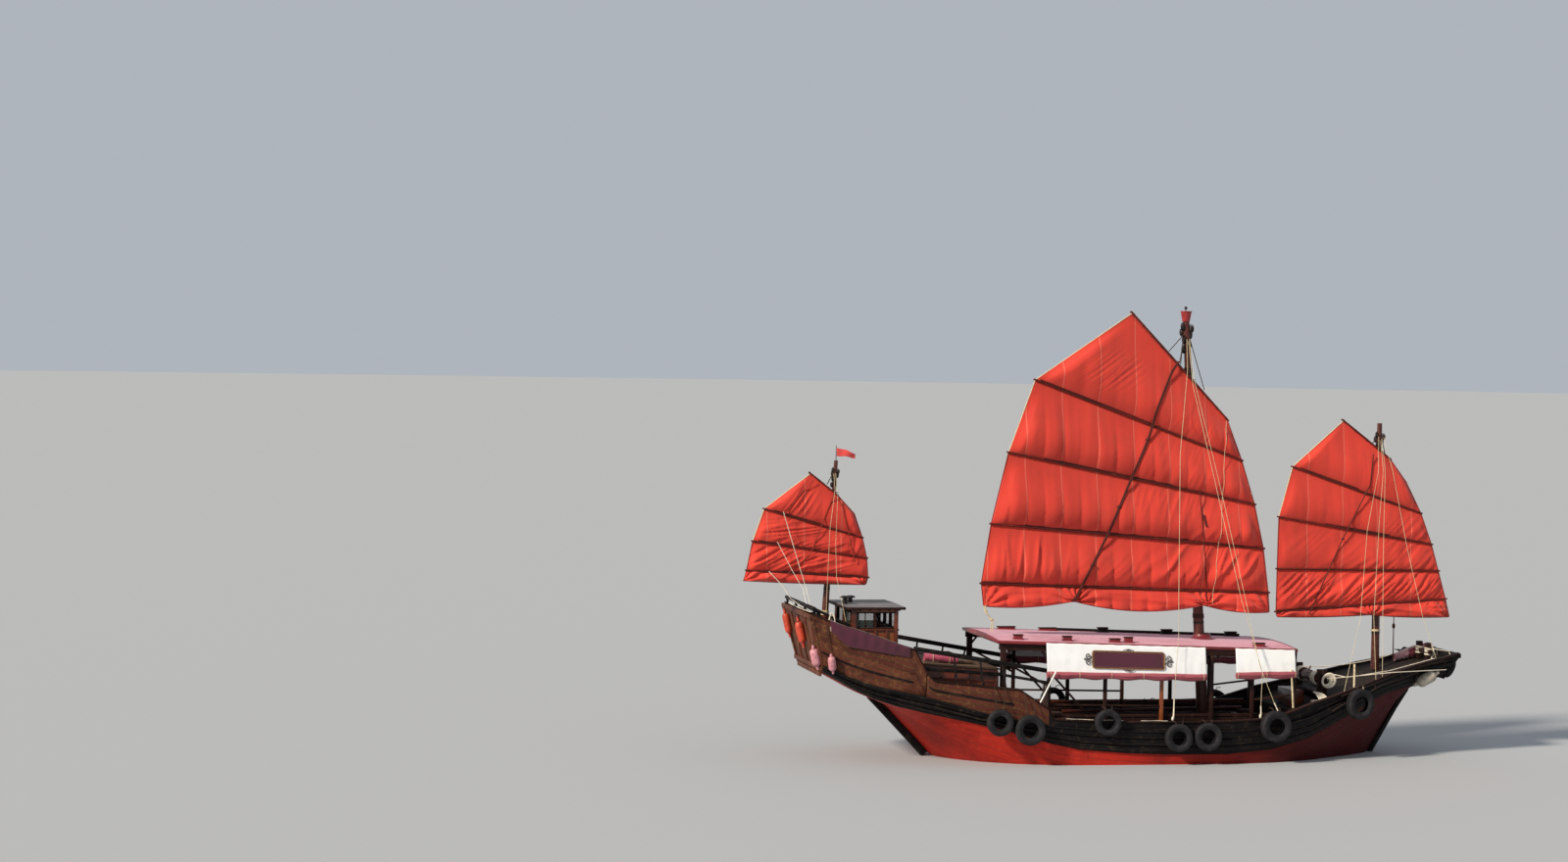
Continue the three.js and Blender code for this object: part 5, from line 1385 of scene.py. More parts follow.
# %% Hooded vents, hatch boards and the mast collar
VENTS = [
    # place along the ship, side, length, height
    (-3.36, -1, 0.26, 0.11), (-2.04, -1, 0.26, 0.11), (-0.75, -1, 0.30, 0.08), (-0.38, -1, 0.24, 0.13),
    (3.20, -1, 0.32, 0.08), (-2.90, 1, 0.50, 0.07), (-1.75, 1, 0.50, 0.07), (-0.21, 1, 0.30, 0.12),
    (1.59, 1, 0.32, 0.12), (3.40, 1, 0.34, 0.11),
]
near = bmesh.new()
far = bmesh.new()
hoods = bmesh.new()
for x, side, length, height in VENTS:
    dark = side > 0 and x > -1
    bm = far if dark else near
    foot_z = canopy_z(x) + 0.006
    top_z = canopy_z(x) + CROWN / 2 + height
    low, high = span(side, 1.41, 1.57)
    block(bm, (x - length / 2 + 0.02, low, foot_z), (x + length / 2 - 0.02, high, top_z - 0.022))
    half = length / 2
    flare = bmesh.ops.create_cube(
        bm, size=1, matrix=Matrix.Translation(
            (x, side * 1.49, foot_z + 0.022)
        ) @ Matrix.Diagonal((length + 0.05, 0.22, 0.04, 1))
    )["verts"]
    for vert in flare:
        if vert.co.z > foot_z + 0.03:
            vert.co.x = x + (vert.co.x - x) * 0.8
            vert.co.y = side * 1.49 + (vert.co.y - side * 1.49) * 0.75
    block(hoods, (x - half, low - 0.012, top_z - 0.024), (x + half, high + 0.012, top_z - 0.001))
for bm, name, material, width in (
    (near, "near_vent_boxes", maroon_paint, 0.006), (far, "far_vent_boxes", black_paint, 0.006),
    (hoods, "vent_hoods", beam_timber, 0.005),
):
    finish_piece(name, bm, material, slot="maroon_paint", edge=width)

bm = bmesh.new()
COLLAR = Vector((2.105, 0, 3.04))
turned(
    bm, COLLAR,
    [
        (0.0, 0.20), (0.0, 0.33), (0.03, 0.33), (0.055, 0.27), (0.13, 0.225), (0.16, 0.22),
        (0.16, 0.195), (0.0, 0.195), (0.0, 0.20),
    ],
    steps=36,
)
finish_piece("mast_collar", bm, maroon_paint, slot="maroon_paint", smooth=40)
print("vents:", len(VENTS))

# %% Posts, beams and braces
POSTS = [-3.83, -2.60, -1.08, 0.45, 1.81, 2.92, 4.08]
VARNISHED_POST = 0.45
POST_Y, POST = 1.80, 0.10
BEAM_TOP = -0.0704
for side_name, side in SIDES.items():
    bm = bmesh.new()
    orange = bmesh.new()
    for x in POSTS:
        aft_deck = x < -2.5
        foot_z = station(x - 0.05)["deck_z"] + 0.0412 if aft_deck else 0.4912
        thick = 0.075 if x == POSTS[0] else POST / 2 - 0.004
        target = orange if x == VARNISHED_POST else bm
        head_z = canopy_z(x) + BEAM_TOP - 0.1
        block(
            target, (x - thick, side * POST_Y - POST / 2 + 0.004, foot_z),
            (x + thick, side * POST_Y + POST / 2 - 0.004, head_z),
        )
        for reach in (-1, 1):
            end_x = x + reach * 0.24
            if CANOPY_AFT + 0.1 < end_x < CANOPY_FRONT - 0.05:
                beam(
                    target, (x + reach * 0.03, side * POST_Y, head_z - 0.27),
                    (end_x, side * POST_Y, head_z - 0.01), 0.04, 0.05,
                )
    ends = [
        (x, side * POST_Y, canopy_z(x) + BEAM_TOP - 0.085)
        for x in (CANOPY_AFT + 0.06, CANOPY_FRONT - 0.02)
    ]
    beam(bm, *ends, POST, 0.17)
    rail_y = side * (POST_Y + 0.02)
    beam(bm, (-2.56, rail_y, 1.52), (0.40, rail_y, 1.47), 0.035, 0.05)
    beam(bm, (2.97, rail_y, 1.62), (4.03, rail_y, 1.74), 0.035, 0.05)
    beam(bm, (-3.78, side * POST_Y, 2.62), (-2.64, side * POST_Y, 2.02), 0.05, 0.055)
    beam(bm, (-2.56, side * POST_Y, 2.35), (-1.62, side * POST_Y, 1.34), 0.05, 0.055)
    finish_piece(
        f"canopy_posts_{side_name}", bm, beam_timber, stands_for=(f"canopy_frame_{side_name}",),
        slot="dark_planking", edge=0.008,
    )
    finish_piece(f"varnished_post_{side_name}", orange, post_varnish, slot="varnished_wood", edge=0.008)

bm = bmesh.new()
CROSS_BEAMS = 15
MAST_X = 2.12
for k in range(CROSS_BEAMS):
    x = mix(CANOPY_AFT + 0.15, CANOPY_FRONT - 0.12, k / (CROSS_BEAMS - 1))
    if abs(x - MAST_X) < 0.25:
        x = MAST_X + (0.30 if x > MAST_X else -0.30)
    z = canopy_z(x) - 0.085
    beam(bm, (x, -POST_Y + 0.05, z), (x, POST_Y - 0.05, z), 0.05, 0.075)
finish_piece("canopy_cross_beams", bm, beam_timber, slot="dark_planking", edge=0.006, segments=1)
print("posts:", 2 * len(POSTS), "cross beams:", CROSS_BEAMS)

# %% [markdown]
# ## Side cloths, rolled blinds and name boards
# White painted canvas hangs from the canopy's edge, and a maroon blind is rolled up at its
# foot. The cloth is cut a little longer than it hangs, so it bellies between its laces. It is
# laced all along its head, so only its lower part stands out. The board on it is a plain
# maroon plate with a dull gold border and scrolls.

# %% Side cloths
SIDE_CLOTHS = [
    # name, its two ends along the ship, how far it hangs there
    ("long", -2.72, 1.60, 0.76, 0.72), ("short", 2.42, 4.06, 0.65, 0.58),
]
CLOTH_SPREAD = 0.12


def cloth_top(x):
    return Vector((x, canopy_half(x) + 0.008, canopy_z(x) - 0.018))


def cloth_grid(bm, columns, rows, place):
    """A sheet of faces: place turns two shares into a point of the cloth."""
    bmesh.ops.create_grid(bm, x_segments=columns, y_segments=rows, size=0.5)
    for vert in bm.verts:
        vert.co = place(vert.co.x + 0.5, 0.5 - vert.co.y)


def thicken(made, thickness):
    """Gives a sheet its thickness and keeps it as plain geometry."""
    grow = made.modifiers.new("thickness", "SOLIDIFY")
    grow.thickness, grow.offset = thickness, 0
    keep_modified(made, grow)


def canvas_piece(
    name, grid, place, material, thickness, flat, held, rests_on=None, measured=True, **finish
):
    """A piece of cloth with its thickness."""
    bm = bmesh.new()
    cloth_grid(bm, *grid, place)
    told = {"area": sum(face.calc_area() for face in bm.faces)} if measured else {}
    if rests_on:
        told["rests_on"] = rests_on
    made = finish_piece(name, bm, material, smooth=180, outward=False, **finish)
    thicken(made, thickness)
    return made


for side_name, side in SIDES.items():
    for name, aft_x, front_x, aft_drop, front_drop in SIDE_CLOTHS:
        length = front_x - aft_x
        laces = round(length / 0.42)

        def hung(u, v):
            x = mix(aft_x, front_x, u)
            top = cloth_top(x)
            between = math.sin(math.pi * u * laces) ** 2
            belly = 0.018 * math.sin(math.pi * v) * (
                0.5 + 0.5 * noise.noise(Vector((x * 1.1, side, v * 2)))
            )
            ripple = 0.006 * v * noise.noise(Vector((x * 6, 3 * side, v * 1.5)))
            return Vector((
                x, side * (top.y + CLOTH_SPREAD * v + belly + ripple + 0.008),
                top.z - 0.008 * between * (1 - v) - mix(aft_drop, front_drop, u) * v,
            ))

        made = canvas_piece(
            f"{name}_canvas_{side_name}", (round(length * 40), 28), hung, white_canvas, 0.003,
            measured=False, flat=(length, max(aft_drop, front_drop) + 0.012), held="hung",
            rests_on=(roof.name,), stands_for=(f"{name}_side_cloth_{side_name}",), slot="canvas",
        )

        def rolled(u, v):
            x = mix(aft_x, front_x, u)
            top = cloth_top(x)
            turn = 2 * math.pi * 1.6 * v
            slack = math.sin(math.pi * u * laces / 2) ** 2
            radius = 0.076 + 0.014 * slack - 0.012 * v + 0.007 * noise.noise(Vector((x * 4, turn, side)))
            foot_z = top.z - mix(aft_drop, front_drop, u)
            middle = Vector((x, side * (top.y + CLOTH_SPREAD), foot_z - 0.055 - 0.02 * slack))
            return middle + Vector((0, side * math.cos(turn), 1.15 * math.sin(turn))) * radius

        canvas_piece(
            f"{name}_rolled_blind_{side_name}", (round(length * 26), 40), rolled, blind_canvas, 0.002,
            measured=False, flat=(length, 0.86), held="gathered", rests_on=(made.name,),
            slot="maroon_canvas",
        )
        ties = bmesh.new()
        for k in range(laces // 2 + 1):
            u = min(max(k / (laces / 2), 0.02), 0.98)
            x = mix(aft_x, front_x, u)
            top = cloth_top(x)
            foot_z = top.z - mix(aft_drop, front_drop, u)
            middle = Vector((x, side * (top.y + CLOTH_SPREAD), foot_z - 0.055))
            rope(ties, ring_of(middle, (0, 0.080, 0), (0, 0, 0.090), 20), 0.005, closed=True, roundness=1)
        finish_piece(f"{name}_blind_ties_{side_name}", ties, white_rope)
print("side cloths and rolled blinds hang on both sides")

# %% Name boards
# A plate with cut corners and a gold border, scrolls at its ends, a crest above and below.
SIGN_AFT, SIGN_FRONT, SIGN_TOP, SIGN_LOW = -1.51, 0.47, 0.15, 0.62
SCROLL_REACH = 0.22
LEAN = CLOTH_SPREAD / 0.74


def sign_point(side, x, down, out):
    top = cloth_top(x)
    return Vector((x, side * (top.y + 0.022 + down * LEAN + out), top.z - down))


def plate_outline(inset, cut):
    """The plate's corners as x and depth pairs: each corner is cut off twice."""
    ends = ((SIGN_AFT + inset, 1), (SIGN_FRONT - inset, -1))
    levels = ((SIGN_TOP + inset, 1), (SIGN_LOW - inset, -1))
    outline = []
    for (x, inward), (down, lower) in (
        (ends[0], levels[0]), (ends[1], levels[0]), (ends[1], levels[1]), (ends[0], levels[1]),
    ):
        corner = [
            (x, down + lower * cut), (x + inward * cut * 0.3, down + lower * cut * 0.3),
            (x + inward * cut, down),
        ]
        outline += corner if inward == lower else corner[::-1]
    return outline


middle_down = (SIGN_TOP + SIGN_LOW) / 2
for side_name, side in SIDES.items():
    bm = bmesh.new()
    outline = plate_outline(0, 0.07)
    strake(bm, [[sign_point(side, x, down, out) for x, down in outline] for out in (0.002, 0.018)])
    finish_piece(
        f"blank_name_board_{side_name}", bm, maroon_canvas, stands_for=(f"name_board_{side_name}",),
        slot="maroon_canvas", edge=0.003, segments=1,
    )
    bm = bmesh.new()
    for inset, radius in ((0.012, 0.008), (0.045, 0.003)):
        rope(
            bm, [sign_point(side, x, down, 0.02) for x, down in plate_outline(inset, 0.06)], radius,
            closed=True,
        )
    finish_piece(f"name_board_border_{side_name}", bm, gold_paint)
    bm = bmesh.new()
    for end, outward in ((SIGN_AFT, -1), (SIGN_FRONT, 1)):
        for flip in (-1, 1):
            curl = []
            for k in range(26):
                turn = k / 25 * 2.6 * math.pi
                reach = 0.085 * (1 - 0.72 * k / 25)
                curl.append(
                    (
                        end + outward * (0.10 - reach * math.cos(turn)),
                        middle_down + flip * (0.085 - reach * math.sin(turn)),
                    )
                )
            tip = [
                (end + outward * SCROLL_REACH, middle_down),
                (end + outward * 0.15, middle_down + flip * 0.03),
            ]
            ropes(
                bm, [[sign_point(side, x, down, 0.016) for x, down in line] for line in (curl, tip)],
                0.010,
            )
    for down, flip in ((SIGN_TOP, -1), (SIGN_LOW, 1)):
        middle_x = (SIGN_AFT + SIGN_FRONT) / 2
        crest = [
            (middle_x + 0.14 * math.cos(t * math.pi / 8), down + flip * 0.045 * math.sin(t * math.pi / 8))
            for t in range(9)
        ]
        inner = [(middle_x + 0.4 * (x - middle_x), down + 0.7 * (z - down)) for x, z in crest]
        ropes(bm, [[sign_point(side, x, z, 0.019) for x, z in line] for line in (crest, inner)], 0.008)
    finish_piece(f"name_board_scrolls_{side_name}", bm, beam_timber)
print("blank name boards with their borders")

# %% [markdown]
# ## Benches, handrails and the well
# Slatted benches run along both sides of the well with a back rail. Their slats and the near
# back rail take the dark beam finish as painted shade, for the shadow in the well; the far
# back rail is varnished. Black handrails on each side lead from the poop down to the
# canopy's posts.

# %% Benches and handrails
BENCH_AFT, BENCH_FORE = -2.4, 3.9
for side_name, side in SIDES.items():
    bm = bmesh.new()
    seat_y, back_y = side * 1.33, side * 1.7496
    slat_y = back_y - side * 0.02
    slats = 4
    for k in range(slats):
        y = mix(seat_y, back_y, (k + 0.5) / slats)
        beam(bm, (BENCH_AFT, y, 0.90), (BENCH_FORE, y, 0.90), 0.094, 0.035)
    front = side * 1.35
    beam(bm, (BENCH_AFT, front, 0.68), (BENCH_FORE, front, 0.68), 0.03, 0.40)
    for k in range(10):
        x = mix(-2.36, 3.86, k / 9)
        low, high = sorted((seat_y, back_y))
        block(bm, (x - 0.03, low + 0.01, 0.492), (x + 0.03, high - 0.01, 0.882))
        low, high = sorted((back_y, back_y - side * 0.045))
        block(bm, (x - 0.025, low, 0.88), (x + 0.025, high, 1.25))
    for z in (1.0, 1.11):
        beam(bm, (BENCH_AFT, slat_y, z), (BENCH_FORE, slat_y, z), 0.03, 0.07)
    # The slats take the dark beam finish: painted shade, for the shadow in the well.
    finish_piece(
        f"bench_slats_{side_name}", bm, beam_timber, stands_for=(f"bench_{side_name}",),
        slot="varnished_wood", edge=0.005, segments=1,
    )
    bm = bmesh.new()
    beam(bm, (BENCH_AFT, slat_y, 1.21), (BENCH_FORE, slat_y, 1.21), 0.034, 0.085)
    # The near back rail takes the dark beam finish as painted shade; the far one is varnished.
    rail_finish_by_light = cabin_varnish if side > 0 else beam_timber
    finish_piece(
        f"bench_back_rail_{side_name}", bm, rail_finish_by_light, slot="varnished_wood", edge=0.008
    )

    bm = bmesh.new()
    rail_aft, rail_fore = Vector((-6.3, side * 2.19, 3.03)), Vector((-2.6, side * 1.887, 2.40))
    beam(bm, rail_aft, rail_fore, 0.07, 0.115)
    beam(bm, (-6.0, side * 2.17, 2.50), (-3.86, side * 1.90, 2.32), 0.055, 0.09)
    beam(bm, (-3.80, side * 1.90, 2.30), (-2.64, side * 1.88, 2.10), 0.05, 0.075)
    for x in (-5.2, -4.5, -3.9):
        at = station(x)
        head = rail_aft.lerp(rail_fore, (x - rail_aft.x) / (rail_fore.x - rail_aft.x))
        foot = Vector((x, side * (at["rail_y"] - 0.05), at["rail_z"] + 0.04))
        beam(bm, foot, head - Vector((0, 0, 0.03)), 0.045, 0.05)
    finish_piece(
        f"black_handrails_{side_name}", bm, black_paint, stands_for=(f"handrail_{side_name}",),
        slot="dark_planking", edge=0.012,
    )
print("benches and handrails on both sides")

# %% [markdown]
# ## Masts
# Each mast is one heavy unstayed pole, oiled dark brown, with iron hoops, a cluster of
# sheave blocks under its head and rope wooldings. The main one wears a red bucket and a
# black ball. The poles lean as their solids do, so every fitting is placed with the mast's
# own axis.

# %% Masts and their heads
MASTS = {
    "main": (Vector((2.190, 0, 0.5008)), Vector((1.490, 0, 11.780)), 0.160, 0.085),
    "fore": (Vector((6.990, 0, 2.2215)), Vector((6.990, 0, 8.860)), 0.115, 0.065),
    "mizzen": (Vector((-8.250, 0, 2.5945)), Vector((-7.950, 0, 7.750)), 0.100, 0.050),
}


def mast_at(name, z):
    """Centre and radius of a mast at a height."""
    foot, head, thick, thin = MASTS[name]
    share = (z - foot.z) / (head.z - foot.z)
    return foot.lerp(head, share), mix(thick, thin, share)


HOOPS = {"main": (3.5, 5.3, 7.4, 9.3), "fore": (3.2, 5.1, 6.7, 8.1), "mizzen": (3.3, 4.4, 5.9, 7.2)}
BLOCK_SIZE = {"main": 0.095, "fore": 0.075, "mizzen": 0.06}
MASTHEAD_BLOCKS = [
    # distances ahead and to port of the mast's face, depth below the head, in block sizes
    (-1.0, -0.5, 4.3), (0.9, -0.6, 4.9), (-0.8, 0.7, 5.9), (1.0, 0.5, 6.6), (-1.0, -0.7, 7.9),
    (0.2, -1.1, 9.3), (-0.9, -0.4, 10.6),
]
# The cluster ends above the yard's parrel, which turns round the mast.
CLUSTER_DEEP = {"main": 1.10, "fore": 0.60, "mizzen": 0.66}
WOOLDINGS = {
    "main": (3.62, 3.74, 10.1, 10.3), "fore": (3.26, 3.31, 7.7, 7.85),
    "mizzen": (3.72, 3.84, 6.62, 6.72),
}
for name, (foot, head, thick, thin) in MASTS.items():
    along = (head - foot).normalized()
    bm = bmesh.new()
    pole(bm, foot, head, thick, thin, sides=40)
    finish_piece(f"{name}_mast_pole", bm, mast_timber, stands_for=(f"{name}_mast",), slot="mast_wood")
    iron = bmesh.new()
    for z in HOOPS[name]:
        centre, radius = mast_at(name, z)
        pole(iron, centre - along * 0.03, centre + along * 0.03, radius + 0.004, sides=40)
    size = BLOCK_SIZE[name]
    for ahead, aport, below in MASTHEAD_BLOCKS:
        if below * size > CLUSTER_DEEP[name]:
            continue
        centre, radius = mast_at(name, head.z - below * size)
        out = Vector((ahead, aport, 0)).normalized()
        spot = centre + out * (radius + 0.42 * size)
        ball(iron, spot, (0.62 * size, 0.5 * size, size))
        strop = ring_of(spot + Vector((0, 0, 0.1 * size)), out * 0.72 * size, (0, 0, 1.15 * size), 18)
        rope(iron, strop, 0.13 * size, closed=True, roundness=1)
    finish_piece(f"{name}_masthead_blocks", iron, dark_iron, smooth=40)
    wound = bmesh.new()
    low1, high1, low2, high2 = WOOLDINGS[name]
    for low, high in ((low1, high1), (low2, high2)):
        turns = round((high - low) / 0.016)
        for k in range(turns):
            centre, radius = mast_at(name, mix(low, high, k / turns))
            rope(
                wound, ring_of(centre, (radius + 0.007, 0, 0), (0, radius + 0.007, 0), 28), 0.009,
                closed=True, roundness=1,
            )
    finish_piece(f"{name}_mast_wooldings", wound, white_rope if name != "main" else tarred_rope, smooth=60)

bm = bmesh.new()
BUCKET_FOOT = Vector((1.502, 0, 11.52))
turned(
    bm, BUCKET_FOOT,
    [
        (0.0, 0.0), (0.0, 0.100), (0.25, 0.145), (0.25, 0.155), (0.275, 0.155), (0.275, 0.143),
        (0.02, 0.094), (0.02, 0.0),
    ],
    steps=32,
)
finish_piece("red_masthead_bucket", bm, red_plastic, smooth=40)
bm = bmesh.new()
pole(bm, (1.49, 0, 11.78), (1.49, 0, 11.86), 0.014, sides=12)
ball(bm, (1.49, 0, 11.878), (0.042, 0.042, 0.042), 20, 12)
pole(bm, (-7.95, 0, 7.7513), (-7.95, 0, 8.15), 0.011, 0.007, sides=12)
finish_piece("masthead_ball_and_flag_staff", bm, dark_iron, smooth=50)
print("masts:", list(MASTS))

# %% [markdown]
# ## Sails
# A junk's sail is flat cloth laced to full-length battens, so each panel between two battens
# bellies on its own. The cloth is cut from upright strips and its lacing pulls it into soft
# upright puckers. Where it hangs slack, long creases run slantwise to the corners, and the
# foot below the last batten is drawn up in scallops. Each panel is a grid of faces whose
# points are moved to the panel's outline and then out of its plane by these few causes. The
# bellies of the real sails face the camera's side: their upper part is bright and their
# lower part is in shade.

# %% Sail outlines
SAILS = {
    # leech from the peak down, pins of the foot from the clew to the tack, luff from the throat
    "main": {
        "plane": -0.33, "pole": 0.031, "battens": 4, "columns": 210, "rows": 30, "quilting": 0.11,
        "bellies": (0.125, 0.125, 0.150, 0.125),
        "leech": [
            (-0.08, 11.71), (-2.69, 9.92), (-3.38, 8.01), (-3.82, 6.13), (-4.06, 4.56), (-3.99, 3.97),
        ],
        "luff": [(2.57, 8.94), (3.00, 7.85), (3.38, 6.68), (3.65, 5.50), (3.81, 4.32), (3.85, 3.80)],
        "foot": [(-1.55, 4.10), (2.04, 3.99)], "sags": [0.09, 0.21, 0.08],
    },
    "fore": {
        "plane": -0.25, "pole": 0.026, "battens": 4, "columns": 150, "rows": 28, "quilting": 0.024,
        "bellies": (0.075, 0.075, 0.075, 0.080),
        "leech": [(5.88, 8.92), (4.48, 7.68), (4.12, 6.34), (4.10, 4.95), (4.09, 3.80), (4.12, 3.67)],
        "luff": [
            (7.18, 7.93), (7.66, 7.30), (8.10, 6.46), (8.42, 5.62), (8.63, 4.90), (8.85, 4.14),
            (8.97, 3.66),
        ],
        "foot": [(6.71, 3.72)], "sags": [0.03, 0.035],
    },
    "mizzen": {
        "plane": -0.22, "pole": 0.023, "battens": 3, "columns": 120, "rows": 26, "quilting": 0.022,
        "bellies": (0.090, 0.100, 0.120),
        "leech": [(-8.66, 7.41), (-9.87, 6.49), (-10.16, 5.65), (-10.31, 4.89), (-10.41, 4.63)],
        "luff": [(-7.98, 6.88), (-7.50, 6.37), (-7.28, 5.76), (-7.15, 5.22), (-7.11, 4.71), (-7.16, 4.53)],
        "foot": [], "sags": [0.02],
    },
}
CREASES = {
    # centre x and z, half width, half height, slope in degrees, spacing and depth in metres
    "main": [
        (2.3, 5.2, 1.8, 0.9, 58, 0.42, 0.110), (1.2, 6.9, 1.9, 0.9, 70, 0.36, 0.030),
        (-0.6, 10.2, 1.0, 0.6, 35, 0.20, 0.020), (-2.9, 5.2, 1.4, 0.8, 84, 0.34, 0.060),
        (0.4, 4.9, 2.4, 0.6, 40, 0.34, 0.030), (1.3, 8.3, 1.2, 0.8, 66, 0.26, 0.016),
    ],
    "fore": [
        (7.9, 5.7, 1.1, 0.8, 44, 0.24, 0.034), (5.1, 4.4, 1.3, 0.7, 44, 0.25, 0.080),
        (6.8, 4.5, 1.6, 0.8, 40, 0.28, 0.080), (8.2, 4.6, 0.9, 0.8, 50, 0.24, 0.065),
        (5.4, 5.6, 1.4, 0.7, 40, 0.34, 0.018), (8.5, 3.95, 0.5, 0.3, 40, 0.18, 0.030),
    ],
    "mizzen": [
        (-9.4, 5.2, 1.2, 0.6, 26, 0.19, 0.075), (-8.3, 5.25, 1.1, 0.5, 14, 0.19, 0.070),
        (-9.0, 6.0, 1.3, 0.35, 6, 0.17, 0.060), (-9.1, 6.7, 0.8, 0.7, 52, 0.26, 0.030),
        (-7.6, 5.6, 0.5, 0.7, 62, 0.22, 0.024),
    ],
}
STRIP = 0.49
STRAPS = {
    # lines that lie on the near side of a sail, as x and z pairs
    "main": [
        [(1.02, 10.22), (0.62, 9.20), (0.40, 8.42), (0.18, 7.90), (-0.06, 7.34), (-0.36, 6.62),
         (-0.67, 5.88), (-1.06, 5.10), (-1.38, 4.46), (-1.56, 4.12)],
        [(1.83, 7.06), (2.02, 5.2), (2.10, 4.02)],
    ],
    "fore": [
        [(6.70, 8.04), (6.62, 7.20), (6.46, 6.90), (6.18, 6.35), (5.89, 5.78), (5.57, 5.07),
         (5.22, 4.30), (4.98, 3.74)],
    ],
    "mizzen": [
        [(-8.02, 6.98), (-8.30, 6.25), (-8.66, 5.32), (-9.02, 4.99), (-9.28, 4.79)],
        [(-7.93, 6.76), (-7.80, 6.50), (-7.52, 5.33), (-7.46, 5.10)],
    ],
}


def along_line(line, share):
    """The point at a share of a bent line's length."""
    steps = [math.dist(a, b) for a, b in zip(line, line[1:])]
    left = share * sum(steps)
    for (a, b), step in zip(zip(line, line[1:]), steps):
        if left <= step or b is line[-1]:
            return Vector(a).lerp(Vector(b), min(left / step, 1))
        left -= step
    return Vector(line[-1])


def panel_edges(sail, i):
    """The bits of the leech and the luff that bound a panel, from the head panel down."""
    skipped = len(sail["luff"]) - 1 - sail["battens"]
    first = 0 if i == 0 else skipped + i - 1
    return sail["leech"][i : i + 2], sail["luff"][first : skipped + i + 1]


def batten_line(sail, i):
    """Ends of the batten below panel i."""
    return sail["leech"][i + 1], panel_edges(sail, i)[1][-1]


def foot_at(sail, share):
    """The foot's edge: it hangs in scallops between its pins."""
    pins = [sail["leech"][-1], *sail["foot"], sail["luff"][-1]]
    x = mix(pins[0][0], pins[-1][0], share)
    for (ax, az), (bx, bz), sag in zip(pins, pins[1:], sail["sags"]):
        if x <= bx + 1e-6:
            between = (x - ax) / (bx - ax)
            return Vector((x, mix(az, bz, between) - 4 * sag * between * (1 - between)))
    return Vector(pins[-1])


def crease_depth(name, x, z):
    """Slanted folds: noise that is long along the fold and short across it, in soft patches."""
    total = 0.0
    for cx, cz, wide, tall, slope, spacing, depth in CREASES[name]:
        reach = ((x - cx) / wide) ** 2 + ((z - cz) / tall) ** 2
        if reach < 1:
            turn = math.radians(slope)
            across = -math.sin(turn) * x + math.cos(turn) * z
            along = math.cos(turn) * x + math.sin(turn) * z
            ridge = noise.noise(Vector((across / spacing * 1.6, along * 0.45, cx)))
            total += depth * (1 - reach) * (1 - 2 * abs(ridge) ** 0.6)
    return total


def gather_depth(sail, x, z):
    """Folds that fan out from the pins where the foot is drawn up."""
    total = 0.0
    for px, pz in [*sail["foot"], sail["leech"][-1], sail["luff"][-1]]:
        away = math.hypot(x - px, z - pz)
        angle = math.atan2(z - pz + 0.02, x - px)
        fade = math.exp(-away / 0.75) * min(away / 0.12, 1)
        total += 0.070 * fade * math.cos(13 * angle + 2 * px)
    return total


def sail_point(name, sail, i, s, t):
    """A point of the cloth: s runs from leech to luff and t from a panel's head to its foot."""
    leech, luff = panel_edges(sail, i)
    spot = along_line(leech, t).lerp(along_line(luff, t), s)
    foot_panel = i == sail["battens"]
    edge = math.sin(math.pi / 2 * min(s / 0.07, (1 - s) / 0.07, 1))
    if foot_panel:
        straight = Vector(leech[-1]).lerp(Vector(luff[-1]), s)
        spot += (foot_at(sail, s) - straight) * t ** 1.5
        laced = min(t / 0.2, 1)
        belly = 0.10 * math.sin(math.pi * 0.78 * t)
    else:
        tall = min(mix(math.dist(leech[0], leech[-1]), math.dist(luff[0], luff[-1]), s), 2.1)
        laced = math.sin(math.pi * t) ** 0.5
        belly = sail["bellies"][i] * tall * math.sin(math.pi * t ** 1.8)
    x, z = spot
    strip = x / STRIP + 0.22 * noise.noise(Vector((x * 0.9, 2.0 * i, 7.7)))
    fullness = 0.6 + 0.9 * noise.noise(Vector((math.floor(strip) * 1.37, 2.3 * i, 3.3)))
    quilt = sail["quilting"] * fullness * abs(math.sin(math.pi * strip)) ** 0.5 * t ** 1.4
    pucker = 0.030 * noise.noise(Vector((x * 2.1, 3.0 * i + z * 0.22, 1.7))) * (0.4 + 0.6 * t)
    pucker += 0.012 * noise.noise(Vector((x * 5.2, 3.0 * i + z * 0.5, 6.1)))
    depth = belly * edge + (quilt + pucker + crease_depth(name, x, z)) * laced
    if foot_panel:
        folds = noise.noise(Vector((x * 0.8, z * 7, 4.4)))
        depth += gather_depth(sail, x, z) * laced
        depth += 0.035 * (1 - 2 * abs(folds) ** 0.7) * math.sin(math.pi * t) ** 0.8
    return Vector((x, sail["plane"] - depth * min(edge + 0.25, 1), z))


print("sail outlines:", {name: len(sail["leech"]) + len(sail["luff"]) for name, sail in SAILS.items()})

# %% Sail cloths
CLOTH_THICKNESS = 0.004
for name, sail in SAILS.items():
    bm = bmesh.new()
    panels = sail["battens"] + 1
    for i in range(panels):
        rows = sail["rows"] if i < sail["battens"] else max(sail["rows"] // 2, 12)
        made_verts = bmesh.ops.create_grid(
            bm, x_segments=sail["columns"], y_segments=rows, size=0.5,
        )["verts"]
        for vert in made_verts:
            vert.co = sail_point(name, sail, i, vert.co.x + 0.5, 0.5 - vert.co.y)
    bmesh.ops.remove_doubles(bm, verts=bm.verts, dist=1e-4)
    cut_area = sum(face.calc_area() for face in bm.faces)
    cloth_piece = finish_piece(
        f"{name}_sail_cloth", bm, sail_cloth, body=f"{name}_rig", stands_for=(f"{name}_sail",),
        slot="sail_cloth", smooth=180, outward=False,
    )
    thicken(cloth_piece, CLOTH_THICKNESS)
    print(
        name, "sail:", round(cut_area, 1), "square metres of cloth,", len(cloth_piece.data.polygons),
        "faces",
    )

# %% [markdown]
# ## Battens, yards and the ropes along the edges
# Every batten is a pair of poles with the cloth between them, lashed together each half
# metre. Some are scarfed: a second, shorter pole is bound on where the sail works hardest.
# The yard at the head is made in the same way. Loops of rope, the parrels, hold each of
# them to the mast. A rope is sewn along the leech, the foot and the luff.

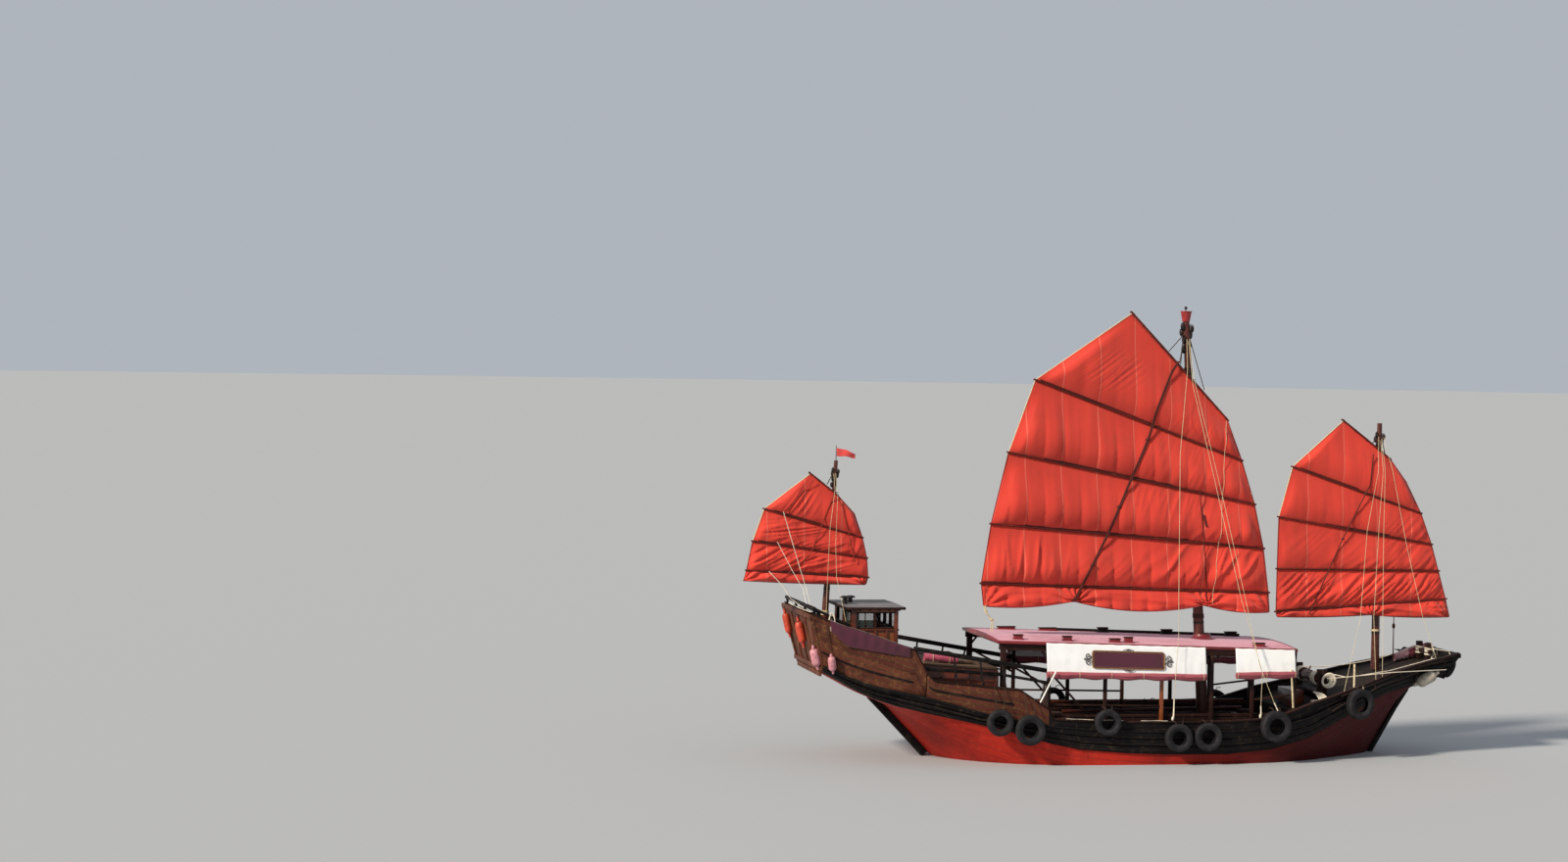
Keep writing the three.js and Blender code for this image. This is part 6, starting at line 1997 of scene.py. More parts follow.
# %% Battens and yards
SCARFS = {
    # batten, start and end as shares from leech to luff
    "main": [(0, 0.02, 0.55), (1, 0.14, 0.66), (2, 0.12, 0.72), (3, 0.0, 0.16)],
    "fore": [(0, 0.05, 0.5), (1, 0.3, 0.72), (3, 0.0, 0.34)],
    "mizzen": [(0, 0.1, 0.6), (1, 0.05, 0.55), (2, 0.3, 0.95)],
}
PAST_EDGE = 0.05
EYELET_GAP = 0.0104


def lengthened(start, end, extra):
    start, end = Vector(start), Vector(end)
    along = (end - start).normalized() * extra
    return start - along, end + along


def pole_pair(bm, sail, start, end, radius):
    """The two poles of a batten or yard, a little thinner at their ends."""
    gap = EYELET_GAP + radius
    for y in (sail["plane"] - gap, sail["plane"] + gap):
        points = [Vector((*start, 0)).lerp(Vector((*end, 0)), share) for share in (0, 0.3, 0.7, 1)]
        spots = [Vector((p.x, y, p.y)) for p in points]
        for (p, q), (r0, r1) in zip(zip(spots, spots[1:]), ((0.8, 1), (1, 1), (1, 0.8))):
            pole(bm, p, q, radius * r0, radius * r1, sides=12)


def lashings(bm, sail, start, end, radius, spacing, rope_radius=0.006):
    """Turns of line round both poles, through the cloth's eyelets."""
    length = (end - start).length
    count = max(round(length / spacing), 2)
    along = (end - start).normalized()
    upward = Vector((-along.y, 0, along.x)) * (radius + rope_radius)
    for k in range(count + 1):
        x, z = start.lerp(end, mix(0.03, 0.97, k / count))
        centre = Vector((x, sail["plane"], z))
        rope(
            bm, ring_of(centre, (0, 2 * radius + EYELET_GAP + rope_radius, 0), upward, 10), rope_radius,
            closed=True, roundness=1,
        )


def parrel(bm, name, sail, z):
    """Two rope loops round the mast and the far pole."""
    centre, radius = mast_at(name, z)
    far_y = sail["plane"] + EYELET_GAP + sail["pole"]
    near_y = far_y - sail["pole"] - 0.012
    back_y = radius + 0.035
    middle = Vector((centre.x, (near_y + back_y) / 2, z))
    for lift in (-0.024, 0.024):
        loop = ring_of(
            middle + Vector((0, 0, lift)), (radius + 0.04, 0, 0), (0, (back_y - near_y) / 2, 0), 24,
        )
        rope(bm, loop, 0.010, closed=True, roundness=1)


def height_on(start, end, x):
    return mix(start[1], end[1], (x - start[0]) / (end[0] - start[0]))


for name, sail in SAILS.items():
    wood, line, red_line, white_line = (bmesh.new() for _ in range(4))
    for i in range(sail["battens"]):
        ends = batten_line(sail, i)
        start, end = lengthened(*ends, PAST_EDGE)
        pole_pair(wood, sail, start, end, sail["pole"])
        lashings(line, sail, start, end, sail["pole"], 0.46)
        crossing = mast_at(name, height_on(*ends, MASTS[name][0].x))[0]
        parrel(line, name, sail, height_on(*ends, crossing.x))
    near_y = sail["plane"] - EYELET_GAP - sail["pole"]
    for i, low, high in SCARFS[name]:
        start, end = (Vector(p) for p in batten_line(sail, i))
        p, q = start.lerp(end, low), start.lerp(end, high)
        lift = sail["pole"] * 1.5
        pole(
            wood, (p.x, near_y - 0.012, p.y + lift), (q.x, near_y - 0.012, q.y + lift),
            sail["pole"] * 0.62, sides=10,
        )
    finish_piece(
        f"{name}_batten_poles", wood, batten_timber, body=f"{name}_rig",
        stands_for=(f"{name}_battens",), slot="batten_wood", smooth=40,
    )
    head = (sail["leech"][0], sail["luff"][0])
    start, end = lengthened(*head, 0.07)
    wood = bmesh.new()
    pole_pair(wood, sail, start, end, sail["pole"])
    lashings(line, sail, start, end, sail["pole"], 0.40)
    crossing = mast_at(name, height_on(*head, MASTS[name][1].x))[0]
    parrel(line, name, sail, height_on(*head, crossing.x))
    finish_piece(
        f"{name}_yard_poles", wood, batten_timber, body=f"{name}_rig", stands_for=(f"{name}_yard",),
        slot="batten_wood", smooth=40,
    )
    finish_piece(f"{name}_lashings_and_parrels", line, tarred_rope, body=f"{name}_rig", smooth=60)

    y = sail["plane"]
    aft_limit = cad_box[0][0] + 0.020
    leech = [Vector((max(x - 0.012, aft_limit), y, z)) for x, z in sail["leech"]]
    luff = [Vector((x + 0.012, y, z)) for x, z in sail["luff"]]
    foot = [Vector((p.x, y - 0.004, p.y - 0.008)) for p in (foot_at(sail, k / 60) for k in range(61))]
    ropes(red_line, [luff, foot, leech[2:]], 0.014)
    rope(white_line, leech[:3], 0.013)
    finish_piece(f"{name}_red_bolt_rope", red_line, red_rope, body=f"{name}_rig", smooth=60)
    finish_piece(f"{name}_white_bolt_rope", white_line, white_rope, body=f"{name}_rig", smooth=60)
print("battens, yards, parrels and bolt ropes on three sails")

# %% Flag
# A small red pennant of light bunting, laced to its staff and lifting in the wind.
FLAG_LONG, FLAG_TALL = 0.53, 0.22


def flown(u, v):
    x = -7.934 + 0.50 * u
    wave = 0.030 * math.sin(7.0 * u + 1.5 * v) * u
    drop = 0.13 * u ** 1.4 + 0.010 * math.sin(9 * u)
    taper = 1 - 0.45 * u
    return Vector((x, wave, 8.085 - drop - FLAG_TALL * (v * taper + 0.5 * (1 - taper) * 0.6)))


flag = canvas_piece(
    "red_flag", (36, 14), flown, flag_cloth, 0.002, flat=(FLAG_LONG, FLAG_TALL), held="hung",
    stands_for=("flag",), slot="sail_cloth",
)
print("flag of", len(flag.data.polygons), "faces")

# %% [markdown]
# ## Gear on the fore deck and the poop
# The windlass is a tree trunk turned smooth, with whelps nailed round it and a hawser
# wound on. The bitts are heavy dark posts buried in the turns of the mooring lines. Beside
# them lie an anchor under a dark tarpaulin and a rolled maroon canvas with a pale patch
# inside the port rail. Coils of rope, spare spars, a bundle on the cabin top and the canvas
# dodgers round the poop make up the rest.

# %% Windlass and bitts
WINDLASS = Vector((5.15, 0, 2.06))
bm = bmesh.new()
pole(bm, WINDLASS + Vector((0, -0.895, 0)), WINDLASS + Vector((0, 0.895, 0)), 0.135, sides=32)
for k in range(8):
    turn = k * math.pi / 4
    out = Vector((math.cos(turn), 0, math.sin(turn)))
    for low, high in ((-0.86, -0.34), (-0.16, 0.16), (0.34, 0.86)):
        a = WINDLASS + out * 0.142 + Vector((0, low, 0))
        beam(bm, a, a + Vector((0, high - low, 0)), 0.045, 0.030)
pole(bm, WINDLASS + Vector((0, -1.01, 0)), WINDLASS + Vector((0, 1.01, 0)), 0.046, sides=24)
for y in (-0.25, 0.25):
    turn = 0.35 if y < 0 else 1.1
    across = Vector((math.cos(turn), 0, math.sin(turn))) * 0.26
    pole(
        bm, WINDLASS + Vector((0, y, 0)) - across * 0.2, WINDLASS + Vector((0, y, 0)) + across, 0.022,
        sides=10,
    )
finish_piece(
    "windlass_log", bm, mast_timber, edge=0.004, segments=1, sharper_than=45, body="windlass_log",
    stands_for=("windlass_drum",), slot="mast_wood", smooth=40,
)
bm = bmesh.new()
TURNS = 9
for start in (-0.80, 0.45):
    for k in range(TURNS):
        centre = WINDLASS + Vector((0, start + 0.034 * k, 0))
        wander = 0.004 * math.sin(3.7 * k)
        rope(
            bm, ring_of(centre, (0.178 + wander, 0, 0), (0, 0.012, 0.178 + wander), 28), 0.016,
            closed=True, roundness=2,
        )
finish_piece("windlass_hawser", bm, pale_rope, body="windlass_log", smooth=60)
finish_piece(
    "windlass_cheeks", solid_copy("windlass_frame"), beam_timber, stands_for=("windlass_frame",),
    slot="dark_planking", edge=0.014,
)
finish_piece(
    "mooring_bitts", solid_copy("bow_bitts"), beam_timber, stands_for=("bow_bitts",),
    slot="varnished_wood", edge=0.014, segments=3,
)
print("windlass and bitts")


# %% Hawsers, coils and lines at the bow
def coil(centre, radius, turns, layers, rope_radius, seed):
    """A coil of rope lying flat: one long line that winds in and steps up."""
    points = []
    steps = 22
    for layer in range(layers):
        for k in range(turns * steps + 1):
            turn = 2 * math.pi * k / steps
            share = k / (turns * steps)
            r = radius - 2.1 * rope_radius * turns * (share if layer % 2 == 0 else 1 - share)
            wobble = 1 + 0.05 * noise.noise(Vector((turn * 0.6, layer, seed)))
            z = centre[2] + rope_radius * (1 + 1.8 * layer) + 0.006 * noise.noise(Vector((turn, seed, layer)))
            points.append(
                Vector(
                    (centre[0] + r * wobble * math.cos(turn), centre[1] + r * wobble * math.sin(turn), z)
                )
            )
    return points


def led(points, sag=0.0, step=0.25):
    """A line through several places, with points close enough to bend well."""
    out = [Vector(points[0])]
    for a, b in zip(points, points[1:]):
        count = max(round((Vector(b) - Vector(a)).length / step), 1)
        out += hang(a, b, sag, count)[1:]
    return out


def deck_top(x):
    return station(x)["deck_z"] + 0.0404


bm = bmesh.new()
rope(bm, coil((4.98, -1.45, station(4.98)["rail_z"] - 0.30), 0.30, 5, 4, 0.022, 1.0), 0.022)
rope(bm, coil((5.75, 0.85, deck_top(5.9)), 0.28, 5, 3, 0.02, 2.0), 0.02)
bitt_lines = []
for side in (-1, 1):
    for k in range(6):
        height = 2.64 + 0.032 * k
        tilt = 0.02 * math.sin(2.3 * k)
        swell = 0.088 + 0.010 * math.sin(1.7 * k)
        bitt_lines.append(ring_of((8.38, side * 0.33, height), (swell, 0, tilt), (0, swell, 0), 20))
ropes(bm, bitt_lines, 0.016, closed=True)
lines = [
    led([(5.15, -0.70, 2.235), (5.25, -1.20, 2.09), (6.90, -1.57, 2.29), (8.62, -1.02, 2.30)]),
    led([(5.15, -0.62, 2.240), (5.75, -1.30, 2.13), (6.92, -1.30, 2.31), (8.30, -0.98, 2.60)]),
    hang((5.15, 0.60, 2.235), (8.30, 0.40, 2.80), 0.16),
    hang(
        (8.44, -0.36, 2.80), (8.93, -0.45, 2.74), 0.0,
    ) + hang((8.93, -0.45, 2.74), (8.98, -0.5, 2.42), 0.0)[1:],
    hang(
        (8.44, 0.36, 2.80), (8.93, 0.45, 2.74), 0.0,
    ) + hang((8.93, 0.45, 2.74), (8.98, 0.5, 2.42), 0.0)[1:],
    hang((5.95, -1.83, 1.98), (6.02, -1.86, 1.80), 0.0),
]
for line in lines:
    rope(bm, line, 0.011)
for k in range(7):
    x, y = 8.44 + 0.05 * math.sin(k * 2.1), -0.42 + 0.13 * k
    rope(bm, hang((x, y, 2.88 - 0.02 * k), (x + 0.12, y + 0.05, 2.64), 0.0, 6), 0.014)
# A coil hangs on the near cheek of the windlass and a bundle lies under it.
for k in range(7):
    rope(
        bm,
        ring_of(
            (5.22 + 0.012 * k, -1.11 - 0.016 * (k % 3), 2.03), (0.10 + 0.016 * k, 0, 0.02),
            (0, 0.01, 0.11 + 0.014 * k), 24,
        ),
        0.017, closed=True,
    )
for k in range(6):
    rope(
        bm,
        hang(
            (4.72 + 0.05 * k, -1.52 + 0.03 * k, 1.78 - 0.01 * k), (4.86 + 0.05 * k, -1.75, 1.50), -0.05,
            8,
        ),
        0.02,
    )
ropes(
    bm,
    [
        ring_of(
            (8.48, -0.33 + 0.02 * k, 2.70 - 0.02 * k), (0.02, 0.15 + 0.01 * k, 0),
            (0.03, 0, 0.13 + 0.012 * k), 20,
        )
        for k in range(5)
    ],
    0.014, closed=True,
)
finish_piece("bow_lines_and_coils", bm, pale_rope, smooth=60)

bm = bmesh.new()
ropes(bm, [
    [
        on_side(-1, x, station(x)["wale_z"] - 0.04, 0.115) + Vector((0, 0, 0.03 * math.sin(x * 5)))
        for x in [5.0 + 0.12 * k for k in range(27)]
    ],
    [on_side(-1, x, station(x)["rail_z"] - 0.04, 0.05) for x in [5.3 + 0.15 * k for k in range(22)]],
], 0.013)
for x in (5.6, 6.35, 7.2):
    rope(
        bm,
        [
            on_side(-1, x, station(x)["rail_z"] + 0.05, -0.12),
            on_side(-1, x, station(x)["rail_z"] + 0.065, 0.0),
            on_side(-1, x, station(x)["rail_z"] - 0.05, 0.055),
            on_side(-1, x + 0.04, station(x)["wale_z"] - 0.02, 0.12),
        ],
        0.012,
    )
rope(
    bm,
    [
        Vector((5.15, -1.03, 2.30)), Vector((5.16, -1.045, 2.1)), Vector((5.12, -1.05, 1.75)),
        Vector((5.05, -1.1, 1.58)),
    ],
    0.018,
)
finish_piece("side_lines_at_the_bow", bm, tarred_rope, smooth=60)
print("coils and bow lines")


# %% Anchor, tarpaulin and bow canvas
bm = bmesh.new()
shank = [Vector((7.45, 0.96, 2.40)), Vector((8.20, 0.88, 2.60))]
beam(bm, *shank, 0.05, 0.06)
for side in (-1, 1):
    beam(bm, shank[1], shank[1] + Vector((-0.20, side * 0.10, side * 0.05)), 0.05, 0.05)
    beam(
        bm, shank[1] + Vector((-0.16, side * 0.08, side * 0.04)),
        shank[1] + Vector((-0.28, side * 0.12, side * 0.06)), 0.08, 0.02,
    )
beam(bm, shank[0] + Vector((0.05, -0.30, 0.02)), shank[0] + Vector((0.05, 0.12, 0.02)), 0.035, 0.035)
finish_piece("stocked_anchor", bm, dark_iron, edge=0.008)

TARP = ((7.94, 8.46), (0.76, 1.02))


def tarpaulin(u, v):
    x, y = mix(*TARP[0], u), mix(*TARP[1], v)
    ridge = math.exp(-((v - 0.5) / 0.28) ** 2) * math.sin(math.pi * (0.12 + 0.8 * u)) * 0.17
    lump = 0.05 * noise.noise(Vector((x * 4, y * 4, 1.0))) + 0.025 * noise.noise(Vector((x * 9, y * 8, 4.0)))
    return Vector((x, y + 0.03 * noise.noise(Vector((x * 5, y, 9.0))), mix(2.49, 2.60, u) + ridge + lump))


black_canvas = cloth("black_tarpaulin", "#242226", "#141315", soil=0.2, weave=0.01, rough=0.6)
canvas_piece(
    "anchor_tarpaulin", (44, 34), tarpaulin, black_canvas, 0.003, flat=(0.60, 0.60), held="draped",
    rests_on=("stocked_anchor",),
)


def bow_canvas(u, v):
    """A canvas rolled up loosely and laid along the port half of the fore deck."""
    turn = 2 * math.pi * 1.5 * v
    middle = Vector((7.76, 0.58, 2.47)).lerp(Vector((8.82, 0.62, 2.78)), u)
    bulk = 0.10 + 0.05 * math.sin(math.pi * u) - 0.02 * v
    radius = bulk + 0.03 * noise.noise(
        Vector((u * 5, turn * 0.7, 2.0))
    ) + 0.012 * noise.noise(Vector((u * 16, turn, 5.0)))
    return middle + Vector((0, math.cos(turn), math.sin(turn))) * radius


bow_cloth = canvas_piece(
    "maroon_bow_canvas", (70, 46), bow_canvas, blind_canvas, 0.003, flat=(1.12, 1.30),
    held="gathered", rests_on=("fore_deck_planks",),
)
PATCH_AFT_OF = 8.14
pale_patch = cloth("faded_pink_canvas_patch", "#DDB3B4", "#C79396", soil=0.3, weave=0.01)
bow_cloth.data.materials.append(pale_patch)
for face in bow_cloth.data.polygons:
    face.material_index = int(face.center.x < PATCH_AFT_OF)
print("anchor under its tarpaulin, rolled canvas beside it")

# %% Dodgers round the poop
# Maroon canvas laced outside the bulwark: it folds over the rail and its lower edge rises
# towards the stern.
DODGER_AFT, DODGER_FRONT = -8.26, -6.40


def dodger(side):
    def hung(u, v):
        x = mix(DODGER_AFT, DODGER_FRONT, u)
        at = station(x)
        drop = mix(0.52, 0.20, u) * min(0.45 + u * 3.2, 1)
        z = at["rail_z"] + 0.058 - (drop + 0.06) * v
        laced = 1 - 0.5 * math.cos(2 * math.pi * u * 7)
        belly = 0.014 * math.sin(math.pi * min(v * 1.1, 1)) * laced
        wrinkle = 0.006 * noise.noise(Vector((x * 4, z * 5, side * 2.0)))
        over = 0.04 * max(1 - v / 0.10, 0)
        spot = on_side(side, x, z, 0)
        outer = at["rail_y"] - mix(
            at["wale_y"], at["rail_y"], min((z - at["wale_z"]) / (at["rail_z"] - at["wale_z"]), 1),
        )
        y = at["rail_y"] - max(outer, 0) * min(v * 2, 1)
        return Vector((spot.x, side * (y + 0.040 - over + belly + wrinkle), z))

    return hung


for side_name, side in SIDES.items():
    canvas_piece(
        f"poop_canvas_{side_name}", (84, 26), dodger(side), maroon_canvas, 0.003, flat=(2.0, 0.62),
        held="hung", rests_on=(f"cap_rails_{side_name}",), stands_for=(f"poop_dodger_{side_name}",),
        slot="maroon_canvas",
    )
print("dodgers on both sides of the poop")

# %% Bundles, spars and odd gear
# A rolled pink mat lies on the cabin trunk. Poles stand at the rail, and spare spars, lockers
# and coils of rope lie in the waist.


def rolled_mat(u, v):
    turn = 2 * math.pi * 2.2 * v
    radius = 0.105 - 0.024 * v + 0.010 * noise.noise(Vector((u * 6, turn * 0.8, 3.0)))
    x = mix(-5.84, -4.96, u)
    bend = 0.015 * math.sin(math.pi * u)
    return Vector(
        (x, -1.42 + radius * math.cos(turn), trunk_top(x) + 0.155 + bend + radius * math.sin(turn))
    )


pink_cloth = cloth("faded_pink_mat", "#B9506A", "#9C3E56", soil=0.2, weave=0.012)
canvas_piece(
    "rolled_pink_mat", (60, 90), rolled_mat, pink_cloth, 0.006, flat=(0.90, 1.35), held="gathered",
    rests_on=("cabin_trunk_lid",),
)
bm = bmesh.new()
for x in (-5.62, -5.18):
    rope(bm, ring_of((x, -1.42, trunk_top(x) + 0.166), (0, 0.12, 0), (0, 0, 0.12), 26), 0.006, closed=True)
finish_piece("mat_ties", bm, white_rope)

bm = bmesh.new()
pole(bm, (-3.0, -2.28, 1.52), (-2.52, -2.20, 2.42), 0.022, sides=12)
finish_piece("white_boat_pole", bm, white_box, smooth=50)
bm = bmesh.new()
pole(bm, (3.97, -2.07, 1.42), (3.93, -1.99, 2.42), 0.026, sides=12)
pole(bm, (5.76, -1.76, 1.92), (5.78, -1.70, 2.53), 0.028, sides=12)
finish_piece("cream_boathook_handles", bm, cream_paint, smooth=50)
bm = bmesh.new()
pole(bm, (7.62, 0.30, 2.40), (7.62, 0.30, 3.70), 0.018, 0.012, sides=12)
ball(bm, (7.62, 0.30, 3.36), (0.044, 0.044, 0.077))
pole(bm, (-1.4, 1.15, 1.00), (3.6, 1.05, 1.10), 0.045, 0.035, sides=14)
pole(bm, (-1.0, 1.00, 0.56), (3.2, 0.92, 0.56), 0.05, 0.04, sides=14)
finish_piece("spare_spars", bm, mast_timber, smooth=50)
bm = bmesh.new()
block(bm, (3.35, 0.75, 0.50), (3.95, 1.20, 0.95))
block(bm, (-2.35, -0.55, 0.50), (-1.65, 0.35, 1.02))
block(bm, (4.45, -0.55, 1.26), (4.80, 0.55, 1.72))
finish_piece("waist_lockers", bm, cabin_varnish, slot="varnished_wood", edge=0.012)
bm = bmesh.new()
ropes(
    bm,
    [coil((-2.05, -0.1, 1.02), 0.26, 5, 3, 0.02, 5.0), coil((3.65, 0.97, 0.95), 0.2, 4, 3, 0.018, 6.0)],
    0.019,
)
for x in (-2.75, -2.68):
    ropes(
        bm,
        [
            ring_of(
                (x, -1.93, 1.82 - 0.05 * k), (0.02, 0.0, 0.0), (0, 0.05 + 0.012 * k, 0.30 + 0.02 * k),
                22,
            )
            for k in range(4)
        ],
        0.012, closed=True,
    )
finish_piece("waist_rope_coils", bm, tarred_rope, smooth=60)
print("bundles, spars and coils")

# %% [markdown]
# ## Running rigging
# A junk's sail hangs from its halyard inside a cage of lines. Those that turn with the sail
# ride on its body. A line that leads from the deck to the mast or the sail is made as one
# mesh that rides on no body. The main sail has a double dark strap with four knots down its
# near side, and a shorter, thinner one ahead of it.

# %% Lines that turn with the sails
STRAP_PROUD = {"main": 0.112, "fore": 0.105, "mizzen": 0.095}
STRAP_LEAN = 0.30
CLOTH_TREES = {}
for name in SAILS:
    mesh = bpy.data.objects[f"{name}_sail_cloth"].data
    CLOTH_TREES[name] = BVHTree.FromPolygons(
        [v.co for v in mesh.vertices], [p.vertices for p in mesh.polygons],
    )


def on_cloth(name, x, z, proud, lean=0.0):
    """A place on a sail's near side, which moves aft by lean for each metre it rides out."""
    over_battens = SAILS[name]["plane"] - STRAP_PROUD[name]
    spot = Vector((x, over_battens, z))
    for _ in range(3):
        met = CLOTH_TREES[name].ray_cast(Vector((spot.x, -4, z)), Vector((0, 1, 0)))[0]
        spot.y = min(met.y - proud, over_battens) if met else over_battens
        spot.x = x + lean * (spot.y - over_battens)
    return spot


def strap_line(name, k, radius, shift=0.0):
    """A strap that lies on a sail's cloth and over its battens; shift moves it along the sail."""
    way = led([(x + shift, 0, z) for x, z in STRAPS[name][k]], step=0.1)
    return [on_cloth(name, x, z, radius, lean=STRAP_LEAN) for x, _, z in way]


def knots(bm, places, size):
    for place in places:
        ball(bm, place, (1.2 * size, 0.6 * size, 0.8 * size), 14, 10)


bm = bmesh.new()
ropes(bm, [strap_line("main", 0, 0.018, -0.020), strap_line("main", 0, 0.018, 0.020)], 0.018)
for step in (-0.020, 0.020):
    rope(bm, led([(1.02 + step, -0.455, 10.22), (1.20 + step, -0.40, 10.46)]), 0.018)
knots(
    bm,
    [
        on_cloth("main", x, z, 0.03, lean=STRAP_LEAN)
        for x, z in ((0.37, 8.38), (-0.38, 6.60), (-1.08, 5.06), (-1.56, 4.14))
    ],
    0.055,
)
rope(bm, strap_line("main", 1, 0.012), 0.011)
rope(bm, [on_cloth("main", 1.93, 6.4, 0.03), on_cloth("main", 1.98, 6.1, 0.03)], 0.026)
finish_piece("main_dark_strap", bm, strap_rope, body="main_rig", smooth=60)

bm = bmesh.new()
from_throat = led([(2.53, 0, 8.90), (2.44, 0, 6.30), (2.22, 0, 4.02)], step=0.1)
rope(bm, [on_cloth("main", x, z, 0.02) for x, _, z in from_throat], 0.006)
for step in (0, 0.05):
    rope(
        bm,
        led(
            [
                (-4.00 + step, -0.36, 3.98), (-3.96, -0.40, 3.83 - step), (-3.79 + step, -0.40, 3.60),
                (-3.82 + step, -0.42, 3.30),
            ],
            step=0.05,
        ),
        0.013,
    )
knots(bm, [(-3.95, -0.38, 3.84), (-3.80, -0.40, 3.61)], 0.04)
finish_piece("main_light_lines", bm, white_rope, body="main_rig", smooth=60)

bm = bmesh.new()
rope(bm, strap_line("fore", 0, 0.016), 0.016)
knots(bm, [on_cloth("fore", x, z, 0.02, lean=STRAP_LEAN) for x, z in ((6.50, 6.97), (5.88, 5.76))], 0.04)
finish_piece("fore_dark_strap", bm, strap_rope, body="fore_rig", smooth=60)

bm = bmesh.new()
ropes(bm, [
    strap_line("mizzen", 0, 0.013), strap_line("mizzen", 1, 0.013),
    [
        on_cloth("mizzen", x, z, 0.013)
        for x, _, z in led([(-8.60, 0, 7.26), (-9.02, 0, 6.80), (-9.40, 0, 6.30)], step=0.1)
    ],
], 0.012)
finish_piece("mizzen_brown_straps", bm, red_rope, body="mizzen_rig", smooth=60)
print("straps ride on the three rigs")


# %% Lines between the ship and a rig
def bent_lines(name, lines, radius, material, low):
    """Lines from the deck to a rig, made as one mesh that rides on no body."""
    bm = bmesh.new()
    for line in lines:
        rope(bm, led(line, step=0.10), radius, roundness=1)
    made = finish_piece(name, bm, material, body=None, smooth=60)
    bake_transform(made)
    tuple(low)
    return made


MAIN_FALLS = [
    [
        (0.55, -2.48, 1.15), (0.82, -2.02, 3.30), (0.88, -1.78, 4.26), (1.11, -0.95, 8.01),
        (1.43, -0.44, 10.23), (1.47, -0.20, 11.05),
    ],
    [
        (2.95, -2.42, 1.20), (3.05, -2.24, 2.37), (2.61, -1.72, 4.25), (2.07, -1.09, 7.17),
        (1.57, -0.51, 9.81), (1.52, -0.20, 11.00),
    ],
    [
        (3.49, -2.36, 1.25), (2.98, -2.22, 2.55), (2.78, -1.75, 3.99), (2.23, -1.12, 6.96),
        (1.61, -0.49, 9.96), (1.54, -0.20, 11.05),
    ],
]
bent_lines("main_falls", MAIN_FALLS, 0.0065, white_rope, (2.1, 0, 3.30))
FORE_FALLS = [
    [
        (5.40, -1.96, 1.80), (6.20, -0.95, 3.70), (6.45, -0.66, 6.00), (6.77, -0.56, 7.60),
        (6.90, -0.18, 8.50),
    ],
    [
        (6.62, -1.55, 2.14), (6.86, -0.86, 3.70), (6.93, -0.62, 5.95), (6.97, -0.54, 7.60),
        (6.99, -0.18, 8.45),
    ],
    [
        (8.34, -0.98, 2.60), (8.02, -0.78, 3.70), (7.60, -0.62, 5.55), (7.18, -0.54, 7.60),
        (7.04, -0.18, 8.50),
    ],
    [
        (6.40, -1.66, 2.06), (6.60, -0.88, 3.70), (6.80, -0.62, 6.20), (6.91, -0.55, 7.60),
        (6.96, -0.18, 8.40),
    ],
]
bent_lines("fore_falls", FORE_FALLS, 0.006, white_rope, (7, 0, 2.85))
MIZZEN_FALLS = [
    [
        (-8.40, -1.20, 3.90), (-8.27, -0.66, 4.51), (-8.20, -0.56, 5.98), (-8.05, -0.42, 7.00),
        (-8.03, -0.12, 7.40),
    ],
    [
        (-7.92, -1.40, 3.66), (-8.04, -0.72, 4.76), (-8.04, -0.56, 5.57), (-7.98, -0.42, 6.80),
        (-7.98, -0.12, 7.42),
    ],
    [(-8.78, -1.10, 3.96), (-8.82, -0.66, 4.43), (-9.01, -0.54, 5.08), (-9.41, -0.42, 6.43)],
    [(-8.84, -0.90, 3.96), (-8.90, -0.64, 4.43), (-9.18, -0.52, 4.92), (-9.56, -0.42, 5.65)],
    [(-8.90, -0.70, 3.96), (-9.21, -0.56, 4.18), (-9.42, -0.48, 4.51), (-9.76, -0.38, 4.88)],
]
bent_lines(
    "mizzen_falls", MIZZEN_FALLS[:2], 0.005, white_rope, (-8.3, 0, 3.98),
)
bent_lines(
    "mizzen_sheets", MIZZEN_FALLS[2:], 0.008, pale_rope, (-8.3, 0, 3.98),
)

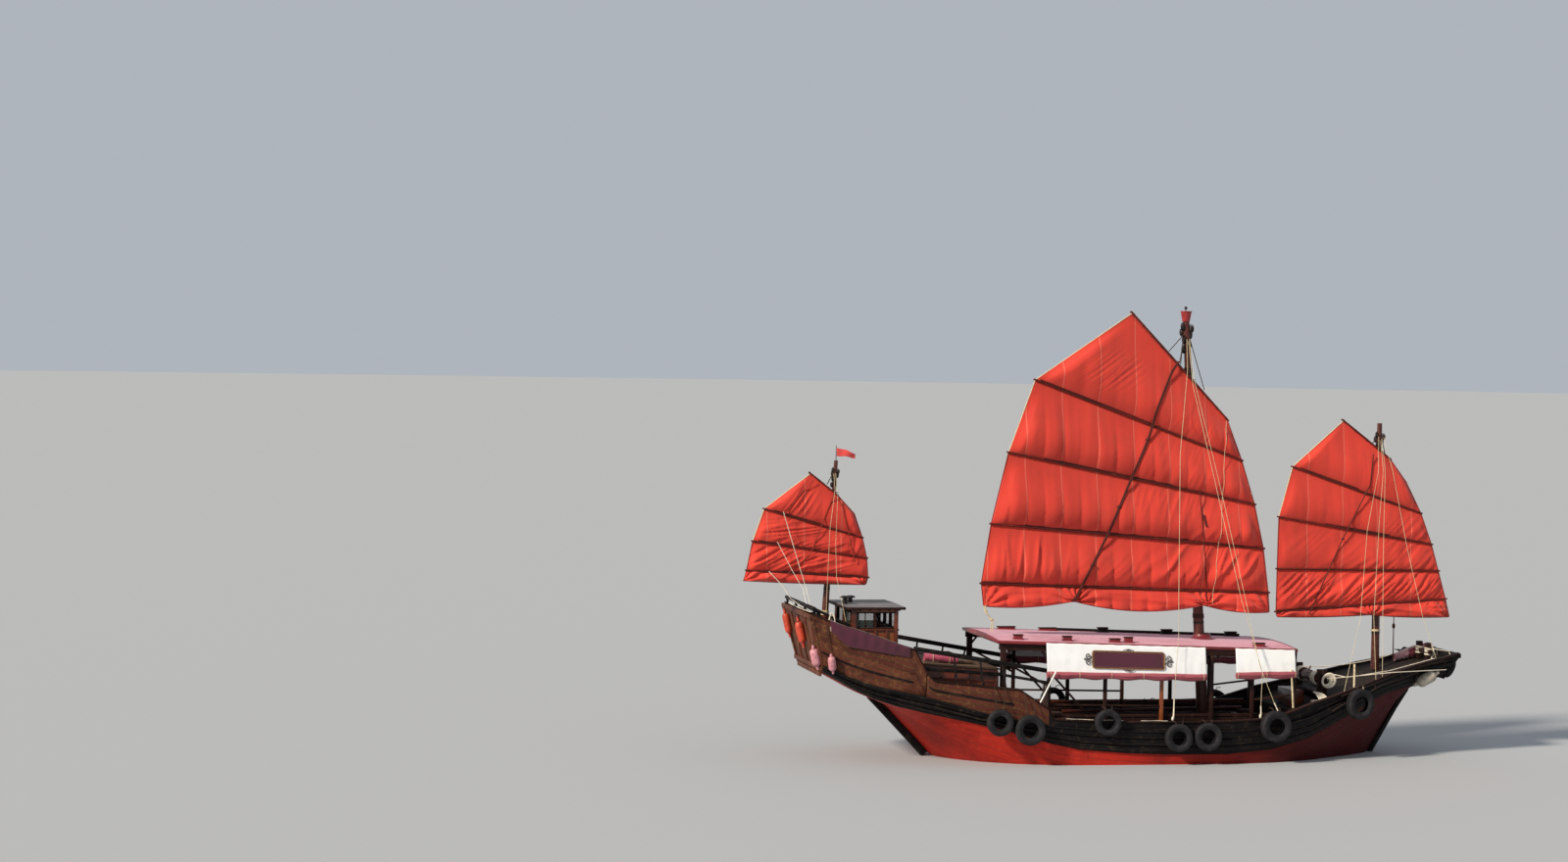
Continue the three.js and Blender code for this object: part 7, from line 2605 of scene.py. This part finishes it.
for name, rig, lines in (
    ("main", "main_rig", [
        [(1.42, -0.12, 11.10), (1.25, -0.30, 10.42)], [(1.40, -0.12, 11.16), (0.95, -0.30, 10.72)],
        [(1.50, -0.12, 11.05), (1.52, -0.30, 10.14)], [(1.46, 0.10, 11.10), (1.30, -0.24, 10.38)],
        [(1.58, -0.12, 11.05), (1.95, -0.30, 9.70)],
    ]),
    ("fore", "fore_rig", [
        [(6.93, -0.08, 8.48), (6.72, -0.22, 8.34)], [(6.95, -0.09, 8.46), (6.92, -0.24, 8.20)],
        [(7.02, -0.09, 8.46), (7.06, -0.24, 8.06)],
    ]),
    ("mizzen", "mizzen_rig", [
        [(-7.99, -0.07, 7.50), (-8.22, -0.20, 7.14)], [(-7.96, -0.08, 7.48), (-8.05, -0.21, 6.98)],
    ]),
):
    centre, _ = mast_at(name, lines[0][0][2])
    bent_lines(f"{name}_halyards", lines, 0.012, tarred_rope, centre)

# %% Lines that stay with the ship
# Tackles on the near rail, with a block where each fall is made fast.
bm = bmesh.new()
for x, y, z in ((0.55, -2.49, 1.16), (2.95, -2.43, 1.20), (3.49, -2.38, 1.24)):
    ball(bm, (x, y, z + 0.05), (0.035, 0.03, 0.06), 12, 8)
for line in MAIN_FALLS:
    a, b = Vector(line[0]), Vector(line[1])
    rope(
        bm,
        [a + Vector((0.02, -0.012, 0.05)), a.lerp(b, 0.10) + Vector((0.016, -0.01, 0)), a.lerp(b, 0.26)],
        0.016,
    )
rope(bm, hang((-8.90, -1.7, 3.93), (-8.92, 1.2, 3.93), 0.02), 0.010)
ropes(
    bm,
    [
        hang((-8.45, -1.95, 3.90), (-8.08, -0.72, 3.34), 0.02),
        hang((-8.40, -1.92, 3.86), (-8.10, -0.70, 3.33), 0.05),
    ],
    0.014,
)
ropes(
    bm,
    [
        ring_of((-8.40, -1.96 + 0.01 * k, 3.72 - 0.03 * k), (0.07 + 0.01 * k, 0, 0), (0, 0.02, 0.20), 20)
        for k in range(4)
    ],
    0.011, closed=True,
)
for x in (-2.3, -1.5, -0.3):
    at = station(x)
    rope(
        bm,
        [
            Vector(
                (
                    x + 0.08 * k, -(at["rail_y"] - 0.04 + 0.03 * math.sin(k * 0.9)),
                    station(x + 0.08 * k)["rail_z"] + 0.054,
                )
            )
            for k in range(10)
        ],
        0.007,
    )
finish_piece("rail_tackles", bm, pale_rope, smooth=60)
print("tackles on the rail")

# %% End of the script
print("the ship is dressed")
